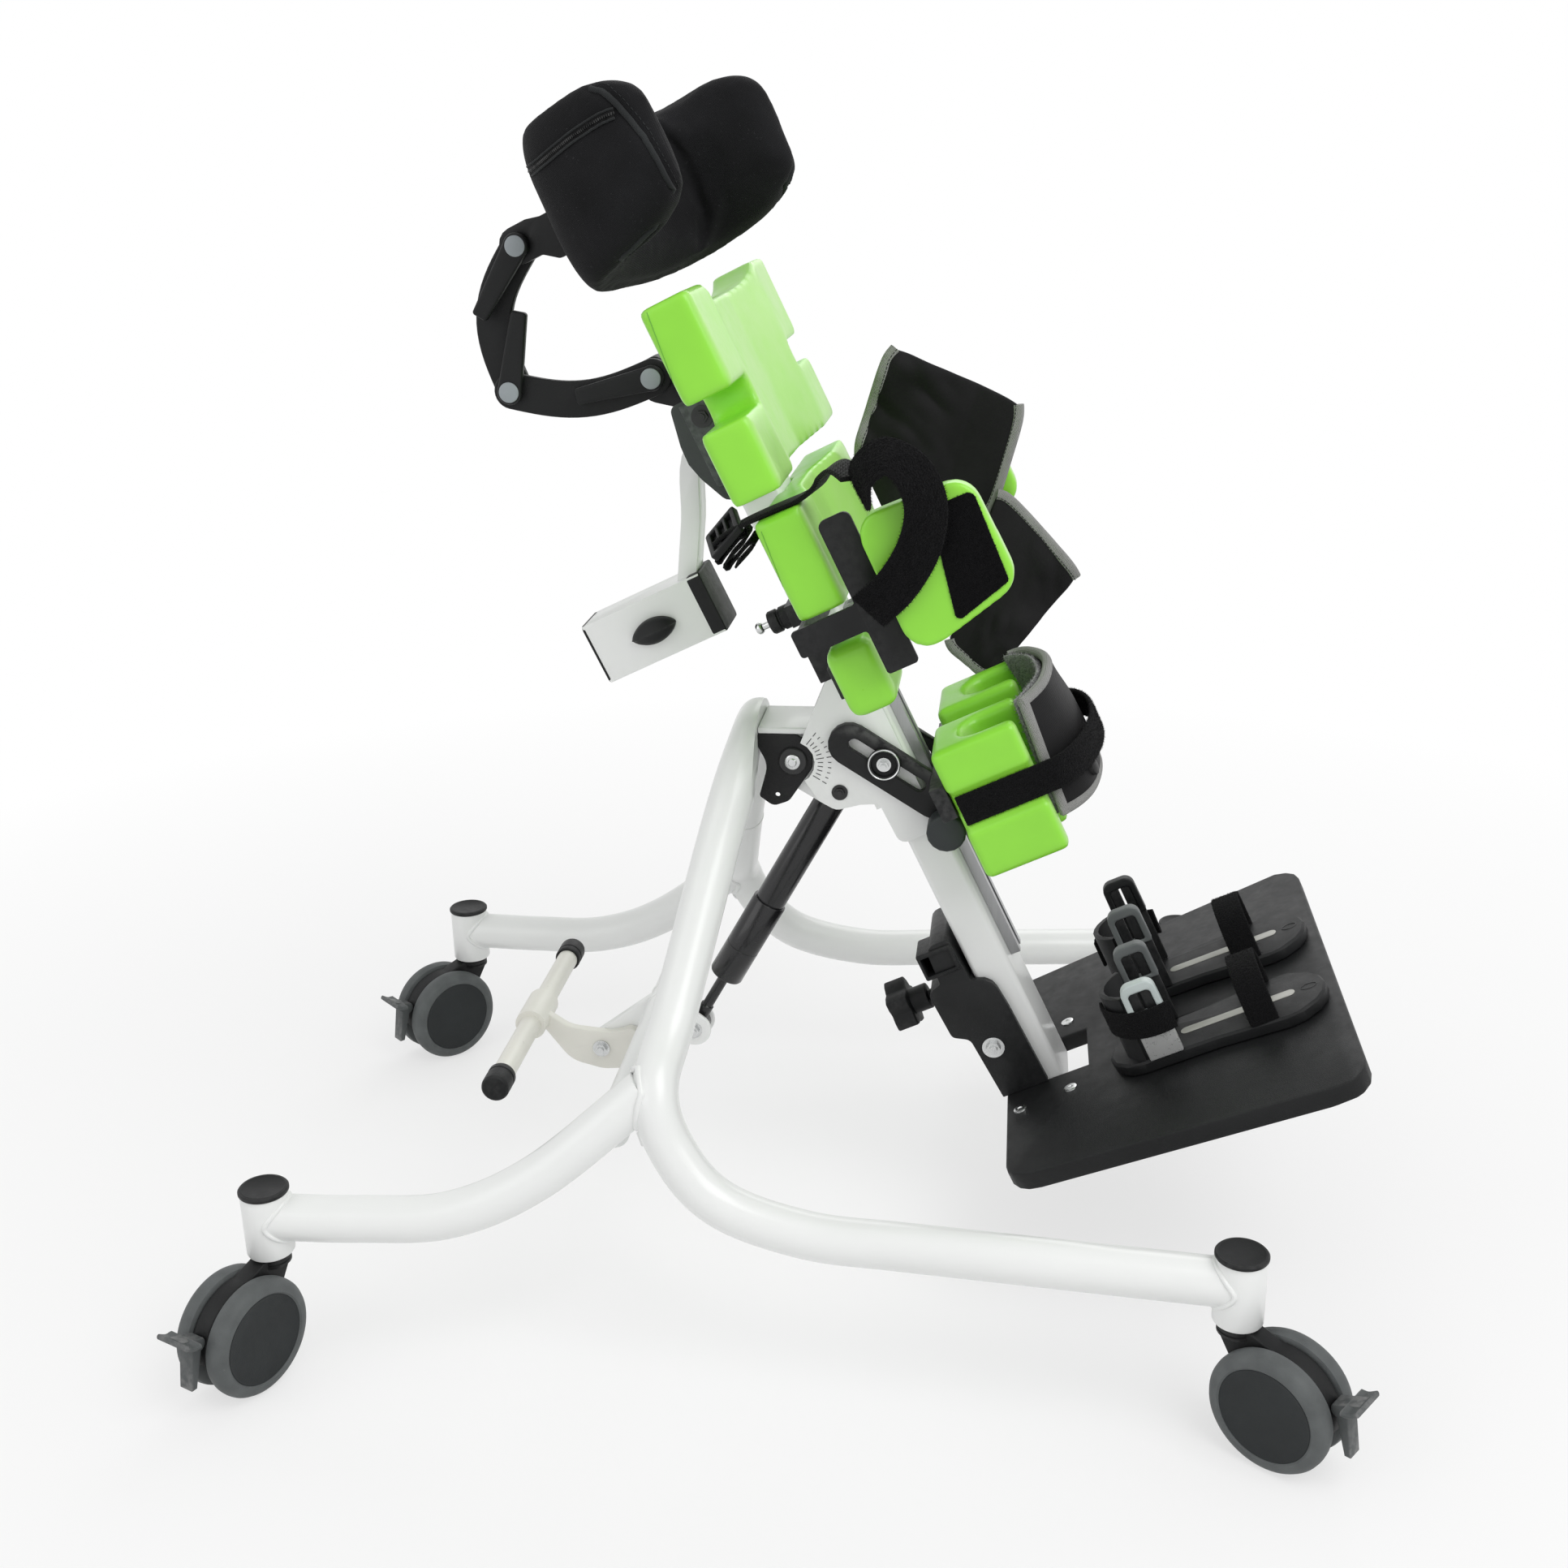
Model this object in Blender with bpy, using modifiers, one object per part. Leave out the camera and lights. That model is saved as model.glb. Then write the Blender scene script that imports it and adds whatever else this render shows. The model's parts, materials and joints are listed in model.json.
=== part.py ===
"""Pediatric standing frame: a tilting mast with pads on a four-caster tube base.

Metres, +Z up, +X towards the toes, the child's left and right along Y. The side at -Y is called near,
the side at +Y far. Pieces on the mast are drawn in the mast's own frame, whose datum lies close to the
tilt axis: X runs forward, square to the mast, and Z runs up along it.
"""
import math

import bmesh
import bpy
from mathutils import Matrix, Vector

for old in list(bpy.data.objects):
    bpy.data.objects.remove(old)

# Fits
GAP = 0.0003            # between faces that touch
PLAY = 0.0005           # between a pin and its hole
RUNNING = 0.001         # between pieces that pass each other
LAP = 0.004             # how far a tool reaches past the face it cuts or joins
EDGE = 0.001            # radius of a sheet's corner that is left nearly sharp
CORNER = 0.003          # radius of a sheet's small corner
SUNK = 0.0005           # how far a joined sheet stays inside the piece it joins

# Base tubes
TUBE_R = 0.019
WHEELBASE = 0.776
REAR_TRACK = 0.574
FRONT_TRACK = 0.610
LEG_Z = 0.134
STEM_BOTTOM = 0.102
STEM_TOP = 0.158
STEM_R = 0.0195
CAP_R = 0.0205
CAP_H = 0.004
ARCH_TOP = (-0.014, 0, 0.474)
ARCH_SHOULDER = (-0.016, 0.030, 0.467)
ARCH_UPPER = (-0.026, 0.062, 0.436)
ARCH_MIDDLE = (-0.040, 0.098, 0.382)
ARCH_LOWER = (-0.063, 0.182, 0.277)
ARCH_KNEE = (-0.070, 0.236, 0.238)
ARCH_BEND = (-0.054, 0.254, 0.194)
ARCH_FOOT = (-0.015, 0.266, 0.155)
FRONT_LEG_START = (0.055, 0.274)
REAR_LEG_BEND = (-0.255, 0.280)
REAR_LEG_RISE = (-0.163, 0.262, 0.170)
REAR_LEG_END = (-0.078, 0.236, 0.237)
ARCH_FLAT = -0.0095     # front face milled on the top of the arch, where the pivot plates sit

# Tilt pivot
PIVOT_X = 0.021
PIVOT_Z = 0.4505
TILT = math.radians(25)
PIN_R = 0.006
PIN_NUT_R = 0.010
PIN_NUT_H = 0.006
PIVOT_PLATE_IN = 0.0293
PIVOT_PLATE_T = 0.0037
PIVOT_PLATE_TOP = 0.0237
PIVOT_PLATE_NOSE = [(0.004, 0.0237, 0.008), (0.017, 0.012, 0.012), (0.017, -0.006, 0.012),
                    (-0.004, -0.037, 0.010), (-0.018, -0.042, 0.008)]
PIVOT_PLATE_FOOT = -0.033
PIVOT_PLATE_WAIST = (-0.022, -0.004, 0.020)
PIVOT_PLATE_LIP = 0.012
YOKE_T = 0.0057
YOKE_FRONT = 0.038
YOKE_EDGE = 0.0015

# Mast and its head
MAST_REAR = 0.053
MAST_DEPTH = 0.035
MAST_WIDTH = 0.066
MAST_WALL = 0.003
MAST_BOTTOM = -0.384
MAST_TOP = 0.338
MAST_EDGE = 0.005
RAIL_WIDTH = 0.024
RAIL_DEPTH = 0.009
RAIL_BOTTOM = -0.255
RAIL_TOP = 0.095
RAIL_SLOT = 0.008
MAST_DATUM = (0.0058, 0.0056)
CHEEK_T = 0.005
CHEEK_REST_R = 0.0195
FORK_IN = 0.0155
STRUT_PIN = (0.0202, -0.0464)
STRUT_PIN_R = 0.005
KNEE_BOLT = (0.068, -0.036)
KNEE_BOLT_R = 0.005
FORK_TOP = [(-0.0218, 0.0104, 0.0155), (0.0062, 0.0104, 0.014), (0.0082, -0.0156, 0.006),
            (0.022, -0.026, 0.008)]
FORK_FRONT = (-0.026, -0.078)
FORK_UNDER = [(0.0342, -0.0644, 0.014), (0.0042, -0.0584, 0.012), (-0.0218, -0.0196, 0.012)]
CHEEK_UNDER = [(0.000, -0.046, 0.006), (0.010, -0.060, 0.010), (0.032, -0.064, 0.010), (0.047, -0.070, 0.006),
               (0.048, -0.111, 0.008), (0.086, -0.111, 0.008)]
CHEEK_OVER = [(0.086, 0.048, 0.006), (0.052, 0.048, 0.004), (0.027, 0.025, 0.008)]
BRIDGE_DEPTH = 0.010
BRIDGE_Z = (-0.074, -0.030)

# Gas spring
STRUT_EYE = (-0.080, 0.177)
CYLINDER_R = 0.014
SLEEVE_R = 0.0158
SLEEVE_START = 0.137
SLEEVE_END = 0.225
ROD_R = 0.005
TOP_EYE_R = 0.012
BASE_EYE_R = 0.0130
BASE_PIN_R = 0.004
STRUT_EYE_PLAY = 0.0044
EYE_RIM = 0.002         # where a neck or rod starts outside the hole of its eye
NECK_LENGTH = 0.004
SPRING_NECK_R = 0.0055
ROD_INSIDE = 0.052      # how far the rod reaches into the cylinder
EYE_T = 0.016
EAR_T = 0.004
EAR_R = 0.016

# Cross member and pedal
CROSS_TUBE = (-0.108, 0.198)
CROSS_TUBE_R = 0.015
PEDAL_PIVOT = (-0.170, 0.152)
PEDAL_BAR = (-0.233, 0.181)
PEDAL_BAR_R = 0.010
PEDAL_BAR_HALF = 0.142
PEDAL_CAP_R = 0.0125
PEDAL_CAP_L = 0.026
PEDAL_HUB_R = 0.0145
PEDAL_HUB_HALF = 0.024
PEDAL_ARM_T = 0.009
PEDAL_LUG_T = 0.010
PEDAL_LUG_R = 0.013
PEDAL_BOLT_R = 0.005
PEDAL_ARM_END = [(0.006, 0.010, 0.004), (0.010, -0.012, 0.004)]
PEDAL_ARM_TOP = [(-0.030, 0.020, 0.030), (0.010, 0.016, 0.020), (0.036, 0.024, 0.006)]
PEDAL_ARM_UNDER = [(0.030, -0.020, 0.008), (0.000, -0.022, 0.030), (-0.030, -0.014, 0.030)]

# Casters
WHEEL_R = 0.050
WHEEL_SIDES = 20
WHEEL_HALF = 0.027
WHEEL_INNER = 0.0095
TRAIL = 0.040
AXLE_R = 0.006
HOUSING_HALF = 0.0085
HOUSING_R = 0.046
NECK_R = 0.0155
NECK_BOTTOM = 0.094
BRAKE_BOSS_R = 0.006
BRAKE_ANGLE = math.radians(22)
BRAKE_HALF = 0.0075
PADDLE_HALF = 0.018
WHEEL_DISH = 0.0020
WHEEL_DISC = 0.68       # the dish and its rim as shares of the wheel's radius
WHEEL_DISC_RIM = 0.71
TYRE_SHOULDER = 0.005
TYRE_CROWN = 0.006
HOUSING_TOP = 97        # degrees round the axle
HOUSING_END = -26       # degrees past the brake
HOUSING_FOOT_R = 0.016
HOUSING_FOOT = (-40, -140)
HOUSING_THROAT = (0.006, 0.062)
NECK_EDGE = 0.002
BRAKE_BOSS = (140, 262)
BRAKE_ARM = [(0.008, -0.036), (0.013, -0.036), (0.008, -0.002), (0.020, 0.008), (0.017, 0.014)]
BRAKE_PADDLE = [(0.007, 0.003), (0.018, 0.008), (0.0195, 0.0125), (0.017, 0.0138), (0.007, 0.009)]
CASTER_TURN = {"near_rear": 246.2, "near_front": -35.5, "far_rear": 227.7, "far_front": 35.0}

# Pads on the mast
PAD_REAR = 0.082
PAD_FRONT = 0.122
PAD_EDGE = 0.006
TRUNK_HALF = 0.193
TRUNK_BOTTOM = 0.228
TRUNK_TOP = 0.389
TRUNK_NOTCH = (0.285, 0.309)
TRUNK_NOTCH_DEPTH = 0.070
TRUNK_DISH = 0.016
HIP_HALF = 0.165
HIP_BOTTOM = 0.125
HIP_TOP = 0.207
THIGH_INNER = 0.060
THIGH_OUTER = 0.145
THIGH_BOTTOM = 0.032
THIGH_TOP = 0.091
CLAMP_T = 0.005
TRUNK_PLATE_Y = 0.062
DISH_WING = 0.62        # where the dish starts and where its floor starts, as shares of a pad's reach
DISH_FLOOR = 0.18
DISH_R = 0.05
NOTCH_R = 0.006
PAD_BEVEL = 0.0048
THIGH_BEVEL = 0.009
TRUNK_GRIP_REAR = 0.062
TRUNK_WING_REAR = 0.050
TRUNK_PLATE_Z = (0.236, 0.306)
TRUNK_WING = [(0.043, 0.309, 0.006), (0.070, 0.309, 0.003), (0.070, 0.224, 0.003), (0.052, 0.222, 0.008),
              (0.034, 0.262, 0.050)]
THIGH_BAR_Z = (0.048, 0.076)
THIGH_BAR_INSET = 0.020

# Side panels and belt
PANEL_T = 0.018
PANEL_EDGE = 0.005
ARM_T = 0.004
ARM_BAR_W = 0.026
ARM_BAR_LOW = 0.062
ARM_BAR_HIGH = 0.190
ARM_LOW = 0.100
ARM_HIGH_BELOW = 0.003  # how far the arm stays below the hip pad
BAR_AHEAD = 0.006       # how far the arm's bar stands ahead of the pad
TAB_FRONT = 0.205
TAB_Z = (0.098, 0.104, 0.142, 0.150)
PANEL_CORNERS = [(0.156, 0.183, 0.018), (0.247, 0.178, 0.020), (0.250, 0.090, 0.020), (0.155, 0.067, 0.020)]
BELT_T = 0.006
BELT_FLAT = 0.35        # share of a flap that lies flat before it bows
BELT_FOLD = 0.004
BELT_UPPER = [(0.216, 0.081), (0.125, 0.190), (0.198, 0.267), (0.286, 0.162)]
BELT_LOWER = [(0.236, 0.110), (0.272, 0.004), (0.156, -0.047), (0.133, -0.003)]
BELT_UPPER_BOW = 0.014
BELT_LOWER_BOW = 0.004
BELT_LOWER_SWING = 0.036
BELT_STEPS = 8
LOOP_WIDTH = 0.030
LOOP_T = 0.003
LOOP_CENTRE = (0.178, 0.176)
LOOP_R = 0.034
LOOP_TURN = (200, -10)
LOOP_TAIL = [(0.208, 0.140), (0.192, 0.118), (0.160, 0.104)]

# Head support
HEAD_C = (0.031, 0.335)
HEAD_B = (-0.0815, 0.376)
HEAD_A = (-0.0205, 0.475)
LINK_T = 0.008
LINK_W = 0.030
LINK_END_R = 0.015
JOINT_PIN_R = 0.005
LEVER_T = 0.008
LEVER_W = 0.014
CUSHION_YAW = math.radians(-16)
CUSHION_ROLL = math.radians(-4)
CUSHION_HALF = 0.122
CUSHION_DEPTH = 0.137
CUSHION_T = 0.040
CUSHION_HEIGHT = 0.136
CUSHION_BACK = 0.034
CUSHION_BULGE = 0.030
CUSHION_Z = 0.469
CUSHION_LEVELS = [(-0.5, 0.70, 0.78), (-0.40, 0.95, 0.90), (-0.12, 1.08, 1.0), (0.20, 1.06, 0.99),
                  (0.42, 0.94, 0.88), (0.5, 0.68, 0.76)]
HEAD_CLAMP_HALF = 0.012
HEAD_CLAMP_TOP = [(0.016, 0.350, 0.014), (0.039, 0.350, 0.008)]
HEAD_CLAMP_FACE = (0.330, 0.300)
HEAD_CLAMP_UNDER = [(0.037, 0.304, 0.006), (0.016, 0.320, 0.014)]
MOUNT_Z = (-0.024, 0.012)
MOUNT_NECK = 0.012
LEVER_LENGTH = 0.060
LEVER_HEADING = {"c": 168, "b": 54, "a": -147}
LOWER_LINK_BOW = -0.012
UPPER_LINK_BOW = -0.020

# Socket behind the back
SOCKET_REAR = -0.121
SOCKET_FRONT = -0.008
SOCKET_BOTTOM = 0.121
SOCKET_TOP = 0.175
SOCKET_HALF = 0.028
SOCKET_WALL = 0.004
SOCKET_KNOB = (-0.064, 0.147)
SOCKET_FLOOR = 0.006
SOCKET_ARM = [(-0.024, 0.169), (0.004, 0.216), (0.028, 0.262), (0.062, 0.280)]
SOCKET_ARM_T = 0.016
SOCKET_ARM_HALF = 0.016
SOCKET_ARM_END = (0.240, 0.300)
OVAL_KNOB_REACH = 0.011
OVAL_KNOB_R = 0.010
OVAL_KNOB_H = 0.016
KNOB_BEVEL = 0.004

# Knee support
KNEE_BAR_T = 0.0075
KNEE_BAR_R = 0.0185
KNEE_BAR_TOP = (0.048, -0.009)
KNEE_BAR_LOW = (0.095, -0.083)
KNEE_SLOT_W = 0.011
KNEE_CROSS_DEPTH = 0.013
KNEE_CROSS = (0.1013, -0.090, -0.060)
KNEE_PAD_REAR = 0.115
KNEE_PAD_FRONT = 0.189
KNEE_PAD_Y = (0.020, 0.100)
KNEE_PAD_Z = (-0.149, -0.031)
KNEE_GROOVE = (-0.103, -0.069)
KNEE_GROOVE_DEPTH = 0.007
KNEE_TROUGH = 0.141
KNEE_TROUGH_HALF = 0.023
KNEE_STRAP_T = 0.004
KNEE_STRAP_BOW = 0.45
KNEE_SLOT_ABOVE = 0.030
KNEE_SLOT_BELOW = 0.036
KNEE_KNOB = (0.094, -0.108)
KNEE_KNOB_R = 0.017
KNEE_KNOB_H = 0.022
KNEE_KNOB_BEVEL = 0.003
KNEE_KNOB_BOSS_R = 0.015
KNEE_CROSS_INSET = 0.006
KNEE_PAD_BEVEL = 0.004
KNEE_TROUGH_R = 0.020
KNEE_STRAP_AHEAD = 0.010
KNEE_STRAP_INSET = 0.004

# Footplate
PLATE_TOP = -0.3704
PLATE_T = 0.016
PLATE_REAR = 0.033
PLATE_FRONT = 0.340
PLATE_REAR_HALF = 0.180
PLATE_FRONT_HALF = 0.217
PLATE_CORNER = 0.026
PLATE_EDGE = 0.004
PLATE_SLOT_FRONT = 0.112
FOOT_CHEEK_T = 0.0065
FOOT_KNOB_Z = -0.268
FOOT_KNOB_R = 0.025
FOOT_KNOB_T = 0.020
FOOT_KNOB_REAR = -0.088
FOOT_KNOB_BOSS_R = 0.012
FOOT_KNOB_BOSS_L = 0.016
KNOB_LOBES = 5
FOOT_SCREW_R = 0.005
FOOT_KNOB_WAVE = 0.14   # depth of the lobes as a share of the knob's radius
FOOT_BRACKET_BASE = (0.030, 0.074)
FOOT_BRACKET_SIDE = [(0.071, -0.288, 0.010), (0.068, -0.256, 0.016), (0.050, -0.253, 0.004),
                     (0.048, -0.208, 0.006), (0.026, -0.208, 0.010), (0.024, -0.246, 0.003),
                     (0.010, -0.250, 0.008), (0.012, -0.298, 0.006), (0.026, -0.306, 0.008)]
FOOT_BRACKET_CUT = ((-0.400, -0.200), 0.090)
FOOT_SCREW_HOLE = (0.030, 0.060)
SANDAL_WAIST = (0.232, 0.80)
SANDAL_BEVEL = 0.002
HEEL_R = 0.030
HEEL_CUP_X = 0.046
HEEL_CUP_TURN = (115, 245)
SANDAL_Y = 0.062
SANDAL_HALF = 0.039
SANDAL_REAR = 0.137
SANDAL_FRONT = 0.332
SANDAL_T = 0.012
HEEL_CUP_H = 0.062
HEEL_CUP_R = 0.031
HEEL_CUP_T = 0.005
STRAP_W = 0.025
STRAP_T = 0.003
STRAP_X = 0.262
STRAP_RISE = 0.046

SIDES = {"near": -1, "far": 1}
ARC_STEP = math.radians(26)

parts = bpy.data.collections.new("pediatric_standing_frame")
tools = bpy.data.collections.new("cutters")
for collection in (parts, tools):
    bpy.context.scene.collection.children.link(collection)

# Colours as linear RGB, roughness, metallic
FINISHES = {
    "white_paint": ((0.82, 0.83, 0.82), 0.32, 0.0),
    "black_metal": ((0.020, 0.021, 0.022), 0.50, 0.0),
    "dark_grey": ((0.075, 0.080, 0.080), 0.50, 0.0),
    "grey_plastic": ((0.120, 0.125, 0.125), 0.55, 0.0),
    "black_plastic": ((0.014, 0.015, 0.016), 0.45, 0.0),
    "aluminium": ((0.45, 0.45, 0.43), 0.38, 1.0),
    "steel": ((0.55, 0.55, 0.54), 0.30, 1.0),
    "green_foam": ((0.27, 0.75, 0.055), 0.42, 0.0),
    "black_fabric": ((0.010, 0.010, 0.011), 0.90, 0.0),
}


def rounded(points):
    """Outline through (u, v, radius) corners, each corner turned into an arc of that radius."""
    outline = []
    count = len(points)
    for index, (u, v, radius) in enumerate(points):
        here = Vector((u, v))
        back = (Vector(points[index - 1][:2]) - here).normalized()
        ahead = (Vector(points[(index + 1) % count][:2]) - here).normalized()
        corner = back.angle(ahead)
        if radius == 0 or corner > math.pi - 0.01:
            outline.append((u, v))
            continue
        reach = radius / math.tan(corner / 2)
        centre = here + (back + ahead).normalized() * radius / math.sin(corner / 2)
        start = here + back * reach - centre
        sweep = math.pi - corner
        turn = math.copysign(1, back.y * ahead.x - back.x * ahead.y)
        steps = max(2, math.ceil(sweep / ARC_STEP))
        for step in range(steps + 1):
            spoke = Matrix.Rotation(turn * sweep * step / steps, 2) @ start
            outline.append(tuple(centre + spoke))
    return outline


def circle(centre, radius, sides=16):
    """Outline of a circle."""
    turns = [2 * math.pi * (step + 0.5) / sides for step in range(sides)]
    return [(centre[0] + radius * math.cos(t), centre[1] + radius * math.sin(t)) for t in turns]


def arc(centre, radius, start, end, steps):
    """Points on an arc between two angles in degrees."""
    turns = [math.radians(start + (end - start) * step / steps) for step in range(steps + 1)]
    return [(centre[0] + radius * math.cos(t), centre[1] + radius * math.sin(t)) for t in turns]


def capsule(first, second, radius, steps=8):
    """Outline of a bar with round ends between two centres."""
    heading = math.degrees(math.atan2(second[1] - first[1], second[0] - first[0]))
    front = arc(second, radius, heading - 90, heading + 90, steps)
    back = arc(first, radius, heading + 90, heading + 270, steps)
    return front + back


def band(path, thickness):
    """Closed outline of a strip that follows an open path of (u, v) points."""
    left, right = [], []
    for index, point in enumerate(path):
        before = Vector(path[max(index - 1, 0)])
        after = Vector(path[min(index + 1, len(path) - 1)])
        along = (after - before).normalized()
        side = Vector((-along.y, along.x)) * thickness / 2
        left.append(tuple(Vector(point) + side))
        right.append(tuple(Vector(point) - side))
    return left + right[::-1]


def limb(path, width, steps=8):
    """Closed outline of a strip with round ends."""
    sides = band(path, width)
    count = len(path)
    first, last = Vector(path[0]), Vector(path[-1])
    start = math.degrees(math.atan2(*(Vector(sides[0]) - first).yx))
    end = math.degrees(math.atan2(*(Vector(sides[count - 1]) - last).yx))
    tip = arc(path[-1], width / 2, end, end - 180, steps)
    tail = arc(path[0], width / 2, start + 180, start, steps)
    return sides[1:count - 1] + tip + sides[count + 1:-1] + tail


def smooth_path(points, steps):
    """Catmull-Rom curve through points of any dimension."""
    knots = [Vector(p) for p in points]
    knots = [2 * knots[0] - knots[1]] + knots + [2 * knots[-1] - knots[-2]]
    path = []
    for k in range(1, len(knots) - 2):
        a, b, c, d = knots[k - 1:k + 3]
        for step in range(steps):
            t = step / steps
            path.append(0.5 * (2 * b + (c - a) * t + (2 * a - 5 * b + 4 * c - d) * t * t
                               + (3 * b - a - 3 * c + d) * t ** 3))
    path.append(knots[-2])
    return [tuple(p) for p in path]


def weld(mesh):
    """Joins the loose caps of a mesh that came from a curve and turns its faces outwards."""
    work = bmesh.new()
    work.from_mesh(mesh)
    bmesh.ops.remove_doubles(work, verts=work.verts, dist=0.00001)
    bmesh.ops.recalc_face_normals(work, faces=work.faces)
    work.to_mesh(mesh)
    work.free()
    return mesh


def mesh_of(curve):
    """Closed mesh of a curve, which is then removed."""
    holder = bpy.data.objects.new("curve", curve)
    bpy.context.scene.collection.objects.link(holder)
    evaluated = holder.evaluated_get(bpy.context.evaluated_depsgraph_get())
    mesh = bpy.data.meshes.new_from_object(evaluated)
    bpy.data.objects.remove(holder)
    bpy.data.curves.remove(curve)
    return weld(mesh)


# Turns an outline drawn in (u, v) and extruded along w into the part's axes
PLANES = {
    "XY": Matrix.Identity(4),
    "XZ": Matrix.Rotation(math.pi / 2, 4, "X"),
    "YZ": Matrix(((0, 0, 1, 0), (1, 0, 0, 0), (0, 1, 0, 0), (0, 0, 0, 1))),
}


def flat(outline, low, high, plane="XZ", holes=()):
    """Flat piece: an outline filled between two heights along the plane's normal axis."""
    curve = bpy.data.curves.new("outline", "CURVE")
    curve.dimensions = "2D"
    curve.fill_mode = "BOTH"
    curve.extrude = (high - low) / 2
    for loop in (outline, *holes):
        spline = curve.splines.new("POLY")
        spline.points.add(len(loop) - 1)
        spline.use_cyclic_u = True
        for point, (u, v) in zip(spline.points, loop):
            point.co = (u, v, 0, 1)
    mesh = mesh_of(curve)
    middle = (low + high) / 2
    shift = {"XY": (0, 0, middle), "XZ": (0, middle, 0), "YZ": (middle, 0, 0)}[plane]
    mesh.transform(Matrix.Translation(shift) @ PLANES[plane])
    return mesh


def tube(path, radius, resolution=4):
    """Round tube along a list of points, with filled ends."""
    curve = bpy.data.curves.new("path", "CURVE")
    curve.dimensions = "3D"
    curve.bevel_depth = radius
    curve.bevel_resolution = resolution
    curve.use_fill_caps = True
    spline = curve.splines.new("POLY")
    spline.points.add(len(path) - 1)
    for point, place in zip(spline.points, path):
        point.co = (*place, 1)
    return mesh_of(curve)


def block(low, high):
    """Box between two corners."""
    work = bmesh.new()
    bmesh.ops.create_cube(work, size=1)
    size = [b - a for a, b in zip(low, high)]
    middle = [(a + b) / 2 for a, b in zip(low, high)]
    bmesh.ops.scale(work, vec=size, verts=work.verts)
    bmesh.ops.translate(work, vec=middle, verts=work.verts)
    mesh = bpy.data.meshes.new("block")
    work.to_mesh(mesh)
    work.free()
    return mesh


AXES = {"X": Matrix.Rotation(math.pi / 2, 4, "Y"), "Y": Matrix.Rotation(math.pi / 2, 4, "X"),
        "Z": Matrix.Identity(4)}


def rod(centre, radius, length, axis="Y", sides=16):
    """Cylinder about its centre."""
    work = bmesh.new()
    bmesh.ops.create_cone(work, cap_ends=True, segments=sides, radius1=radius, radius2=radius, depth=length)
    mesh = bpy.data.meshes.new("rod")
    work.to_mesh(mesh)
    work.free()
    mesh.transform(Matrix.Translation(centre) @ AXES[axis])
    return mesh


def loft(rings):
    """Closed skin over rings that have the same number of points."""
    work = bmesh.new()
    rows = [[work.verts.new(point) for point in ring] for ring in rings]
    count = len(rows[0])
    for lower, upper in zip(rows, rows[1:]):
        for k in range(count):
            work.faces.new((lower[k], lower[(k + 1) % count], upper[(k + 1) % count], upper[k]))
    work.faces.new(rows[0][::-1])
    work.faces.new(rows[-1])
    bmesh.ops.recalc_face_normals(work, faces=work.faces)
    mesh = bpy.data.meshes.new("loft")
    work.to_mesh(mesh)
    work.free()
    return mesh


def profile(points):
    """Open line of (radius, height) points for a turned piece."""
    mesh = bpy.data.meshes.new("profile")
    edges = [(k, k + 1) for k in range(len(points) - 1)]
    mesh.from_pydata([(r, 0, h) for r, h in points], edges, [])
    return mesh


def empty(name, parent, place=(0, 0, 0), turn=(0, 0, 0)):
    """Axis that carries the pieces of one body."""
    axis = bpy.data.objects.new(name, None)
    parts.objects.link(axis)
    axis.parent = parent
    axis.location = place
    axis.rotation_euler = turn
    return axis


def finish_of(name, finish):
    """Material of one sub-part."""
    colour, roughness, metallic = FINISHES[finish]
    material = bpy.data.materials.new(name + "_" + finish)
    material.use_nodes = True
    surface = material.node_tree.nodes["Principled BSDF"]
    surface.inputs["Base Color"].default_value = (*colour, 1)
    surface.inputs["Roughness"].default_value = roughness
    surface.inputs["Metallic"].default_value = metallic
    material.diffuse_color = (*colour, 1)
    return material


def piece(name, mesh, parent, finish, smooth=True):
    """Named sub-part on its body's axis."""
    mesh.name = name
    body = bpy.data.objects.new(name, mesh)
    parts.objects.link(body)
    body.parent = parent
    mesh.materials.append(finish_of(name, finish))
    if smooth:
        mesh.shade_smooth()
        mesh.set_sharp_from_angle(angle=math.radians(35))
    return body


def boolean(body, operation, mesh, parent=None):
    """Cuts a shape out of a piece, or joins it on, with a hidden tool object."""
    tool = bpy.data.objects.new(body.name + "_tool", mesh)
    tools.objects.link(tool)
    tool.parent = parent or body.parent
    tool.hide_render = True
    tool.display_type = "WIRE"
    step = body.modifiers.new(operation.lower(), "BOOLEAN")
    step.operation = operation
    step.object = tool
    return tool


def cut(body, mesh, parent=None):
    boolean(body, "DIFFERENCE", mesh, parent)


def join(body, mesh, parent=None):
    boolean(body, "UNION", mesh, parent)


def bevel(body, width, segments=2, angle=40):
    """Rounds the edges sharper than an angle in degrees."""
    step = body.modifiers.new("edges", "BEVEL")
    step.width = width
    step.segments = segments
    step.limit_method = "ANGLE"
    step.angle_limit = math.radians(angle)
    step.harden_normals = False


def subdivide(body, levels):
    step = body.modifiers.new("soft", "SUBSURF")
    step.levels = levels
    step.render_levels = levels


def turned(name, points, parent, finish, steps, phase=0.0):
    """Piece turned about the Y axis of its parent from a (radius, height) profile."""
    body = piece(name, profile(points), parent, finish, smooth=False)
    body.matrix_basis = Matrix.Rotation(-math.pi / 2, 4, "X") @ Matrix.Rotation(phase, 4, "Z")
    step = body.modifiers.new("turn", "SCREW")
    step.steps = steps
    step.render_steps = steps
    step.use_merge_vertices = True
    step.merge_threshold = 0.00001
    return body


root = empty("standing_frame", None)


# Base: side frames, rear legs and cross member

def at_side(point, side):
    """Mirrors a point given for the far side onto a side."""
    return (point[0], side * point[1], point[2])


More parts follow.
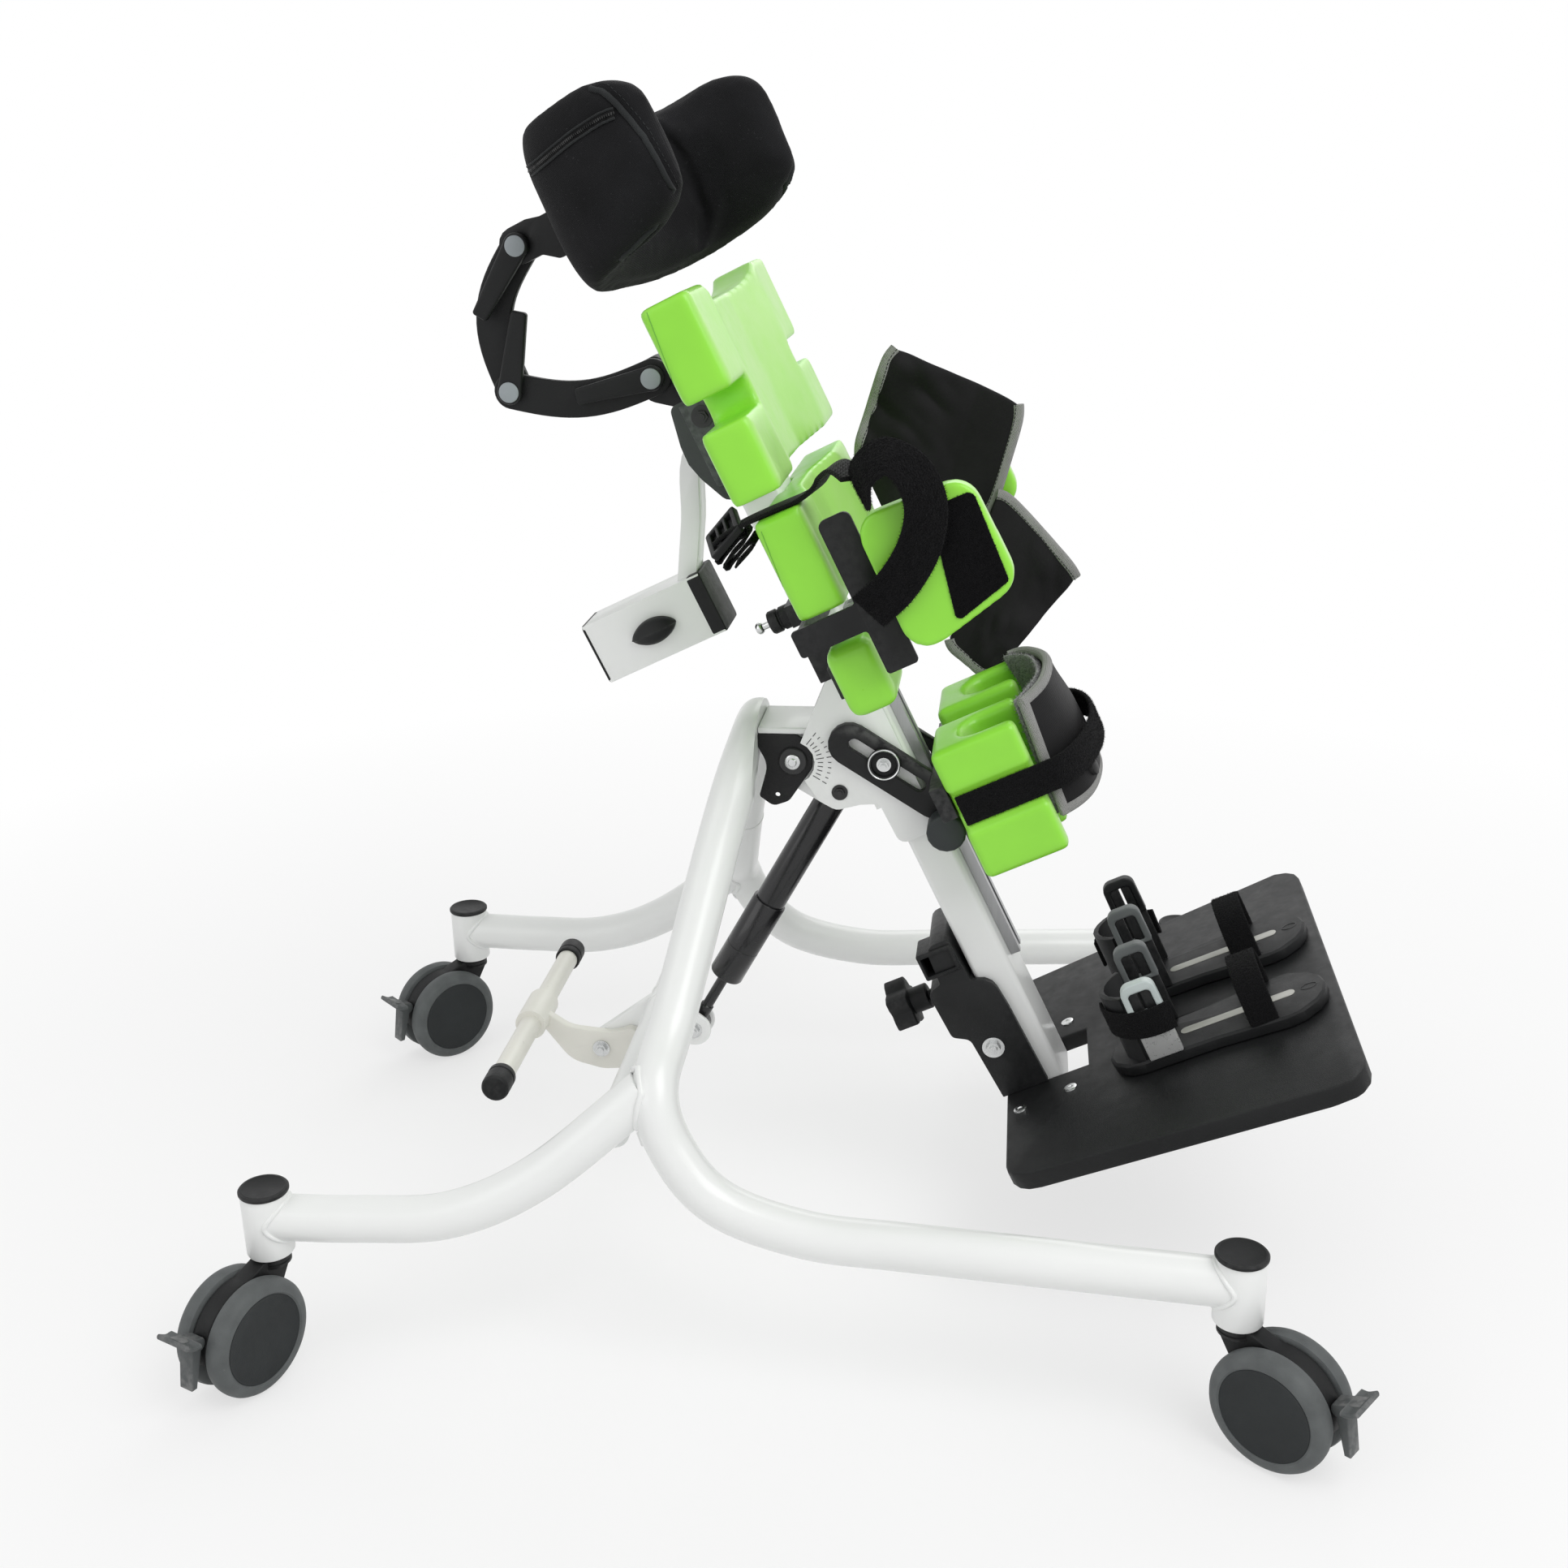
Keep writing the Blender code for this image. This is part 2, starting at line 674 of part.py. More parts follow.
def arch_path():
    """Centre line of the front tube: from stem to stem, up one side, over the arch and down the other."""
    half_way = [ARCH_SHOULDER, ARCH_UPPER, ARCH_MIDDLE, ARCH_LOWER, ARCH_KNEE, ARCH_BEND, ARCH_FOOT,
                (*FRONT_LEG_START, LEG_Z)]
    near = [at_side(p, -1) for p in half_way]
    curve = smooth_path(near[::-1] + [ARCH_TOP] + half_way, 3)
    stem = (WHEELBASE / 2, FRONT_TRACK / 2, LEG_Z)
    return [at_side(stem, -1)] + curve + [stem]


def rear_leg_path(side):
    """Centre line of a rear leg from its stem up to the arch."""
    bend = (*REAR_LEG_BEND, LEG_Z)
    path = smooth_path([bend, REAR_LEG_RISE, REAR_LEG_END], 5)
    return [at_side(p, side) for p in [(-WHEELBASE / 2, REAR_TRACK / 2, LEG_Z)] + path]


def add_stem(body, x, y):
    """Joins a caster stem with its cap onto a leg."""
    middle = (STEM_BOTTOM + STEM_TOP) / 2
    join(body, rod((x, y, middle), STEM_R, STEM_TOP - STEM_BOTTOM, "Z"), root)
    cap = rod((x, y, STEM_TOP + (CAP_H - LAP) / 2), CAP_R, CAP_H + LAP, "Z")
    join(body, cap, root)


frame = piece("base_frame", tube(arch_path(), TUBE_R), root, "white_paint")
flat_reach = 4 * TUBE_R
cut(frame, block((ARCH_FLAT, -flat_reach, ARCH_MIDDLE[2]),
                 (ARCH_FLAT + 4 * TUBE_R, flat_reach, ARCH_TOP[2] + 2 * TUBE_R)))
for label, side in SIDES.items():
    add_stem(frame, WHEELBASE / 2, side * FRONT_TRACK / 2)
    leg = piece("rear_leg_" + label, tube(rear_leg_path(side), TUBE_R), root, "white_paint")
    add_stem(leg, -WHEELBASE / 2, side * REAR_TRACK / 2)
    cut(leg, tube(arch_path(), TUBE_R + GAP))

cross_half = ARCH_KNEE[1]
cross = piece("cross_member", rod((CROSS_TUBE[0], 0, CROSS_TUBE[1]), CROSS_TUBE_R, 2 * cross_half),
              root, "white_paint")
EAR_INNER = EYE_T / 2 + RUNNING
for side in SIDES.values():
    near, far = sorted((side * EAR_INNER, side * (EAR_INNER + EAR_T)))
    join(cross, flat(capsule(CROSS_TUBE, STRUT_EYE, EAR_R), near, far))
pin_half = EAR_INNER + EAR_T - GAP
join(cross, rod((STRUT_EYE[0], 0, STRUT_EYE[1]), BASE_PIN_R, 2 * pin_half))
join(cross, flat(capsule(CROSS_TUBE, PEDAL_PIVOT, PEDAL_LUG_R), 0, PEDAL_LUG_T))
cut(cross, tube(arch_path(), TUBE_R + GAP))
for side in SIDES.values():
    cut(cross, tube(rear_leg_path(side), TUBE_R + GAP))

plate_rear = ARCH_FLAT + GAP - PIVOT_X
pivot = empty("pivot", root, (PIVOT_X, 0, PIVOT_Z))
plate_outline = rounded([
    (plate_rear, PIVOT_PLATE_TOP, EDGE), *PIVOT_PLATE_NOSE, (plate_rear, PIVOT_PLATE_FOOT, CORNER),
    PIVOT_PLATE_WAIST, (plate_rear, PIVOT_PLATE_TOP - PIVOT_PLATE_LIP, CORNER)])
PIVOT_PLATE_OUT = PIVOT_PLATE_IN + PIVOT_PLATE_T
for label, side in SIDES.items():
    span = sorted((side * PIVOT_PLATE_IN, side * PIVOT_PLATE_OUT))
    piece("pivot_plate_" + label, flat(plate_outline, *span, holes=[circle((0, 0), PIN_R + GAP)]), pivot,
          "black_metal")
yoke_low = PIVOT_PLATE_TOP + GAP
yoke = piece("yoke", block((plate_rear, -PIVOT_PLATE_OUT, yoke_low),
                           (YOKE_FRONT - PIVOT_X, PIVOT_PLATE_OUT, yoke_low + YOKE_T)), pivot, "white_paint")
bevel(yoke, YOKE_EDGE)
pin_reach = PIVOT_PLATE_OUT + GAP
turned("pivot_pin", [
    (0, pin_reach + PIN_NUT_H), (PIN_NUT_R, pin_reach + PIN_NUT_H), (PIN_NUT_R, pin_reach),
    (PIN_R, pin_reach), (PIN_R, -pin_reach), (PIN_NUT_R, -pin_reach),
    (PIN_NUT_R, -pin_reach - PIN_NUT_H), (0, -pin_reach - PIN_NUT_H)], pivot, "steel", 20)

# Foot release pedal
pedal = empty("pedal_axis", root, (PEDAL_PIVOT[0], 0, PEDAL_PIVOT[1]))
bar = (PEDAL_BAR[0] - PEDAL_PIVOT[0], PEDAL_BAR[1] - PEDAL_PIVOT[1])
arm_tip = [(bar[0] + u, bar[1] + v, radius) for u, v, radius in PEDAL_ARM_END]
arm_outline = rounded([arm_tip[0], *PEDAL_ARM_TOP, *PEDAL_ARM_UNDER, arm_tip[1]])
foot_pedal = piece("foot_pedal", rod((bar[0], 0, bar[1]), PEDAL_BAR_R, 2 * PEDAL_BAR_HALF),
                   pedal, "white_paint")
join(foot_pedal, flat(arm_outline, -GAP - PEDAL_ARM_T, -GAP))
join(foot_pedal, rod((bar[0], 0, bar[1]), PEDAL_HUB_R, 2 * PEDAL_HUB_HALF))
for side in SIDES.values():
    cap_middle = side * (PEDAL_BAR_HALF - PEDAL_CAP_L / 2 + CAP_H)
    join(foot_pedal, rod((bar[0], cap_middle, bar[1]), PEDAL_CAP_R, PEDAL_CAP_L))
cut(foot_pedal, rod((0, -PEDAL_ARM_T / 2, 0), PEDAL_BOLT_R + PLAY, 3 * PEDAL_ARM_T))
join(cross, rod((PEDAL_PIVOT[0], -PEDAL_ARM_T / 2, PEDAL_PIVOT[1]), PEDAL_BOLT_R, PEDAL_ARM_T + 2 * LAP))

# Casters
axle_z = WHEEL_R * math.cos(math.pi / WHEEL_SIDES)
hub = (TRAIL, axle_z)
brake_hub = (hub[0] + (HOUSING_R + BRAKE_BOSS_R + GAP) * math.cos(BRAKE_ANGLE),
             hub[1] + (HOUSING_R + BRAKE_BOSS_R + GAP) * math.sin(BRAKE_ANGLE))
wheel_profile = [
    (0, WHEEL_HALF - WHEEL_DISH), (WHEEL_R * WHEEL_DISC, WHEEL_HALF - WHEEL_DISH),
    (WHEEL_R * WHEEL_DISC_RIM, WHEEL_HALF), (WHEEL_R - TYRE_SHOULDER, WHEEL_HALF),
    (WHEEL_R, WHEEL_HALF - TYRE_CROWN), (WHEEL_R, WHEEL_INNER), (AXLE_R, WHEEL_INNER)]
wheel_profile = wheel_profile + [(r, -h) for r, h in wheel_profile[::-1]]
housing_outline = (
    [(-NECK_R + NECK_EDGE, STEM_BOTTOM - GAP), (NECK_R - NECK_EDGE, STEM_BOTTOM - GAP)]
    + arc(hub, HOUSING_R, HOUSING_TOP, math.degrees(BRAKE_ANGLE) + HOUSING_END, 9)
    + arc(hub, HOUSING_FOOT_R, *HOUSING_FOOT, 5)
    + [HOUSING_THROAT, (-NECK_R + NECK_EDGE, NECK_BOTTOM)])
brake_outline = arc((0, 0), BRAKE_BOSS_R, *BRAKE_BOSS, 7) + BRAKE_ARM

for label, turn in CASTER_TURN.items():
    side = SIDES[label.split("_")[0]]
    front = label.endswith("front")
    x = WHEELBASE / 2 if front else -WHEELBASE / 2
    y = side * (FRONT_TRACK if front else REAR_TRACK) / 2
    swivel = empty("swivel_" + label, root, (x, y, 0), (0, 0, math.radians(turn)))
    housing = piece("caster_housing_" + label,
                    flat(housing_outline, -HOUSING_HALF, HOUSING_HALF,
                         holes=[circle(hub, AXLE_R + PLAY)]), swivel, "black_plastic")
    neck_middle = (STEM_BOTTOM - GAP + NECK_BOTTOM) / 2
    join(housing, rod((0, 0, neck_middle), NECK_R, STEM_BOTTOM - GAP - NECK_BOTTOM, "Z"))
    axle = empty("axle_" + label, swivel, (hub[0], 0, hub[1]))
    turned("caster_wheels_" + label, wheel_profile, axle, "grey_plastic", WHEEL_SIDES,
           math.pi / WHEEL_SIDES)
    brake_axis = empty("brake_axis_" + label, swivel, (brake_hub[0], 0, brake_hub[1]))
    brake = piece("brake_pedal_" + label, flat(brake_outline, -BRAKE_HALF, BRAKE_HALF), brake_axis,
                  "grey_plastic")
    join(brake, flat(BRAKE_PADDLE, -PADDLE_HALF, PADDLE_HALF))

# Mast, front rail and pivot head, in the mast's frame
tilt_axis = empty("tilt_axis", pivot, (0, 0, 0), (0, -TILT, 0))
mast_axis = empty("mast_axis", tilt_axis, (MAST_DATUM[0], 0, MAST_DATUM[1]))
MAST_FRONT = MAST_REAR + MAST_DEPTH
half = MAST_WIDTH / 2
section = rounded([(MAST_REAR, -half, MAST_EDGE), (MAST_FRONT, -half, MAST_EDGE),
                   (MAST_FRONT, half, MAST_EDGE), (MAST_REAR, half, MAST_EDGE)])
inner_half = half - MAST_WALL
bore = rounded([(MAST_REAR + MAST_WALL, -inner_half, 0.003), (MAST_FRONT - MAST_WALL, -inner_half, 0.003),
                (MAST_FRONT - MAST_WALL, inner_half, 0.003), (MAST_REAR + MAST_WALL, inner_half, 0.003)])
piece("mast", flat(section, MAST_BOTTOM, MAST_TOP, "XY", holes=[bore]), mast_axis, "white_paint")
rail_rear = MAST_FRONT + GAP
rail_section = [
    (rail_rear, -RAIL_WIDTH / 2), (rail_rear + RAIL_DEPTH, -RAIL_WIDTH / 2),
    (rail_rear + RAIL_DEPTH, -RAIL_SLOT / 2), (rail_rear + RAIL_DEPTH / 3, -RAIL_SLOT / 2),
    (rail_rear + RAIL_DEPTH / 3, RAIL_SLOT / 2), (rail_rear + RAIL_DEPTH, RAIL_SLOT / 2),
    (rail_rear + RAIL_DEPTH, RAIL_WIDTH / 2), (rail_rear, RAIL_WIDTH / 2)]
piece("front_rail", flat(rail_section, RAIL_BOTTOM, RAIL_TOP, "XY"), mast_axis, "aluminium", False)

CHEEK_IN = half + GAP
CHEEK_OUT = CHEEK_IN + CHEEK_T
HUB = (-MAST_DATUM[0], -MAST_DATUM[1])
FORK_OUT = PIVOT_PLATE_IN - GAP
fork_front = MAST_REAR - GAP
fork_face = [(fork_front, z, EDGE) for z in FORK_FRONT]
fork_outline = rounded([*FORK_TOP, *fork_face, *FORK_UNDER])
cheek_outline = rounded([(*HUB, 0), *CHEEK_UNDER, *CHEEK_OVER])
bridge_half = CHEEK_OUT - RUNNING
head = piece("pivot_head", block((fork_front - BRIDGE_DEPTH, -bridge_half, BRIDGE_Z[0]),
                                 (fork_front - SUNK, bridge_half, BRIDGE_Z[1])), mast_axis, "white_paint")
for side in SIDES.values():
    join(head, flat(fork_outline, *sorted((side * FORK_IN, side * FORK_OUT))))
    join(head, flat(cheek_outline, *sorted((side * CHEEK_IN, side * CHEEK_OUT))))
    rest = (HUB[0], side * (CHEEK_IN + CHEEK_OUT) / 2, HUB[1])
    cut(head, rod(rest, CHEEK_REST_R, CHEEK_T + RUNNING))
    bolt = (KNEE_BOLT[0], side * (CHEEK_OUT + KNEE_BAR_T / 2), KNEE_BOLT[1])
    join(head, rod(bolt, KNEE_BOLT_R, KNEE_BAR_T + LAP))
join(head, rod((STRUT_PIN[0], 0, STRUT_PIN[1]), STRUT_PIN_R, 2 * FORK_IN + LAP))
cut(head, rod((HUB[0], 0, HUB[1]), PIN_R + PLAY, 2 * FORK_OUT + LAP))

# Gas spring, drawn from the strut pin along the local -Z of its swing axis
pin_arm = Vector((STRUT_PIN[0] + MAST_DATUM[0], 0, STRUT_PIN[1] + MAST_DATUM[1]))
rest_pin = Vector((PIVOT_X, 0, PIVOT_Z)) + Matrix.Rotation(-TILT, 3, "Y") @ pin_arm
reach = Vector((STRUT_EYE[0], 0, STRUT_EYE[1])) - rest_pin
STRUT_LENGTH = reach.length
lean = math.atan2(-reach.x, -reach.z)
swing = empty("strut_axis", mast_axis, (STRUT_PIN[0], 0, STRUT_PIN[1]), (0, TILT + lean, 0))
eye_hole = circle((0, 0), STRUT_PIN_R + PLAY)
cylinder = piece("strut_cylinder", flat(circle((0, 0), TOP_EYE_R), -EYE_T / 2, EYE_T / 2, holes=[eye_hole]),
                 swing, "black_metal")
neck = STRUT_PIN_R + PLAY + EYE_RIM
body_start = TOP_EYE_R + NECK_LENGTH
join(cylinder, rod((0, 0, -(neck + body_start + LAP) / 2), SPRING_NECK_R, body_start + LAP - neck, "Z"))
join(cylinder, rod((0, 0, -(body_start + SLEEVE_START + LAP) / 2), CYLINDER_R,
                   SLEEVE_START + LAP - body_start, "Z", 24))
join(cylinder, rod((0, 0, -(SLEEVE_START + SLEEVE_END) / 2), SLEEVE_R, SLEEVE_END - SLEEVE_START, "Z", 24))
BORE_TOP = SLEEVE_START
cut(cylinder, rod((0, 0, -(BORE_TOP + SLEEVE_END + LAP) / 2), ROD_R + PLAY, SLEEVE_END + LAP - BORE_TOP,
                  "Z"))
slide = empty("rod_axis", swing, (0, 0, -STRUT_LENGTH))
base_eye_hole = circle((0, 0), BASE_PIN_R + STRUT_EYE_PLAY, 20)
strut_rod = piece("strut_rod", flat(circle((0, 0), BASE_EYE_R), -EYE_T / 2, EYE_T / 2, holes=[base_eye_hole]),
                  slide, "steel")
rod_low = BASE_PIN_R + STRUT_EYE_PLAY + EYE_RIM
rod_high = STRUT_LENGTH - SLEEVE_END + ROD_INSIDE
join(strut_rod, rod((0, 0, (rod_low + rod_high) / 2), ROD_R, rod_high - rod_low, "Z"))

# Back pads and the brackets that clamp round the mast


def pad_section(reach, dish, channel, floor):
    """Pad outline across the mast: flat wings, a dished middle and a channel for the mast."""
    return rounded([
        (PAD_REAR, -reach, PAD_EDGE), (PAD_FRONT, -reach, PAD_EDGE), (PAD_FRONT, -DISH_WING * reach, DISH_R),
        (PAD_FRONT - dish, -DISH_FLOOR * reach, DISH_R), (PAD_FRONT - dish, DISH_FLOOR * reach, DISH_R),
        (PAD_FRONT, DISH_WING * reach, DISH_R), (PAD_FRONT, reach, PAD_EDGE), (PAD_REAR, reach, PAD_EDGE),
        (PAD_REAR, channel, 0), (floor, channel, 0), (floor, -channel, 0), (PAD_REAR, -channel, 0)])


trunk_axis = empty("trunk_axis", mast_axis)
trunk_channel = TRUNK_PLATE_Y + CLAMP_T
trunk_floor = MAST_FRONT + GAP + CLAMP_T
trunk_section = pad_section(TRUNK_HALF, TRUNK_DISH, trunk_channel + GAP, trunk_floor + GAP)
trunk_pad = piece("trunk_pad", flat(trunk_section, TRUNK_BOTTOM, TRUNK_TOP, "XY"), trunk_axis, "green_foam")
for side in SIDES.values():
    inner_y, outer_y = side * (TRUNK_HALF - TRUNK_NOTCH_DEPTH), side * (TRUNK_HALF + LAP)
    notch = rounded([(inner_y, TRUNK_NOTCH[0], NOTCH_R), (outer_y, TRUNK_NOTCH[0], 0),
                     (outer_y, TRUNK_NOTCH[1], 0), (inner_y, TRUNK_NOTCH[1], NOTCH_R)])
    cut(trunk_pad, flat(notch, PAD_REAR - LAP, PAD_FRONT + LAP, "YZ"))
bevel(trunk_pad, PAD_BEVEL, 2, 50)

hip_axis = empty("hip_axis", mast_axis)
hip_section = pad_section(HIP_HALF, TRUNK_DISH, half + GAP, MAST_FRONT + GAP)
hip_pad = piece("hip_pad", flat(hip_section, HIP_BOTTOM, HIP_TOP, "XY"), hip_axis, "green_foam")
bevel(hip_pad, PAD_BEVEL, 2, 50)

for label, side in SIDES.items():
    low, high = sorted((side * THIGH_INNER, side * THIGH_OUTER))
    thigh = piece("thigh_pad_" + label, block((PAD_REAR, low, THIGH_BOTTOM), (PAD_FRONT, high, THIGH_TOP)),
                  mast_axis, "green_foam")
    bevel(thigh, THIGH_BEVEL, 3)


def clamp(name, parent, finish, bottom, top, reach):
    """Bracket that grips the mast from behind and spreads under a pad."""
    grip_in = half + GAP
    grip_out = grip_in + CLAMP_T
    beam_front = PAD_REAR - GAP
    outline = [
        (MAST_REAR - GAP - CLAMP_T, -grip_out), (beam_front - CLAMP_T, -grip_out),
        (beam_front - CLAMP_T, -reach), (beam_front, -reach), (beam_front, -grip_in),
        (MAST_REAR - GAP, -grip_in), (MAST_REAR - GAP, grip_in), (beam_front, grip_in), (beam_front, reach),
        (beam_front - CLAMP_T, reach), (beam_front - CLAMP_T, grip_out),
        (MAST_REAR - GAP - CLAMP_T, grip_out)]
    return piece(name, flat(outline, bottom, top, "XY"), parent, finish, False)


grip = half + GAP
grip_out = grip + CLAMP_T
plate_back = trunk_floor - CLAMP_T
half_outline = [
    (TRUNK_WING_REAR, trunk_channel), (TRUNK_WING_REAR, TRUNK_PLATE_Y), (plate_back, TRUNK_PLATE_Y),
    (plate_back, grip_out), (TRUNK_GRIP_REAR, grip_out), (TRUNK_GRIP_REAR, grip), (plate_back, grip)]
trunk_outline = ([(trunk_floor, -trunk_channel), (trunk_floor, trunk_channel)] + half_outline
                 + [(x, -y) for x, y in half_outline[::-1]])
trunk_plate = flat(trunk_outline, *TRUNK_PLATE_Z, "XY")
trunk_bracket = piece("trunk_bracket", trunk_plate, trunk_axis, "dark_grey", False)
wing = rounded(TRUNK_WING)
for side in SIDES.values():
    wing_span = sorted((side * (TRUNK_PLATE_Y + SUNK), side * (trunk_channel - SUNK)))
    join(trunk_bracket, flat(wing, *wing_span))

ARM_IN = HIP_HALF + GAP
arm_rear = PAD_REAR - GAP - CLAMP_T - LAP
arm_high = HIP_BOTTOM - ARM_HIGH_BELOW
hip_bracket = clamp("hip_bracket", hip_axis, "black_metal", ARM_LOW + RUNNING, arm_high - 2 * RUNNING,
                    ARM_IN + ARM_T / 2)
bar_rear = PAD_FRONT + BAR_AHEAD
bar_front = bar_rear + ARM_BAR_W
arm = rounded([
    (arm_rear, ARM_LOW, CORNER), (bar_rear, ARM_LOW, CORNER), (bar_rear, ARM_BAR_LOW, CORNER),
    (bar_front, ARM_BAR_LOW, CORNER), (bar_front, TAB_Z[0], CORNER), (TAB_FRONT, TAB_Z[1], 2 * CORNER),
    (TAB_FRONT, TAB_Z[2], 2 * CORNER), (bar_front, TAB_Z[3], 2 * CORNER),
    (bar_front, ARM_BAR_HIGH, 2 * CORNER), (bar_rear, ARM_BAR_HIGH, 2 * CORNER),
    (bar_rear, arm_high, CORNER), (arm_rear, arm_high, CORNER)])
for side in SIDES.values():
    join(hip_bracket, flat(arm, *sorted((side * ARM_IN, side * (ARM_IN + ARM_T)))))

clamp("thigh_bracket", mast_axis, "black_metal", *THIGH_BAR_Z, THIGH_OUTER - THIGH_BAR_INSET)

panel_outline = rounded(PANEL_CORNERS)
PANEL_Y = ARM_IN + ARM_T + GAP
for label, side in SIDES.items():
    low, high = sorted((side * PANEL_Y, side * (PANEL_Y + PANEL_T)))
    panel = piece("side_panel_" + label, flat(panel_outline, low, high), hip_axis, "green_foam")
    bevel(panel, PANEL_EDGE, 2)


def flap(name, corners, depth, bulge, swing_in, parent):
    """Belt flap: a sheet between four (x, z) corners at a depth, bowed towards the near side."""
    work = bmesh.new()
    bmesh.ops.create_grid(work, x_segments=BELT_STEPS, y_segments=BELT_STEPS, size=0.5)
    for vert in work.verts:
        u, v = vert.co.x + 0.5, vert.co.y + 0.5
        lower = Vector(corners[0]).lerp(Vector(corners[1]), u)
        upper = Vector(corners[3]).lerp(Vector(corners[2]), u)
        place = lower.lerp(upper, v)
        rise = max(0, (u - BELT_FLAT) / (1 - BELT_FLAT))
        fold = BELT_FOLD * (0.5 + 0.5 * math.sin(2.5 * math.pi * v + 3 * u))
        bow = (bulge + fold) * math.sin(math.pi / 2 * rise)
        vert.co = (place.x, depth - bow - swing_in * v, place.y)
    mesh = bpy.data.meshes.new(name)
    work.to_mesh(mesh)
    work.free()
    sheet = piece(name, mesh, parent, "black_fabric")
    shell = sheet.modifiers.new("thickness", "SOLIDIFY")
    shell.thickness = BELT_T
    shell.offset = 0
    return sheet


belt_y = ARM_IN - GAP - BELT_T / 2
flap("belt_upper", BELT_UPPER, belt_y, BELT_UPPER_BOW, 0, hip_axis)
flap("belt_lower", BELT_LOWER, belt_y - BELT_T - GAP, BELT_LOWER_BOW, BELT_LOWER_SWING, hip_axis)

# Loop strap: a curl of hook tape on the near panel
loop_y = -(PANEL_Y + PANEL_T + GAP)
curl = arc(LOOP_CENTRE, LOOP_R, *LOOP_TURN, 14) + smooth_path(LOOP_TAIL, 4)
piece("loop_strap", flat(band(curl, LOOP_T), loop_y - LOOP_WIDTH, loop_y), hip_axis, "black_fabric")

# Head support: clamp, two links, mount and cushion
LINK_IN = HEAD_CLAMP_HALF + GAP
clamp_face = [(MAST_REAR - GAP, z, EDGE) for z in HEAD_CLAMP_FACE]
clamp_outline = rounded([*HEAD_CLAMP_TOP, *clamp_face, *HEAD_CLAMP_UNDER])
clamp_block = flat(clamp_outline, -HEAD_CLAMP_HALF, HEAD_CLAMP_HALF)
head_clamp = piece("head_clamp", clamp_block, mast_axis, "black_metal")
PIN_OUT = LINK_IN + LINK_T + LEVER_T + GAP
join(head_clamp, rod((*HEAD_C[:1], 0, HEAD_C[1]), JOINT_PIN_R, 2 * PIN_OUT))


def bowed(first, second, bow, steps=8):
    """Path between two joints that bows sideways."""
    start, end = Vector(first), Vector(second)
    side = Vector((end.y - start.y, start.x - end.x)).normalized()
    path = []
    for step in range(steps + 1):
        t = step / steps
        path.append(tuple(start.lerp(end, t) + side * bow * math.sin(math.pi * t)))
    return path


def local(path, origin):
    return [(u - origin[0], v - origin[1]) for u, v in path]


def link(name, parent, first, second, bow, layer, pin_span):
    """Bowed link with round ends; it turns on its first joint and carries the pin of its second."""
    path = local(bowed(first, second, bow), first)
    end = path[-1]
    hole = circle((0, 0), JOINT_PIN_R + PLAY)
    body = piece(name, flat(limb(path, LINK_W), *layer, holes=[hole]), parent, "black_metal")
    low, high = pin_span
    join(body, rod((end[0], (low + high) / 2, end[1]), JOINT_PIN_R, high - low))
    return body


LAYER_1 = (-LINK_IN - LINK_T, -LINK_IN)
LAYER_2 = (-LINK_IN + GAP, -LINK_IN + GAP + LINK_T)
neck_axis = empty("head_axis_c", mast_axis, (HEAD_C[0], 0, HEAD_C[1]))
PIN_END = LAYER_1[0] - GAP - LEVER_T
link("head_link_lower", neck_axis, HEAD_C, HEAD_B, LOWER_LINK_BOW, LAYER_1, (PIN_END, LAYER_2[1]))
mid_axis = empty("head_axis_b", neck_axis, (HEAD_B[0] - HEAD_C[0], 0, HEAD_B[1] - HEAD_C[1]))
link("head_link_upper", mid_axis, HEAD_B, HEAD_A, UPPER_LINK_BOW, LAYER_2, (PIN_END, LAYER_2[1] - LINK_T / 2))
top_axis = empty("head_axis_a", mid_axis, (HEAD_A[0] - HEAD_B[0], 0, HEAD_A[1] - HEAD_B[1]))

mount_tip = CUSHION_BACK + CUSHION_T / 2 - HEAD_A[0]


def mount_outline(clearance):
    """Side view of the mount, from its joint into the back of the cushion."""
    bottom = MOUNT_Z[0] - clearance
    top = MOUNT_Z[1] + clearance
    tip = mount_tip + clearance
    rear = LINK_END_R
    neck = rear + MOUNT_NECK
    return rounded([
        (-rear, rear, rear - EDGE), (rear, rear, 2 * CORNER), (neck, top, CORNER), (tip, top, CORNER),
        (tip, bottom, CORNER), (neck, bottom, CORNER), (rear, -rear, 2 * CORNER),
        (-rear, -rear, rear - EDGE)])


piece("head_mount", flat(mount_outline(0), *LAYER_1, holes=[circle((0, 0), JOINT_PIN_R + PLAY)]),
      top_axis, "black_metal")


def cushion_ring(height, swell, fore):
    """One level of the head cushion: a U round the head, as (forward, sideways, up) from its middle."""
    thick = CUSHION_T * swell
    out = CUSHION_HALF * (0.88 + 0.12 * swell)
    tip = CUSHION_DEPTH * fore
    rear = CUSHION_BULGE * (1 - fore)
    wing = [(rear, out * 0.52), (tip * 0.14 + rear, out * 0.90), (tip * 0.5, out), (tip, out * 0.97)]
    outer = [(x, -y) for x, y in wing[::-1]] + [(rear, 0)] + wing
    within = out - thick
    inner = [(tip, within), (tip * 0.55, within), (rear + thick * 1.25, within * 0.76), (rear + thick, 0),
             (rear + thick * 1.25, -within * 0.76), (tip * 0.55, -within), (tip, -within)]
    return [(x, y, height) for x, y in outer + inner]


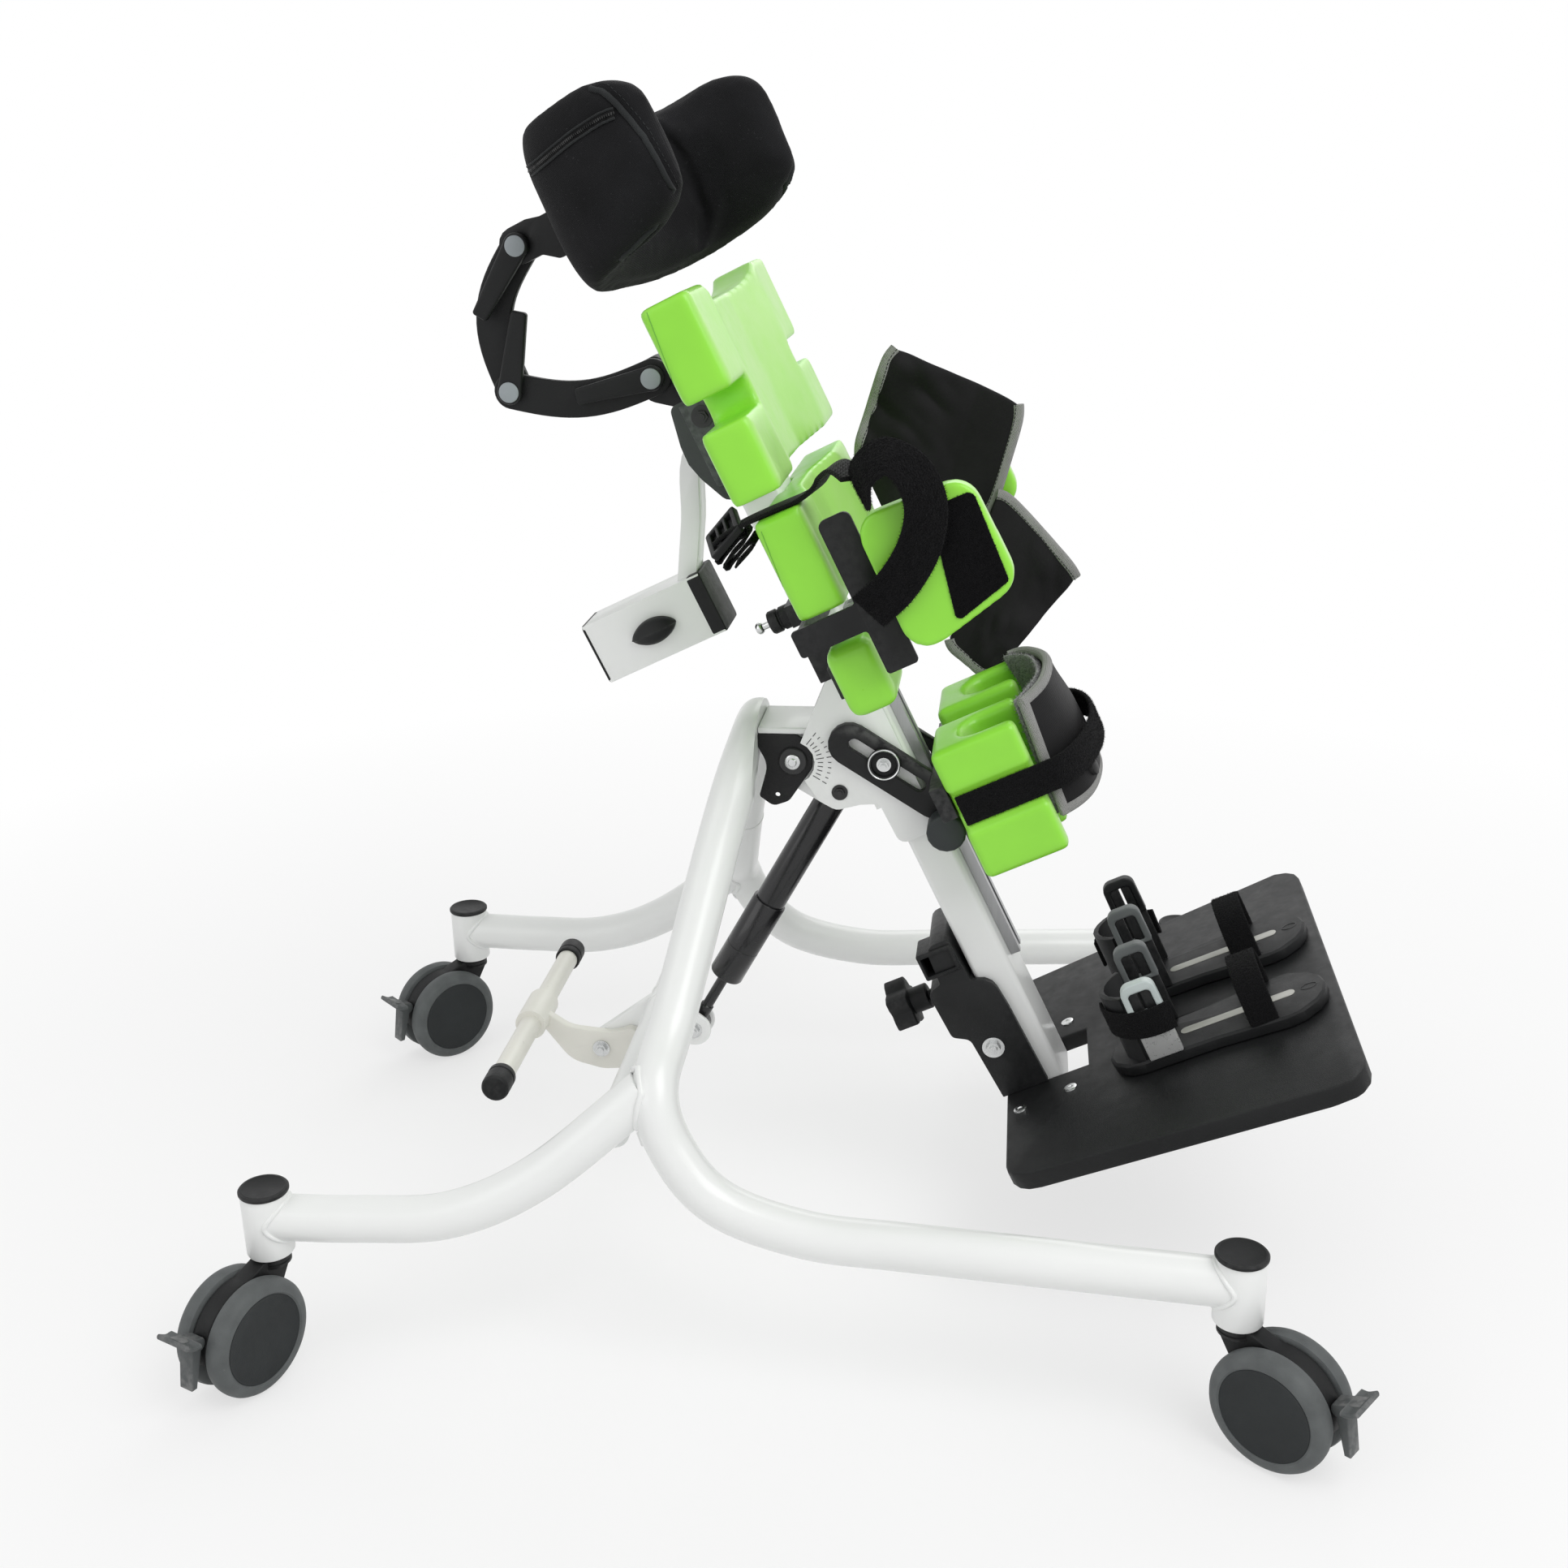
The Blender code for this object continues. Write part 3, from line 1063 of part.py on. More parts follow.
turn = Matrix.Rotation(CUSHION_YAW, 3, "Z") @ Matrix.Rotation(CUSHION_ROLL, 3, "X")
seat = Vector((CUSHION_BACK - HEAD_A[0], 0, CUSHION_Z - HEAD_A[1]))
rings = []
for level, swell, fore in CUSHION_LEVELS:
    ring = cushion_ring(level * CUSHION_HEIGHT, swell, fore)
    rings.append([turn @ Vector(point) + seat for point in ring])
cushion = piece("head_cushion", loft(rings), top_axis, "black_fabric")
subdivide(cushion, 1)
cut(cushion, flat(mount_outline(GAP), LAYER_1[0] - GAP, LAYER_1[1] + GAP))

lever_face = LAYER_1[0] - GAP
for label, axis in {"c": neck_axis, "b": mid_axis, "a": top_axis}.items():
    heading = math.radians(LEVER_HEADING[label])
    tip = (LEVER_LENGTH * math.cos(heading), LEVER_LENGTH * math.sin(heading))
    lever_axis = empty("lever_axis_" + label, axis)
    piece("head_lever_" + label, flat(capsule((0, 0), tip, LEVER_W / 2), lever_face - LEVER_T, lever_face,
                                      holes=[circle((0, 0), JOINT_PIN_R + PLAY)]),
          lever_axis, "black_plastic")

# Socket behind the back, with its arm and knob
socket = piece("socket", block((SOCKET_REAR, -SOCKET_HALF, SOCKET_BOTTOM),
                               (SOCKET_FRONT, SOCKET_HALF, SOCKET_TOP)), mast_axis, "white_paint")
arm_path = smooth_path(SOCKET_ARM, 5)
join(socket, flat(band(arm_path, SOCKET_ARM_T), -SOCKET_ARM_HALF, SOCKET_ARM_HALF))
arm_end = SOCKET_ARM_HALF + LAP
cut(socket, block((MAST_REAR - GAP, -arm_end, SOCKET_ARM_END[0]), (MAST_FRONT, arm_end, SOCKET_ARM_END[1])))
cut(socket, block((SOCKET_REAR - LAP, -SOCKET_HALF + SOCKET_WALL, SOCKET_BOTTOM + SOCKET_WALL),
                  (SOCKET_FRONT - SOCKET_FLOOR, SOCKET_HALF - SOCKET_WALL, SOCKET_TOP - SOCKET_WALL)))
knob_axis = empty("socket_knob_axis", mast_axis, (SOCKET_KNOB[0], -SOCKET_HALF - GAP, SOCKET_KNOB[1]))
oval = capsule((-OVAL_KNOB_REACH, 0), (OVAL_KNOB_REACH, 0), OVAL_KNOB_R)
knob = piece("socket_knob", flat(oval, -OVAL_KNOB_H, 0), knob_axis, "black_plastic")
bevel(knob, KNOB_BEVEL, 2)

# Knee support
knee_axis = empty("knee_axis", mast_axis)
BAR_IN = CHEEK_OUT + GAP
BAR_OUT = BAR_IN + KNEE_BAR_T
bar_run = Vector(KNEE_BAR_LOW) - Vector(KNEE_BAR_TOP)
bar_dir = bar_run.normalized()
slot_from = Vector(KNEE_BOLT) - bar_dir * KNEE_SLOT_ABOVE
slot_to = Vector(KNEE_BOLT) + bar_dir * KNEE_SLOT_BELOW
slot = capsule(tuple(slot_from), tuple(slot_to), KNEE_SLOT_W / 2, 6)
bar_outline = capsule(KNEE_BAR_TOP, KNEE_BAR_LOW, KNEE_BAR_R)
cross_low = KNEE_CROSS[1]
cross_high = KNEE_CROSS[2]
cross_front = KNEE_CROSS[0] + KNEE_CROSS_DEPTH
knee_frame = piece("knee_frame", flat(bar_outline, -BAR_OUT, -BAR_IN, holes=[slot]), knee_axis, "black_metal")
join(knee_frame, flat(bar_outline, BAR_IN, BAR_OUT, holes=[slot]))
cross_reach = KNEE_PAD_Y[1] - KNEE_CROSS_INSET
join(knee_frame, block((KNEE_CROSS[0], -cross_reach, cross_low), (cross_front, cross_reach, cross_high)))
for label, side in SIDES.items():
    low, high = sorted((side * KNEE_PAD_Y[0], side * KNEE_PAD_Y[1]))
    solid = block((KNEE_PAD_REAR, low, KNEE_PAD_Z[0]), (KNEE_PAD_FRONT, high, KNEE_PAD_Z[1]))
    pad = piece("knee_pad_" + label, solid, knee_axis, "green_foam")
    outer_y = side * (KNEE_PAD_Y[1] - KNEE_GROOVE_DEPTH)
    g_low, g_high = sorted((outer_y, side * (KNEE_PAD_Y[1] + LAP)))
    cut(pad, block((KNEE_PAD_REAR - LAP, g_low, KNEE_GROOVE[0]),
                   (KNEE_PAD_FRONT + LAP, g_high, KNEE_GROOVE[1])))
    middle = side * sum(KNEE_PAD_Y) / 2
    left, right = middle - KNEE_TROUGH_HALF, middle + KNEE_TROUGH_HALF
    trough = rounded([
        (KNEE_TROUGH, left, KNEE_TROUGH_R), (KNEE_PAD_FRONT + LAP, left, 0),
        (KNEE_PAD_FRONT + LAP, right, 0), (KNEE_TROUGH, right, KNEE_TROUGH_R)])
    cut(pad, flat(trough, KNEE_PAD_Z[0] - LAP, KNEE_PAD_Z[1] + LAP, "XY"))
    bevel(pad, KNEE_PAD_BEVEL, 1, 60)
strap_y = KNEE_PAD_Y[1] - KNEE_GROOVE_DEPTH + GAP + KNEE_STRAP_T / 2
strap_turn = KNEE_PAD_FRONT + KNEE_STRAP_AHEAD
strap_bow = [(strap_turn + (u - strap_turn) * KNEE_STRAP_BOW, v)
             for u, v in arc((strap_turn, 0), strap_y, -90, 90, 10)]
strap_end = KNEE_PAD_REAR + KNEE_STRAP_INSET
strap_path = [(strap_end, -strap_y), *strap_bow, (strap_end, strap_y)]
strap_low = KNEE_GROOVE[0] + KNEE_STRAP_INSET
strap_high = KNEE_GROOVE[1] - KNEE_STRAP_INSET
knee_webbing = flat(band(strap_path, KNEE_STRAP_T), strap_low, strap_high, "XY")
piece("knee_strap", knee_webbing, knee_axis, "black_fabric")
knee_knob_axis = empty("knee_knob_axis", knee_axis, (KNEE_KNOB[0], -BAR_OUT - GAP, KNEE_KNOB[1]))
knee_knob = piece("knee_knob", rod((0, -KNEE_KNOB_H / 2, 0), KNEE_KNOB_R, KNEE_KNOB_H), knee_knob_axis,
                  "grey_plastic")
bevel(knee_knob, KNEE_KNOB_BEVEL, 2)
join(knee_frame, flat(circle(KNEE_KNOB, KNEE_KNOB_BOSS_R), -BAR_OUT, -BAR_IN))

# Footplate with its bracket, knob and sandals
foot_axis = empty("foot_axis", mast_axis)
footplate = piece("footplate", flat(rounded([
    (PLATE_REAR, -PLATE_REAR_HALF, PLATE_CORNER), (PLATE_FRONT, -PLATE_FRONT_HALF, PLATE_CORNER),
    (PLATE_FRONT, PLATE_FRONT_HALF, PLATE_CORNER), (PLATE_REAR, PLATE_REAR_HALF, PLATE_CORNER)]),
    PLATE_TOP - PLATE_T, PLATE_TOP, "XY"), foot_axis, "black_plastic")
slot_half = half + RUNNING
cut(footplate, block((MAST_REAR - RUNNING, -slot_half, PLATE_TOP - PLATE_T - LAP),
                     (PLATE_SLOT_FRONT, slot_half, PLATE_TOP + LAP)))
bevel(footplate, PLATE_EDGE, 2, 60)

FOOT_LOW = PLATE_TOP + GAP
foot_outline = rounded([*[(x, FOOT_LOW, EDGE) for x in FOOT_BRACKET_BASE], *FOOT_BRACKET_SIDE])
foot_in = half + RUNNING / 2
foot_out = foot_in + FOOT_CHEEK_T
foot_bracket = piece("foot_bracket", flat(foot_outline, -foot_out, foot_out), foot_axis, "black_metal")
cut_z, cut_front = FOOT_BRACKET_CUT
cut(foot_bracket, block((MAST_REAR - RUNNING / 2, -foot_in, cut_z[0]), (cut_front, foot_in, cut_z[1])))
hole_x, hole_length = FOOT_SCREW_HOLE
cut(foot_bracket, rod((hole_x, 0, FOOT_KNOB_Z), FOOT_SCREW_R + PLAY, hole_length, "X"))
foot_knob_axis = empty("foot_knob_axis", foot_axis, (MAST_REAR, 0, FOOT_KNOB_Z))
star = []
star_points = 4 * KNOB_LOBES
for step in range(star_points):
    turn = 2 * math.pi * step / star_points
    reach = FOOT_KNOB_R * (1 - FOOT_KNOB_WAVE + FOOT_KNOB_WAVE * math.cos(KNOB_LOBES * turn))
    star.append((reach * math.cos(turn), reach * math.sin(turn)))
knob_front = FOOT_KNOB_REAR + FOOT_KNOB_T
foot_knob = piece("foot_knob", flat(star, FOOT_KNOB_REAR, knob_front, "YZ"), foot_knob_axis, "black_plastic")
bevel(foot_knob, KNOB_BEVEL, 2, 50)
boss_middle = knob_front + (FOOT_KNOB_BOSS_L - LAP) / 2
join(foot_knob, rod((boss_middle, 0, 0), FOOT_KNOB_BOSS_R, FOOT_KNOB_BOSS_L + LAP, "X"))
screw_rear = knob_front + FOOT_KNOB_BOSS_L - LAP
join(foot_knob, rod(((screw_rear - RUNNING) / 2, 0, 0), FOOT_SCREW_R, -screw_rear - RUNNING, "X"))

for label, side in SIDES.items():
    middle = side * SANDAL_Y
    toe = arc((SANDAL_FRONT - SANDAL_HALF, middle), SANDAL_HALF, -90, 90, 8)
    heel = arc((SANDAL_REAR + HEEL_R, middle), HEEL_R, 90, 270, 6)
    waist_x, waist = SANDAL_WAIST
    waist_y = SANDAL_HALF * waist
    sole_shape = toe + [(waist_x, middle + waist_y)] + heel + [(waist_x, middle - waist_y)]
    low = PLATE_TOP + GAP
    sandal = piece("sandal_" + label, flat(sole_shape, low, low + SANDAL_T, "XY"), foot_axis, "black_plastic")
    bevel(sandal, SANDAL_BEVEL, 1, 60)
    cup_centre = (SANDAL_REAR + HEEL_CUP_X, middle)
    cup = band(arc(cup_centre, HEEL_CUP_R - HEEL_CUP_T / 2, *HEEL_CUP_TURN, 8), HEEL_CUP_T)
    join(sandal, flat(cup, low + SANDAL_T - LAP, low + SANDAL_T + HEEL_CUP_H, "XY"))
    strap_low = low + SANDAL_T + GAP
    spread = SANDAL_HALF - LAP
    over = []
    for step in range(13):
        t = math.pi * step / 12
        over.append((middle + spread * math.cos(t), strap_low + STRAP_RISE * math.sin(t) ** 0.7))
    piece("toe_strap_" + label, flat(band(over, STRAP_T), STRAP_X, STRAP_X + STRAP_W, "YZ"), foot_axis,
          "black_fabric")


def footprint():
    """Lowest and highest X and Y of every sub-part."""
    bpy.context.view_layer.update()
    graph = bpy.context.evaluated_depsgraph_get()
    corners = []
    for body in parts.objects:
        if body.type == "EMPTY":
            continue
        shape = body.evaluated_get(graph)
        corners += [shape.matrix_world @ Vector(corner) for corner in shape.bound_box]
    spans = [(min(c[k] for c in corners), max(c[k] for c in corners)) for k in range(2)]
    return spans


# The origin is the middle of the footprint on the floor
spans = footprint()
root.location = (-sum(spans[0]) / 2, -sum(spans[1]) / 2, 0)
bpy.context.view_layer.update()
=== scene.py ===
"""Looks of the pediatric standing frame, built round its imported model.

Metres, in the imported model's frame. Pieces on the mast are drawn in the mast's own frame, as in the part:
X forward and square to the mast, Z up along it, with its datum close to the tilt axis. near is -Y, far +Y.
"""

import json
import math

import bmesh
import bpy
from mathutils import Matrix, Vector, noise
from mathutils.bvhtree import BVHTree
from mathutils.kdtree import KDTree


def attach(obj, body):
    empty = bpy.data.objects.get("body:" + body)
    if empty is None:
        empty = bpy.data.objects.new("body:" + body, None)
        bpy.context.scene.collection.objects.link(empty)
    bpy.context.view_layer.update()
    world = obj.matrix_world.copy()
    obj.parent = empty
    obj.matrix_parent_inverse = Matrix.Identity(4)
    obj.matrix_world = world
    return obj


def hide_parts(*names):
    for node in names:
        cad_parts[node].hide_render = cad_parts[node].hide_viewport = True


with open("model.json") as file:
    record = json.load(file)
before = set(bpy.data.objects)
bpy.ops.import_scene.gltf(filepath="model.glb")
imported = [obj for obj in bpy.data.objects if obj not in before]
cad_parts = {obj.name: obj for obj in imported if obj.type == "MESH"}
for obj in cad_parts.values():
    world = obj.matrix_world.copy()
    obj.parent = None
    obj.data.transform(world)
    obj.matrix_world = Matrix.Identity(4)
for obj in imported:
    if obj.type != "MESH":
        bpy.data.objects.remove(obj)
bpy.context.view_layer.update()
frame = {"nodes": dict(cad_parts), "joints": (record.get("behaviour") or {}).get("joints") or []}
NODES = frame["nodes"]
JOINTS = {joint["name"]: joint for joint in frame["joints"]}
SIDES = {"near": -1, "far": 1}

# Frames the pieces are drawn in
TILT = math.radians(25)
PIVOT = Vector(JOINTS["mast_tilt"]["pos_m"])
PART_PIVOT = Vector((0.021, 0, 0.4505))
BASE = Matrix.Translation(PIVOT - PART_PIVOT)
PIVOT_FRAME = Matrix.Translation(PIVOT)
MAST = PIVOT_FRAME @ Matrix.Rotation(-TILT, 4, "Y") @ Matrix.Translation((0.0058, 0, 0.0056))
STRUT_DOWN = Vector(JOINTS["rod_slide"]["axis"])
STRUT_PIN = Vector(JOINTS["strut_swing"]["pos_m"])
STRUT = Matrix.Translation(STRUT_PIN) @ Matrix.Rotation(math.atan2(-STRUT_DOWN.x, -STRUT_DOWN.z), 4, "Y")
STRUT_LENGTH = 0.28526
PEDAL = Matrix.Translation(Vector(JOINTS["pedal_press"]["pos_m"]))
MAST_TURN = (0, TILT, 0)
TO_NEAR = Matrix.Rotation(math.pi / 2, 4, "X")     # lay the axis of a turned profile across the frame
TO_FAR = Matrix.Rotation(-math.pi / 2, 4, "X")

# Base sizes
TUBE_R = 0.019
LEG_Z = 0.134
STEM_R = 0.0195
STEM_Z = (0.102, 0.158)
CAP_R = 0.0205
ARCH = [(-0.014, 0, 0.474), (-0.016, 0.030, 0.467), (-0.026, 0.062, 0.436), (-0.040, 0.098, 0.382),
        (-0.063, 0.182, 0.277), (-0.070, 0.236, 0.238), (-0.054, 0.254, 0.194), (-0.015, 0.266, 0.155),
        (0.055, 0.274, 0.1355), (0.130, 0.281, 0.134)]
ARCH_FLAT = -0.0095
FRONT_STEM = (0.388, 0.305)
REAR_STEM = (-0.388, 0.287)
REAR_LEG = [(-0.310, 0.283, 0.134), (-0.235, 0.277, 0.139), (-0.163, 0.262, 0.170), (-0.078, 0.236, 0.237)]
CROSS_TUBE = (-0.108, 0.198)
CROSS_TUBE_R = 0.015
STRUT_EYE = (-0.080, 0.177)
PEDAL_LUG = (-0.170, 0.152)
PEDAL_BAR = (-0.063, 0.029)
CASTER_TURN = {"near_rear": 246.2, "near_front": -35.5, "far_rear": 227.7, "far_front": 35.0}
WHEEL_R = 0.0493
AXLE = (0.040, 0.049384)
BRAKE_HUB = (0.088486, 0.068974)

# Mast sizes
MAST_X = (0.053, 0.088)
MAST_Z = (-0.384, 0.338)
MAST_HALF = 0.033
CHEEK_OUT = 0.0383
PIN_IN_MAST = (0.0202, -0.0464)
KNEE_BOLT = (0.068, -0.036)
BAR_OUT = 0.0461
PANEL_FACE = 0.1876
HEAD_JOINTS = {"c": (0.031, 0.335), "b": (-0.0815, 0.376), "a": (-0.0205, 0.475)}
LEVER_HEADING = {"c": 168, "b": 54, "a": -147}
LEVER_FACE = -0.0206
PLATE_TOP = -0.3704
SANDAL_Y = 0.062
SANDAL_TOP = PLATE_TOP + 0.0123

# Fineness of the meshes and of the cushion's simulation
SIM_FRAMES = 20
TUBE_SIDES = 40
BAR_SIDES = 36
WHEEL_SIDES = 72
WELD = 1e-5

# The photograph's camera
CAMERA_AT = (0.199305, -1.482190, 0.948712)
CAMERA_TURN = [math.radians(a) for a in (19.493, -7.715, -1.320)]
FOCAL_PX = 2211.0
PHOTO_PX = 1932
SENSOR = 36.0


# Finishes

def nodes_of(name):
    """New material with its node tree and its Principled shader."""
    material = bpy.data.materials.new(name)
    material.use_nodes = True
    return material, material.node_tree, material.node_tree.nodes["Principled BSDF"]


def add(tree, kind, inputs=None, **settings):
    """Node with its settings and the values or links of its inputs."""
    node = tree.nodes.new(kind)
    for key, value in settings.items():
        setattr(node, key, value)
    for key, value in (inputs or {}).items():
        socket = node.inputs[key]
        if isinstance(value, bpy.types.NodeSocket):
            tree.links.new(value, socket)
        else:
            socket.default_value = value
    return node


def object_place(tree, scale=(1, 1, 1), turn=(0, 0, 0)):
    """Object coordinates, turned and stretched for a pattern."""
    where = add(tree, "ShaderNodeTexCoord")
    return add(tree, "ShaderNodeMapping", {"Vector": where.outputs["Object"], "Rotation": turn,
                                           "Scale": scale}).outputs["Vector"]


def blotches(tree, place, scale, detail=3.0, roughness=0.55):
    return add(tree, "ShaderNodeTexNoise", {"Vector": place, "Scale": scale, "Detail": detail,
                                            "Roughness": roughness}).outputs["Fac"]


def ramp(tree, value, low, high, start=0.0, end=1.0):
    """Value taken from one span to another, without leaving it."""
    spans = {"Value": value, "From Min": low, "From Max": high, "To Min": start, "To Max": end}
    return add(tree, "ShaderNodeMapRange", spans).outputs["Result"]


def counted(tree, operation, first, second):
    """Value that a Math node makes of two others."""
    return add(tree, "ShaderNodeMath", {0: first, 1: second}, operation=operation).outputs[0]


def mixed(tree, share, first, second):
    """Colour between two colours."""
    node = add(tree, "ShaderNodeMix", data_type="RGBA")
    for socket, value in ((node.inputs[0], share), (node.inputs[6], first), (node.inputs[7], second)):
        if isinstance(value, bpy.types.NodeSocket):
            tree.links.new(value, socket)
        else:
            socket.default_value = (*value, 1) if isinstance(value, tuple) else value
    return node.outputs[2]


def shade(colour, factor):
    return tuple(min(1.0, part * factor) for part in colour)


def bumped(tree, shader, height, strength, distance):
    """Gives a shader the relief of a height."""
    bump = add(tree, "ShaderNodeBump", {"Height": height, "Strength": strength, "Distance": distance})
    tree.links.new(bump.outputs["Normal"], shader.inputs["Normal"])


def set_inputs(shader, **values):
    """Plain values of a shader's inputs."""
    for label, value in values.items():
        shader.inputs[label.replace("_", " ")].default_value = value


GRAIN_DEPTH = 0.0006


def surface(name, colour, roughness, metallic=0.0, tint=0.07, tint_scale=30.0, grain=0.0, grain_scale=900.0,
            spread=0.07, wear=None, specks=None, coat=0.0, specular=0.5, painted_sheen=None, turn=(0, 0, 0),
            stretch=(1, 1, 1)):
    """Painted, moulded or metal finish: mottled colour, uneven gloss, fine grain, worn edges, specks and a
    painted sheen on forward faces.
    """
    material, tree, shader = nodes_of(name)
    place = object_place(tree, stretch, turn)
    mottle = ramp(tree, blotches(tree, place, tint_scale), 0.3, 0.7)
    base = mixed(tree, mottle, shade(colour, 1 - tint), shade(colour, 1 + tint))
    if specks:
        speck_colour, amount, speck_scale = specks
        dots = ramp(tree, blotches(tree, place, speck_scale, 2.0, 0.7), 0.74 - amount, 0.80 - amount)
        patches = ramp(tree, blotches(tree, place, speck_scale * 0.07, 2.0), 0.45, 0.65)
        base = mixed(tree, counted(tree, "MULTIPLY", dots, patches), base, speck_colour)
    # Painted sheen: where the named point attribute marks forward faces, the colour is mixed in soft clouds
    # toward a paler one, standing in for light reflected off them.
    if painted_sheen:
        pale, mark = painted_sheen
        cloud = ramp(tree, blotches(tree, place, 14.0, 4.0), 0.25, 0.65, 0.35, 0.75)
        painted_sheen_share = add(tree, "ShaderNodeAttribute", attribute_name=mark).outputs["Fac"]
        base = mixed(tree, counted(tree, "MULTIPLY", painted_sheen_share, cloud), base, pale)
    if wear:
        edge = ramp(tree, add(tree, "ShaderNodeNewGeometry").outputs["Pointiness"], 0.53, 0.62)
        patches = ramp(tree, blotches(tree, place, 160.0), 0.35, 0.6)
        base = mixed(tree, counted(tree, "MULTIPLY", edge, patches), base, wear)
    tree.links.new(base, shader.inputs["Base Color"])
    gloss = ramp(tree, blotches(tree, place, tint_scale * 4, 4.0, 0.65), 0.25, 0.75,
                 max(0.02, roughness - spread), min(1.0, roughness + spread))
    tree.links.new(gloss, shader.inputs["Roughness"])
    set_inputs(shader, Metallic=metallic, Coat_Weight=coat, Coat_Roughness=0.12, Specular_IOR_Level=specular)
    if grain:
        bumped(tree, shader, blotches(tree, place, grain_scale, 2.0, 0.6), grain, GRAIN_DEPTH)
    return material


def woven(name, colour, pitch, strength, sheen, roughness=0.85, tint=0.25, lint=None):
    """Cloth of crossing threads along the mast, with creases of colour and some lint."""
    material, tree, shader = nodes_of(name)
    place = object_place(tree, (1, 1, 1), MAST_TURN)
    wave = {"Vector": place, "Scale": 0.314 / pitch, "Distortion": 0.6, "Detail": 1.0, "Detail Scale": 2.0}
    warp, weft = [add(tree, "ShaderNodeTexWave", wave, bands_direction=axis).outputs["Fac"]
                  for axis in ("X", "Z")]
    threads = counted(tree, "MULTIPLY", warp, weft)
    creases = ramp(tree, blotches(tree, place, 22.0, 5.0), 0.3, 0.75)
    base = mixed(tree, creases, shade(colour, 1 - tint), shade(colour, 1 + 2 * tint))
    base = mixed(tree, ramp(tree, threads, 0.0, 0.9, 0.35, 0.0), base, shade(colour, 0.45))
    if lint:
        dust = ramp(tree, blotches(tree, place, 320.0, 2.0, 0.8), 0.66, 0.72, 0.0, 0.5)
        base = mixed(tree, dust, base, lint)
    tree.links.new(base, shader.inputs["Base Color"])
    set_inputs(shader, Roughness=roughness, Sheen_Weight=sheen, Sheen_Roughness=0.5, Specular_IOR_Level=0.14)
    fine = blotches(tree, place, 0.35 / pitch, 2.0)
    bumped(tree, shader, counted(tree, "ADD", threads, fine), strength, pitch)
    return material


PILE_TINT = 0.4
PILE_DEPTH = 0.0012


def fuzzy(name, colour, scale, sheen):
    """Looped or brushed pile: hook patches, loop tape, fleece."""
    material, tree, shader = nodes_of(name)
    place = object_place(tree)
    pile = blotches(tree, place, scale, 4.0, 0.75)
    tufts = add(tree, "ShaderNodeTexVoronoi", {"Vector": place, "Scale": scale * 0.8}).outputs["Distance"]
    base = mixed(tree, ramp(tree, pile, 0.35, 0.7), shade(colour, 1 - PILE_TINT),
                 shade(colour, 1 + 1.6 * PILE_TINT))
    tree.links.new(base, shader.inputs["Base Color"])
    set_inputs(shader, Roughness=1.0, Specular_IOR_Level=0.05, Sheen_Weight=sheen, Sheen_Roughness=0.6)
    bumped(tree, shader, counted(tree, "SUBTRACT", pile, tufts), 0.9, PILE_DEPTH)
    return material


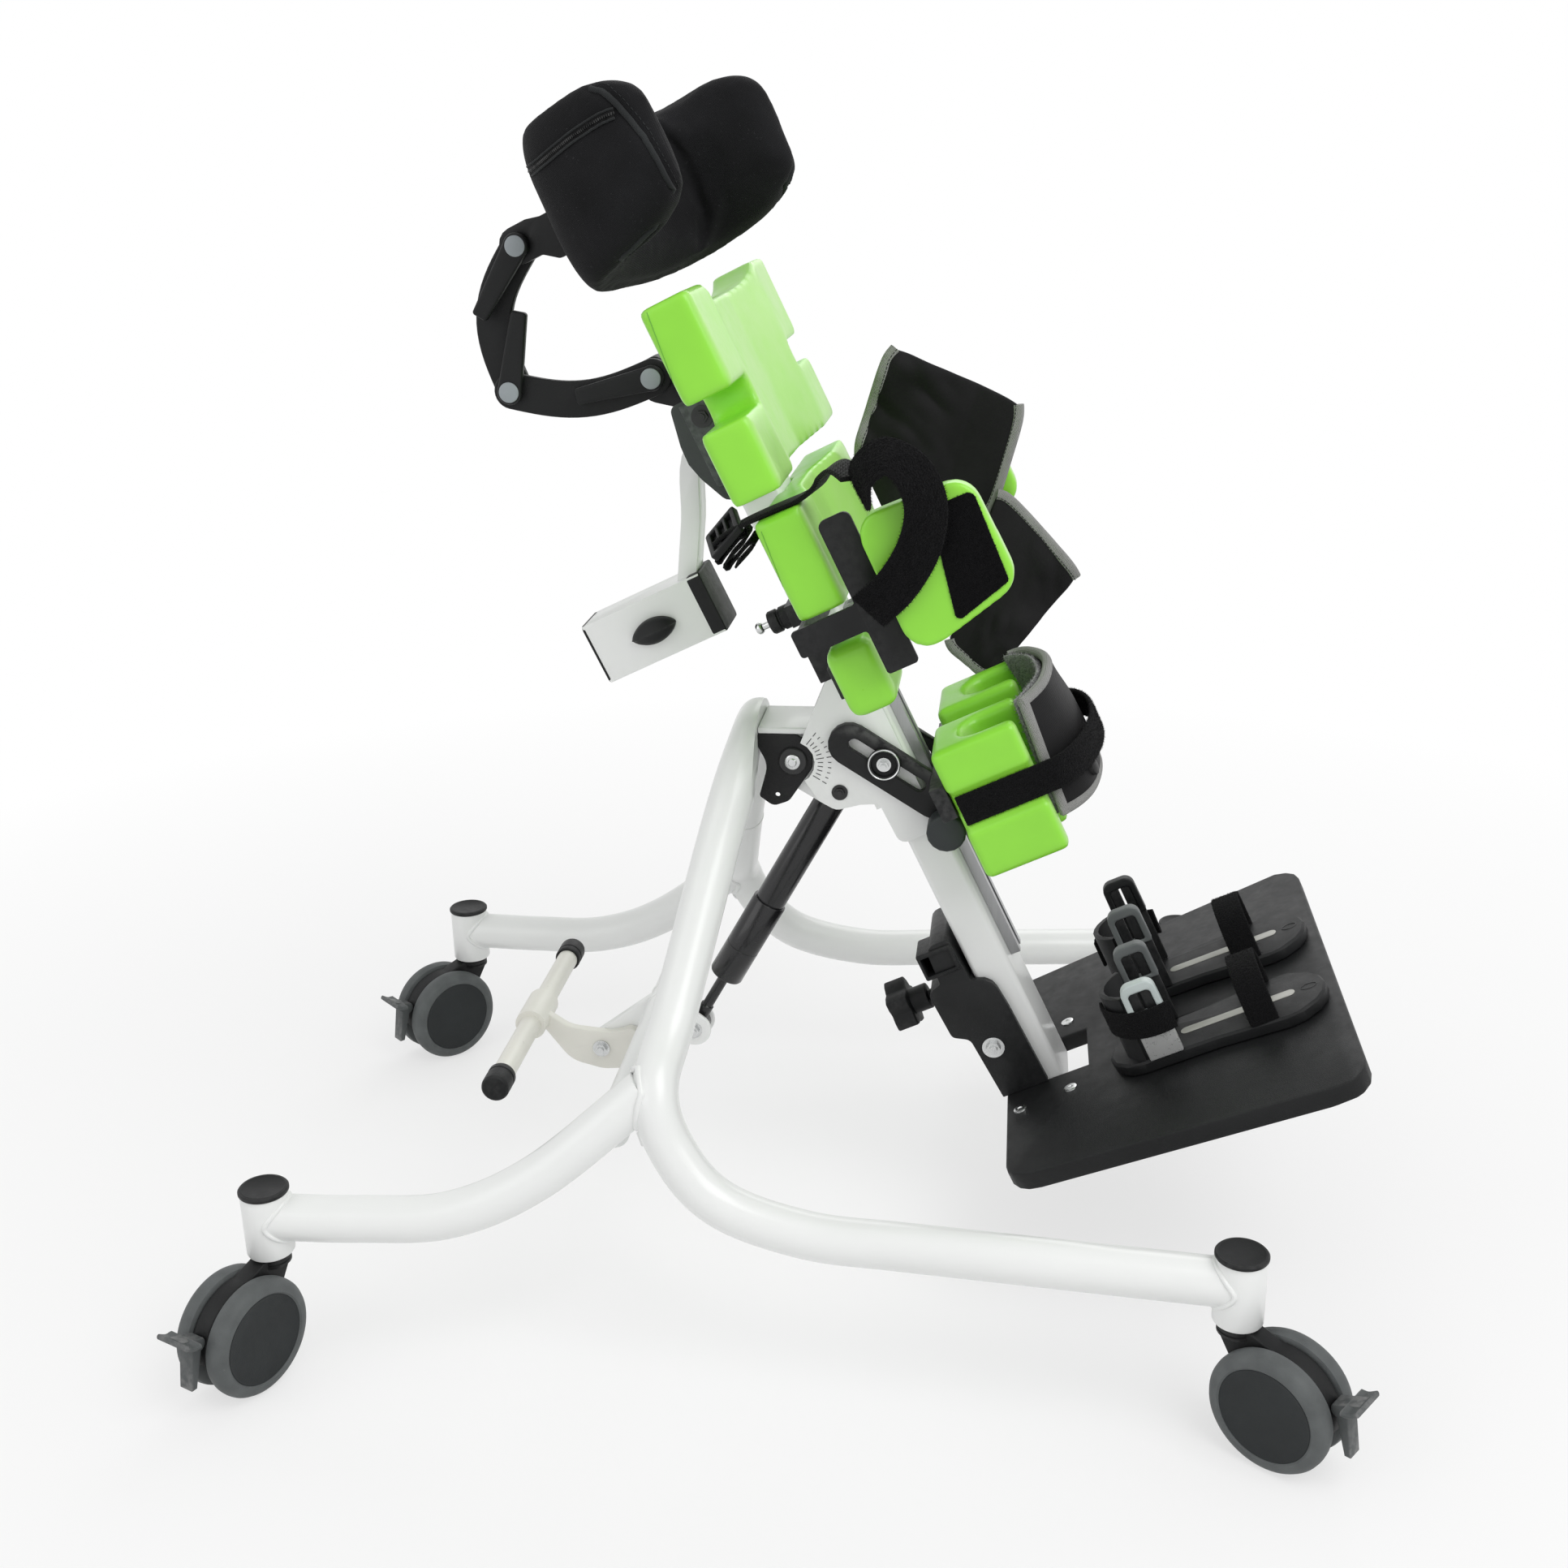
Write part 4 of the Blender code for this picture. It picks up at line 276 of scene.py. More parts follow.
FINISH = {
    "white": surface("white_paint", (0.86, 0.87, 0.86), 0.30, tint=0.012, tint_scale=9.0, grain=0.05,
                     grain_scale=520.0, spread=0.02, coat=0.2),
    "cream": surface("worn_white_paint", (0.78, 0.77, 0.71), 0.36, tint=0.04, tint_scale=16.0, grain=0.10,
                     grain_scale=480.0, specks=((0.40, 0.37, 0.32), 0.02, 260.0)),
    "black_metal": surface("black_painted_metal", (0.011, 0.0115, 0.012), 0.44, tint=0.18, grain=0.18,
                           grain_scale=1100.0, wear=(0.07, 0.07, 0.07), specular=0.24),
    "black_grain": surface("black_granular_coat", (0.010, 0.010, 0.0105), 0.52, tint=0.2, grain=0.85,
                           grain_scale=620.0, wear=(0.07, 0.07, 0.07), specular=0.28),
    "black_gloss": surface("black_gas_spring", (0.008, 0.008, 0.009), 0.24, tint=0.15, grain=0.05,
                           grain_scale=300.0, coat=0.15, specks=((0.05, 0.05, 0.05), 0.0, 420.0),
                           specular=0.42),
    "dark_grey": surface("dark_grey_plate", (0.045, 0.050, 0.050), 0.46, tint=0.12, grain=0.25,
                         grain_scale=900.0, wear=(0.14, 0.15, 0.15), specular=0.3),
    "knob_grey": surface("dark_grey_plastic", (0.036, 0.041, 0.043), 0.50, tint=0.12, grain=0.3,
                         grain_scale=1300.0, specular=0.3),
    "black_plastic": surface("black_moulded_plastic", (0.009, 0.0095, 0.010), 0.46, tint=0.2, grain=0.35,
                             grain_scale=1500.0, wear=(0.05, 0.05, 0.05), specular=0.22),
    "plate": surface("black_footplate_board", (0.0105, 0.011, 0.0115), 0.48, tint=0.25, tint_scale=14.0,
                     grain=0.4, grain_scale=1300.0, specks=((0.07, 0.07, 0.07), 0.0, 330.0), spread=0.09,
                     specular=0.22),
    "tyre": surface("grey_tyre", (0.105, 0.113, 0.114), 0.58, tint=0.14, tint_scale=60.0, grain=0.35,
                    grain_scale=700.0, specks=((0.20, 0.20, 0.19), 0.03, 300.0), specular=0.3),
    "disc": surface("dark_wheel_disc", (0.014, 0.017, 0.018), 0.52, tint=0.16, grain=0.4, grain_scale=1200.0,
                    specks=((0.08, 0.085, 0.085), 0.0, 300.0), specular=0.3),
    "brake_grey": surface("grey_brake_plastic", (0.085, 0.092, 0.093), 0.52, tint=0.12, grain=0.3,
                          grain_scale=1000.0, wear=(0.2, 0.2, 0.2), specular=0.3),
    "cap_grey": surface("grey_joint_cap", (0.30, 0.33, 0.35), 0.42, tint=0.06, grain=0.15,
                        grain_scale=1200.0),
    "clip_light": surface("light_grey_clip", (0.50, 0.56, 0.55), 0.36, tint=0.06, grain=0.15),
    "clip_grey": surface("grey_clip", (0.12, 0.13, 0.13), 0.46, tint=0.1, grain=0.2, specular=0.3),
    "track": surface("pale_slot_track", (0.46, 0.46, 0.42), 0.40, tint=0.08, tint_scale=60.0, grain=0.1),
    "steel": surface("bright_steel", (0.62, 0.63, 0.63), 0.26, metallic=1.0, tint=0.08, tint_scale=120.0,
                     grain=0.08, grain_scale=700.0),
    "bright_block": surface("bright_heel_block", (0.74, 0.75, 0.74), 0.30, metallic=0.6, tint=0.04,
                            tint_scale=60.0, grain=0.04),
    "dark_steel": surface("black_oxide_steel", (0.045, 0.045, 0.046), 0.38, metallic=0.5, tint=0.1, grain=0.1,
                          specular=0.3),
    "rail": surface("grey_rail_aluminium", (0.40, 0.40, 0.41), 0.36, metallic=0.85, tint=0.06, turn=MAST_TURN,
                    stretch=(30, 30, 1), tint_scale=12.0),
    "tick": surface("dark_tick_mark", (0.03, 0.03, 0.032), 0.6, tint=0.1),
    # The second, paler green below is a painted sheen for the pads' forward faces.
    "green": surface("green_moulded_foam", (0.285, 0.735, 0.052), 0.34, tint=0.05, tint_scale=12.0,
                     grain=0.10, grain_scale=420.0, coat=0.12, specks=((0.16, 0.30, 0.04), -0.01, 260.0),
                     specular=0.4, painted_sheen=((0.47, 0.78, 0.25), "front")),
    "seam": surface("green_mould_seam", (0.13, 0.40, 0.03), 0.5, tint=0.1),
    "neoprene": woven("black_cushion_cover", (0.0085, 0.0085, 0.0095), 0.0011, 0.35, sheen=0.03, tint=0.35,
                      lint=(0.035, 0.035, 0.038)),
    "piping": woven("dark_grey_piping", (0.026, 0.028, 0.029), 0.0009, 0.4, sheen=0.06),
    "nylon": woven("black_nylon", (0.0080, 0.0078, 0.0084), 0.0008, 0.30, sheen=0.02, roughness=0.58,
                   tint=0.3),
    "webbing": woven("black_webbing", (0.0075, 0.0075, 0.008), 0.0016, 0.6, sheen=0.03, roughness=0.7),
    "binding": woven("grey_binding_tape", (0.34, 0.34, 0.33), 0.0012, 0.7, sheen=0.1, tint=0.10),
    "pile": fuzzy("black_loop_tape", (0.0065, 0.0065, 0.007), 900.0, sheen=0.04),
    "hook": fuzzy("black_hook_patch", (0.0055, 0.0055, 0.006), 1300.0, sheen=0.03),
    "fleece": fuzzy("grey_fleece", (0.26, 0.26, 0.265), 620.0, sheen=0.25),
}


# Mesh making

def new_mesh(work, name):
    mesh = bpy.data.meshes.new(name)
    work.to_mesh(mesh)
    work.free()
    return mesh


def closed_mesh(work, name):
    """Mesh of a closed form with its faces turned outward."""
    bmesh.ops.recalc_face_normals(work, faces=work.faces)
    return new_mesh(work, name)


def bridged(work, rows, closed=False):
    """Faces between rows of points, each row a closed loop."""
    size = len(rows[0])
    for low, high in list(zip(rows, rows[1:])) + ([(rows[-1], rows[0])] if closed else []):
        for k in range(size):
            after = (k + 1) % size
            work.faces.new((low[k], low[after], high[after], high[k]))


def skin_tree(mesh):
    """Search tree over a mesh's faces."""
    work = bmesh.new()
    work.from_mesh(mesh)
    tree = BVHTree.FromBMesh(work)
    work.free()
    return tree


def smooth_path(points, steps):
    """Catmull-Rom curve through points of any dimension."""
    knots = [Vector(p) for p in points]
    knots = [2 * knots[0] - knots[1]] + knots + [2 * knots[-1] - knots[-2]]
    path = []
    for k in range(1, len(knots) - 2):
        a, b, c, d = knots[k - 1:k + 3]
        for step in range(steps):
            t = step / steps
            path.append(0.5 * (2 * b + (c - a) * t + (2 * a - 5 * b + 4 * c - d) * t * t
                               + (3 * b - a - 3 * c + d) * t ** 3))
    path.append(knots[-2])
    return path


def ring(radius, sides):
    """Round section as (u, v) points."""
    turns = [2 * math.pi * k / sides for k in range(sides)]
    return [(radius * math.cos(t), radius * math.sin(t)) for t in turns]


def strip(width, thickness, steps=4):
    """Section of a strap with rounded edges."""
    radius = thickness / 2
    section = []
    for centre, start in ((width / 2 - radius, -90), (-width / 2 + radius, 90)):
        for k in range(steps + 1):
            t = math.radians(start + 180 * k / steps)
            section.append((centre + radius * math.cos(t), radius * math.sin(t)))
    return section


def sweep(path, section, across=None, closed=False):
    """Skin over a section carried along a path. across fixes the way the section's u axis points."""
    path = [Vector(p) for p in path]
    count = len(path)
    work = bmesh.new()
    rows = []
    side = None
    for k, here in enumerate(path):
        ahead = path[(k + 1) % count] if closed or k < count - 1 else here
        behind = path[k - 1] if closed or k else here
        along = (ahead - behind).normalized()
        if across is not None:
            side = Vector(across[k] if isinstance(across, list) else across)
        elif side is None:
            side = along.orthogonal()
        side = (side - along * side.dot(along)).normalized()
        up = along.cross(side)
        rows.append([work.verts.new(here + side * u + up * v) for u, v in section])
    bridged(work, rows, closed)
    if not closed:
        work.faces.new(rows[0][::-1])
        work.faces.new(rows[-1])
    return closed_mesh(work, "sweep")


def turn_profile(points, sides=48):
    """Solid of revolution about Z from (radius, height) points that start and end on the axis."""
    work = bmesh.new()
    rows = []
    for radius, height in points:
        if radius < 1e-6:
            rows.append([work.verts.new((0, 0, height))])
        else:
            rows.append([work.verts.new((u, v, height)) for u, v in ring(radius, sides)])
    for low, high in zip(rows, rows[1:]):
        for k in range(sides):
            after = (k + 1) % sides
            if len(low) == 1:
                work.faces.new((low[0], high[after], high[k]))
            elif len(high) == 1:
                work.faces.new((low[k], low[after], high[0]))
            else:
                work.faces.new((low[k], low[after], high[after], high[k]))
    return closed_mesh(work, "turned")


def drum(radius, low, high, sides=24):
    """Plain round bar along Z."""
    return turn_profile([(0, low), (radius, low), (radius, high), (0, high)], sides)


def crossbar(spot, stations, radius):
    """Round bar across the frame at (x, z), through stations in y."""
    return sweep([(spot[0], y, spot[1]) for y in stations], ring(radius, BAR_SIDES))


def evaluated(holder):
    """Plain mesh of an object with its modifiers; the object is removed."""
    graph = bpy.context.evaluated_depsgraph_get()
    mesh = bpy.data.meshes.new_from_object(holder.evaluated_get(graph), depsgraph=graph)
    bpy.data.objects.remove(holder)
    return mesh


def hold(data, name="holder"):
    """Object that carries data while modifiers work on it."""
    holder = bpy.data.objects.new(name, data)
    bpy.context.scene.collection.objects.link(holder)
    return holder


def joined(mesh, outward=False):
    """Merges the loose corners of a mesh."""
    work = bmesh.new()
    work.from_mesh(mesh)
    bmesh.ops.remove_doubles(work, verts=work.verts, dist=WELD)
    if outward:
        bmesh.ops.recalc_face_normals(work, faces=work.faces)
    work.to_mesh(mesh)
    work.free()
    return mesh


PLANES = {
    "XY": Matrix.Identity(4),
    "XZ": Matrix.Rotation(math.pi / 2, 4, "X"),
    "YZ": Matrix(((0, 0, 1, 0), (1, 0, 0, 0), (0, 1, 0, 0), (0, 0, 0, 1))),
}


def slab(outline, low, high, plane="XZ", holes=(), edge=0.0006, steps=2):
    """Flat piece: an outline filled between two heights, with its edges rounded."""
    curve = bpy.data.curves.new("outline", "CURVE")
    curve.dimensions = "2D"
    curve.fill_mode = "BOTH"
    curve.extrude = (high - low) / 2 - edge
    curve.bevel_depth = edge
    curve.bevel_resolution = steps
    curve.offset = -edge
    for loop in (outline, *holes):
        spline = curve.splines.new("POLY")
        spline.points.add(len(loop) - 1)
        spline.use_cyclic_u = True
        for point, place in zip(spline.points, loop):
            point.co = (place[0], place[1], 0, 1)
    mesh = joined(evaluated(hold(curve)), outward=True)
    middle = (low + high) / 2
    shift = {"XY": (0, 0, middle), "XZ": (0, middle, 0), "YZ": (middle, 0, 0)}[plane]
    mesh.transform(Matrix.Translation(shift) @ PLANES[plane])
    return mesh


def arc(centre, radius, start, end, steps):
    turns = [math.radians(start + (end - start) * k / steps) for k in range(steps + 1)]
    return [(centre[0] + radius * math.cos(t), centre[1] + radius * math.sin(t)) for t in turns]


def capsule(first, second, radius, steps=14):
    """Outline of a bar with round ends."""
    heading = math.degrees(math.atan2(second[1] - first[1], second[0] - first[0]))
    return (arc(second, radius, heading - 90, heading + 90, steps)
            + arc(first, radius, heading + 90, heading + 270, steps))


def rounded(points, step=12):
    """Outline through (u, v, radius) corners, each corner turned into an arc."""
    outline = []
    count = len(points)
    for index, (u, v, radius) in enumerate(points):
        here = Vector((u, v))
        back = (Vector(points[index - 1][:2]) - here).normalized()
        ahead = (Vector(points[(index + 1) % count][:2]) - here).normalized()
        corner = back.angle(ahead)
        if radius == 0 or corner > math.pi - 0.01:
            outline.append((u, v))
            continue
        centre = here + (back + ahead).normalized() * radius / math.sin(corner / 2)
        start = here + back * radius / math.tan(corner / 2) - centre
        sweep_angle = math.pi - corner
        turn = math.copysign(1, back.y * ahead.x - back.x * ahead.y)
        steps = max(3, math.ceil(math.degrees(sweep_angle) / step))
        for k in range(steps + 1):
            outline.append(tuple(centre + Matrix.Rotation(turn * sweep_angle * k / steps, 2) @ start))
    return outline


def rectangle(across, tall, radius):
    """Outline of a rectangle with round corners, from its spans in u and v."""
    corners = [(across[0], tall[0]), (across[1], tall[0]), (across[1], tall[1]), (across[0], tall[1])]
    return rounded([(u, v, radius) for u, v in corners])


def inset(span, by):
    return (span[0] + by, span[1] - by)


def box(low, high, edge=0.001, steps=3):
    """Block with rounded edges."""
    work = bmesh.new()
    bmesh.ops.create_cube(work, size=1)
    bmesh.ops.scale(work, vec=[b - a for a, b in zip(low, high)], verts=work.verts)
    bmesh.ops.translate(work, vec=[(a + b) / 2 for a, b in zip(low, high)], verts=work.verts)
    bmesh.ops.bevel(work, geom=work.edges[:], offset=edge, segments=steps, profile=0.5, affect="EDGES")
    return new_mesh(work, "box")


def moved(mesh, matrix):
    mesh.transform(matrix)
    return mesh


def merge(*meshes):
    """One mesh out of several, which are used up."""
    work = bmesh.new()
    for mesh in meshes:
        work.from_mesh(mesh)
        bpy.data.meshes.remove(mesh)
    return new_mesh(work, "merged")


def cut(mesh, tool):
    """Takes a tool mesh out of a mesh."""
    holder, cutter = hold(mesh), hold(tool)
    step = holder.modifiers.new("cut", "BOOLEAN")
    step.operation = "DIFFERENCE"
    step.object = cutter
    result = evaluated(holder)
    bpy.data.objects.remove(cutter)
    return result


def copy_of(node):
    """Merged copy of a CAD node's mesh."""
    mesh = NODES[node].data.copy()
    mesh.materials.clear()
    return joined(mesh)


HARD_EDGE = math.radians(38)
FLAT_ENOUGH = math.radians(1.5)


def softened(node, width):
    """Copy of a CAD node with its hard edges rounded."""
    mesh = copy_of(node)
    work = bmesh.new()
    work.from_mesh(mesh)
    bmesh.ops.dissolve_limit(work, angle_limit=FLAT_ENOUGH, verts=work.verts, edges=work.edges)
    work.to_mesh(mesh)
    work.free()
    holder = hold(mesh)
    step = holder.modifiers.new("edges", "BEVEL")
    step.width = width
    step.segments = 2
    step.limit_method = "ANGLE"
    step.angle_limit = HARD_EDGE
    step.miter_outer = "MITER_ARC"
    return evaluated(holder)


def piece(name, mesh, finish, body, stands_for=(), place=None, smooth=38):
    """Named piece in its place, with its finish, riding on a body."""
    if place is not None:
        mesh.transform(place)
    mesh.name = name
    mesh.materials.clear()
    mesh.materials.append(FINISH[finish])
    mesh.shade_smooth()
    mesh.set_sharp_from_angle(angle=math.radians(smooth))
    thing = hold(mesh, name)
    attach(thing, body)
    if stands_for:
        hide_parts(*([stands_for] if isinstance(stands_for, str) else stands_for))
    return thing


# Geometry Nodes trees for what repeats

def new_tree(name, sockets):
    """Geometry tree with named inputs; returns the tree, its group input and output, and the identifiers."""
    tree = bpy.data.node_groups.new(name, "GeometryNodeTree")
    tree.interface.new_socket("Geometry", in_out="INPUT", socket_type="NodeSocketGeometry")
    found = {}
    for label, kind, value in sockets:
        socket = tree.interface.new_socket(label, in_out="INPUT", socket_type=kind)
        if value is not None:
            socket.default_value = value
        found[label] = socket.identifier
    tree.interface.new_socket("Geometry", in_out="OUTPUT", socket_type="NodeSocketGeometry")
    return tree, tree.nodes.new("NodeGroupInput"), tree.nodes.new("NodeGroupOutput"), found


def end_tree(tree, source, exit_node, geometry):
    """Realizes the instances, gives them their finish and ends the tree."""
    real = add(tree, "GeometryNodeRealizeInstances", {"Geometry": geometry})
    dress = {"Geometry": real.outputs[0], "Material": source.outputs["Finish"]}
    tree.links.new(add(tree, "GeometryNodeSetMaterial", dress).outputs[0], exit_node.inputs[0])


def read_mark(tree, name, kind):
    """Value of a named attribute of the points."""
    return add(tree, "GeometryNodeInputNamedAttribute", {"Name": name}, data_type=kind).outputs["Attribute"]


def turned_to(tree, way, **settings):
    """Rotation that takes Z to a direction."""
    return add(tree, "FunctionNodeAlignRotationToVector", {"Vector": way}, axis="Z", **settings).outputs[0]


def spread_on(tree, points, shape, turn, **more):
    """Instances of a shape on points."""
    inputs = {"Points": points, "Instance": shape, "Rotation": turn, **more}
    return add(tree, "GeometryNodeInstanceOnPoints", inputs).outputs[0]


# Drums of a fastener: sides, the input that sizes it and a share of that, tallness and lift as shares of
# its height
FASTENER_DRUMS = ((32, "Washer radius", 1.0, 0.25, 0.12), (6, "Nut radius", 1.0, 0.75, 0.5),
                  (16, "Nut radius", 0.55, 0.4, 1.0))


def fastener_tree():
    """Round washer, hex nut and bolt end at each point, standing along the point's axis."""
    tree, source, exit_node, found = new_tree("fasteners", [
        ("Washer radius", "NodeSocketFloat", 0.01), ("Nut radius", "NodeSocketFloat", 0.007),
        ("Height", "NodeSocketFloat", 0.005), ("Finish", "NodeSocketMaterial", None)])
    shapes = add(tree, "GeometryNodeJoinGeometry")
    height = source.outputs["Height"]
    for sides, radius, share, tall, rise in FASTENER_DRUMS:
        width = counted(tree, "MULTIPLY", source.outputs[radius], share)
        depth = counted(tree, "MULTIPLY", height, tall)
        lift = counted(tree, "MULTIPLY", height, rise)
        shape = add(tree, "GeometryNodeMeshCylinder", {"Vertices": sides, "Radius": width, "Depth": depth})
        up = add(tree, "ShaderNodeCombineXYZ", {"Z": lift}).outputs[0]
        placed = add(tree, "GeometryNodeTransform", {"Geometry": shape.outputs["Mesh"], "Translation": up})
        tree.links.new(placed.outputs[0], shapes.inputs[0])
    turn = turned_to(tree, read_mark(tree, "axis", "FLOAT_VECTOR"))
    spread = spread_on(tree, source.outputs["Geometry"], shapes.outputs[0], turn,
                       Scale=read_mark(tree, "size", "FLOAT"))
    end_tree(tree, source, exit_node, spread)
    return tree, found


def thread_tree():
    """Short stitches or teeth at an even pitch along the input's edges."""
    tree, source, exit_node, found = new_tree("stitches", [
        ("Pitch", "NodeSocketFloat", 0.004), ("Length", "NodeSocketFloat", 0.0026),
        ("Radius", "NodeSocketFloat", 0.0005), ("Finish", "NodeSocketMaterial", None)])
    line = add(tree, "GeometryNodeMeshToCurve", {"Mesh": source.outputs["Geometry"]})
    spacing = {"Curve": line.outputs[0], "Length": source.outputs["Pitch"]}
    dots = add(tree, "GeometryNodeResampleCurve", spacing, mode="LENGTH")
    thread = add(tree, "GeometryNodeMeshCylinder", {"Vertices": 6, "Radius": source.outputs["Radius"],
                                                    "Depth": source.outputs["Length"]})
    turn = turned_to(tree, add(tree, "GeometryNodeInputTangent").outputs[0])
    end_tree(tree, source, exit_node, spread_on(tree, dots.outputs[0], thread.outputs["Mesh"], turn))
    return tree, found


PILE_LEAN = 0.9


def pile_tree():
    """Short hairs scattered over the input's faces."""
    tree, source, exit_node, found = new_tree("pile", [
        ("Density", "NodeSocketFloat", 400000.0), ("Length", "NodeSocketFloat", 0.002),
        ("Radius", "NodeSocketFloat", 0.0002), ("Seed", "NodeSocketInt", 3),
        ("Finish", "NodeSocketMaterial", None)])
    skin, seed = source.outputs["Geometry"], source.outputs["Seed"]
    dots = add(tree, "GeometryNodeDistributePointsOnFaces", {
        "Mesh": skin, "Density": source.outputs["Density"], "Seed": seed})
    hair = add(tree, "GeometryNodeMeshCone", {
        "Vertices": 3, "Radius Top": 0.0, "Radius Bottom": source.outputs["Radius"],
        "Depth": source.outputs["Length"]}, fill_type="NONE")
    lean = add(tree, "FunctionNodeRandomValue", {"Seed": seed}, data_type="FLOAT_VECTOR")
    lean.inputs[0].default_value = (-PILE_LEAN, -PILE_LEAN, -PILE_LEAN)
    lean.inputs[1].default_value = (PILE_LEAN, PILE_LEAN, PILE_LEAN)
    way = add(tree, "ShaderNodeVectorMath", {0: dots.outputs["Normal"], 1: lean.outputs[0]}, operation="ADD")
    turn = turned_to(tree, way.outputs[0])
    spread = spread_on(tree, dots.outputs["Points"], hair.outputs["Mesh"], turn)
    both = add(tree, "GeometryNodeJoinGeometry")
    tree.links.new(skin, both.inputs[0])
    tree.links.new(spread, both.inputs[0])
    end_tree(tree, source, exit_node, both.outputs[0])
    return tree, found


def tick_tree():
    """Flat tick along each point's axis, as long as the point's size says."""
    tree, source, exit_node, found = new_tree("ticks", [
        ("Width", "NodeSocketFloat", 0.0006), ("Depth", "NodeSocketFloat", 0.0004),
        ("Finish", "NodeSocketMaterial", None)])
    width, depth = source.outputs["Width"], source.outputs["Depth"]
    sides = add(tree, "ShaderNodeCombineXYZ", {"X": width, "Y": depth, "Z": 1.0})
    bar = add(tree, "GeometryNodeMeshCube", {"Size": sides.outputs[0]})
    turn = turned_to(tree, read_mark(tree, "axis", "FLOAT_VECTOR"), pivot_axis="Y")
    long = add(tree, "ShaderNodeCombineXYZ", {"X": 1.0, "Y": 1.0, "Z": read_mark(tree, "size", "FLOAT")})
    spread = spread_on(tree, source.outputs["Geometry"], bar.outputs["Mesh"], turn, Scale=long.outputs[0])
    end_tree(tree, source, exit_node, spread)
    return tree, found


TREES = {"fasteners": fastener_tree(), "stitches": thread_tree(), "pile": pile_tree(), "ticks": tick_tree()}


def grown(mesh, tree_name, finish, **values):
    """Mesh that a tree makes from an input mesh."""
    tree, found = TREES[tree_name]
    holder = hold(mesh)
    step = holder.modifiers.new(tree_name, "NODES")
    step.node_group = tree
    for label, value in values.items():
        step[found[label.replace("_", " ").capitalize()]] = value
    step[found["Finish"]] = FINISH[finish]
    return evaluated(holder)


def line_mesh(points):
    """Edges through points, for a tree that follows a line."""
    mesh = bpy.data.meshes.new("line")
    mesh.from_pydata([tuple(p) for p in points], [(k, k + 1) for k in range(len(points) - 1)], [])
    return mesh


def marked_points(spots, place):
    """Loose points that carry an axis and a size: spots are (point, axis, size) in the frame of place."""
    mesh = bpy.data.meshes.new("spots")
    mesh.from_pydata([tuple(place @ Vector(point)) for point, _, _ in spots], [], [])
    mesh.attributes.new("axis", "FLOAT_VECTOR", "POINT")
    mesh.attributes.new("size", "FLOAT", "POINT")
    for k, (_, way, scale) in enumerate(spots):
        mesh.attributes["axis"].data[k].vector = place.to_3x3() @ Vector(way)
        mesh.attributes["size"].data[k].value = scale
    return mesh


def fasteners(name, body, spots, place, finish="steel", washer=0.010, nut=0.007, height=0.005):
    """Bolts on a body."""
    made = grown(marked_points(spots, place), "fasteners", finish, washer_radius=washer, nut_radius=nut,
                 height=height)
    return piece(name, joined(made), finish, body)


# Base

def at_side(point, side):
    return Vector((point[0], side * point[1], point[2]))


arch_half = ARCH[1:]
arch = smooth_path([at_side(p, -1) for p in arch_half[::-1]] + [Vector(ARCH[0])]
                   + [Vector(p) for p in arch_half], 10)
front_stem = Vector((*FRONT_STEM, LEG_Z))
arch = [at_side(front_stem, -1)] + arch + [front_stem]
arch_mesh = sweep(arch, ring(TUBE_R, TUBE_SIDES))
arch_mesh = cut(arch_mesh, box((ARCH_FLAT, -0.076, 0.382), (ARCH_FLAT + 0.076, 0.076, 0.512), 0.001))


def stem(x, y):
    """Caster stem with a rolled lower rim."""
    bottom, top = STEM_Z
    outline = [(0, bottom), (STEM_R - 0.003, bottom), (STEM_R - 0.0008, bottom + 0.0006),
               (STEM_R, bottom + 0.002), (STEM_R, top - 0.001), (STEM_R - 0.0006, top), (0, top)]
    return moved(turn_profile(outline), Matrix.Translation((x, y, 0)))


BEAD_STEPS = 48
BEAD_REACH = 0.07


def weld_bead(target, centre, heading, radius, thick=0.0022):
    """Ring of weld where a tube of some radius meets the target mesh."""
    tree = skin_tree(target)
    heading = Vector(heading).normalized()
    side = heading.orthogonal().normalized()
    up = heading.cross(side)
    loop = []
    for k in range(BEAD_STEPS):
        t = 2 * math.pi * k / BEAD_STEPS
        start = Vector(centre) + (side * math.cos(t) + up * math.sin(t)) * radius - heading * BEAD_REACH
        hit = tree.ray_cast(start, heading, 2 * BEAD_REACH)[0]
        if hit is not None:
            loop.append(hit)
    return sweep(loop, ring(thick, 10), closed=True)


beads, stems = [], []
for side in SIDES.values():
    leg_end = at_side(front_stem, side)
    stems.append(stem(leg_end.x, leg_end.y))
    beads.append(weld_bead(stems[-1], leg_end, leg_end - at_side(ARCH[-1], side), TUBE_R))
for label, side in SIDES.items():
    path = [at_side(p, side) for p in smooth_path([(*REAR_STEM, LEG_Z)] + REAR_LEG, 14)]
    leg = sweep(path, ring(TUBE_R, TUBE_SIDES))
    beads.append(weld_bead(arch_mesh, path[-1], path[-1] - path[-3], TUBE_R, 0.003))
    rear_stem = stem(REAR_STEM[0], side * REAR_STEM[1])
    bead = weld_bead(rear_stem, path[0], path[0] - path[1], TUBE_R)
    piece("rear_leg_tube_" + label, merge(leg, rear_stem, bead), "white", "base", "rear_leg_" + label,
          BASE)
    cross_end = (CROSS_TUBE[0], side * 0.20, CROSS_TUBE[1])
    beads.append(weld_bead(arch_mesh, cross_end, (0.28, side, 0), CROSS_TUBE_R, 0.0025))
SEAM_Y = 0.128
seam_spot = next(k for k, p in enumerate(arch) if p.y > SEAM_Y)
seam_way = (arch[seam_spot + 1] - arch[seam_spot - 1]).normalized()
seam_ring = sweep([arch[seam_spot], arch[seam_spot] + seam_way * 0.0016], ring(TUBE_R + 0.0005, TUBE_SIDES))
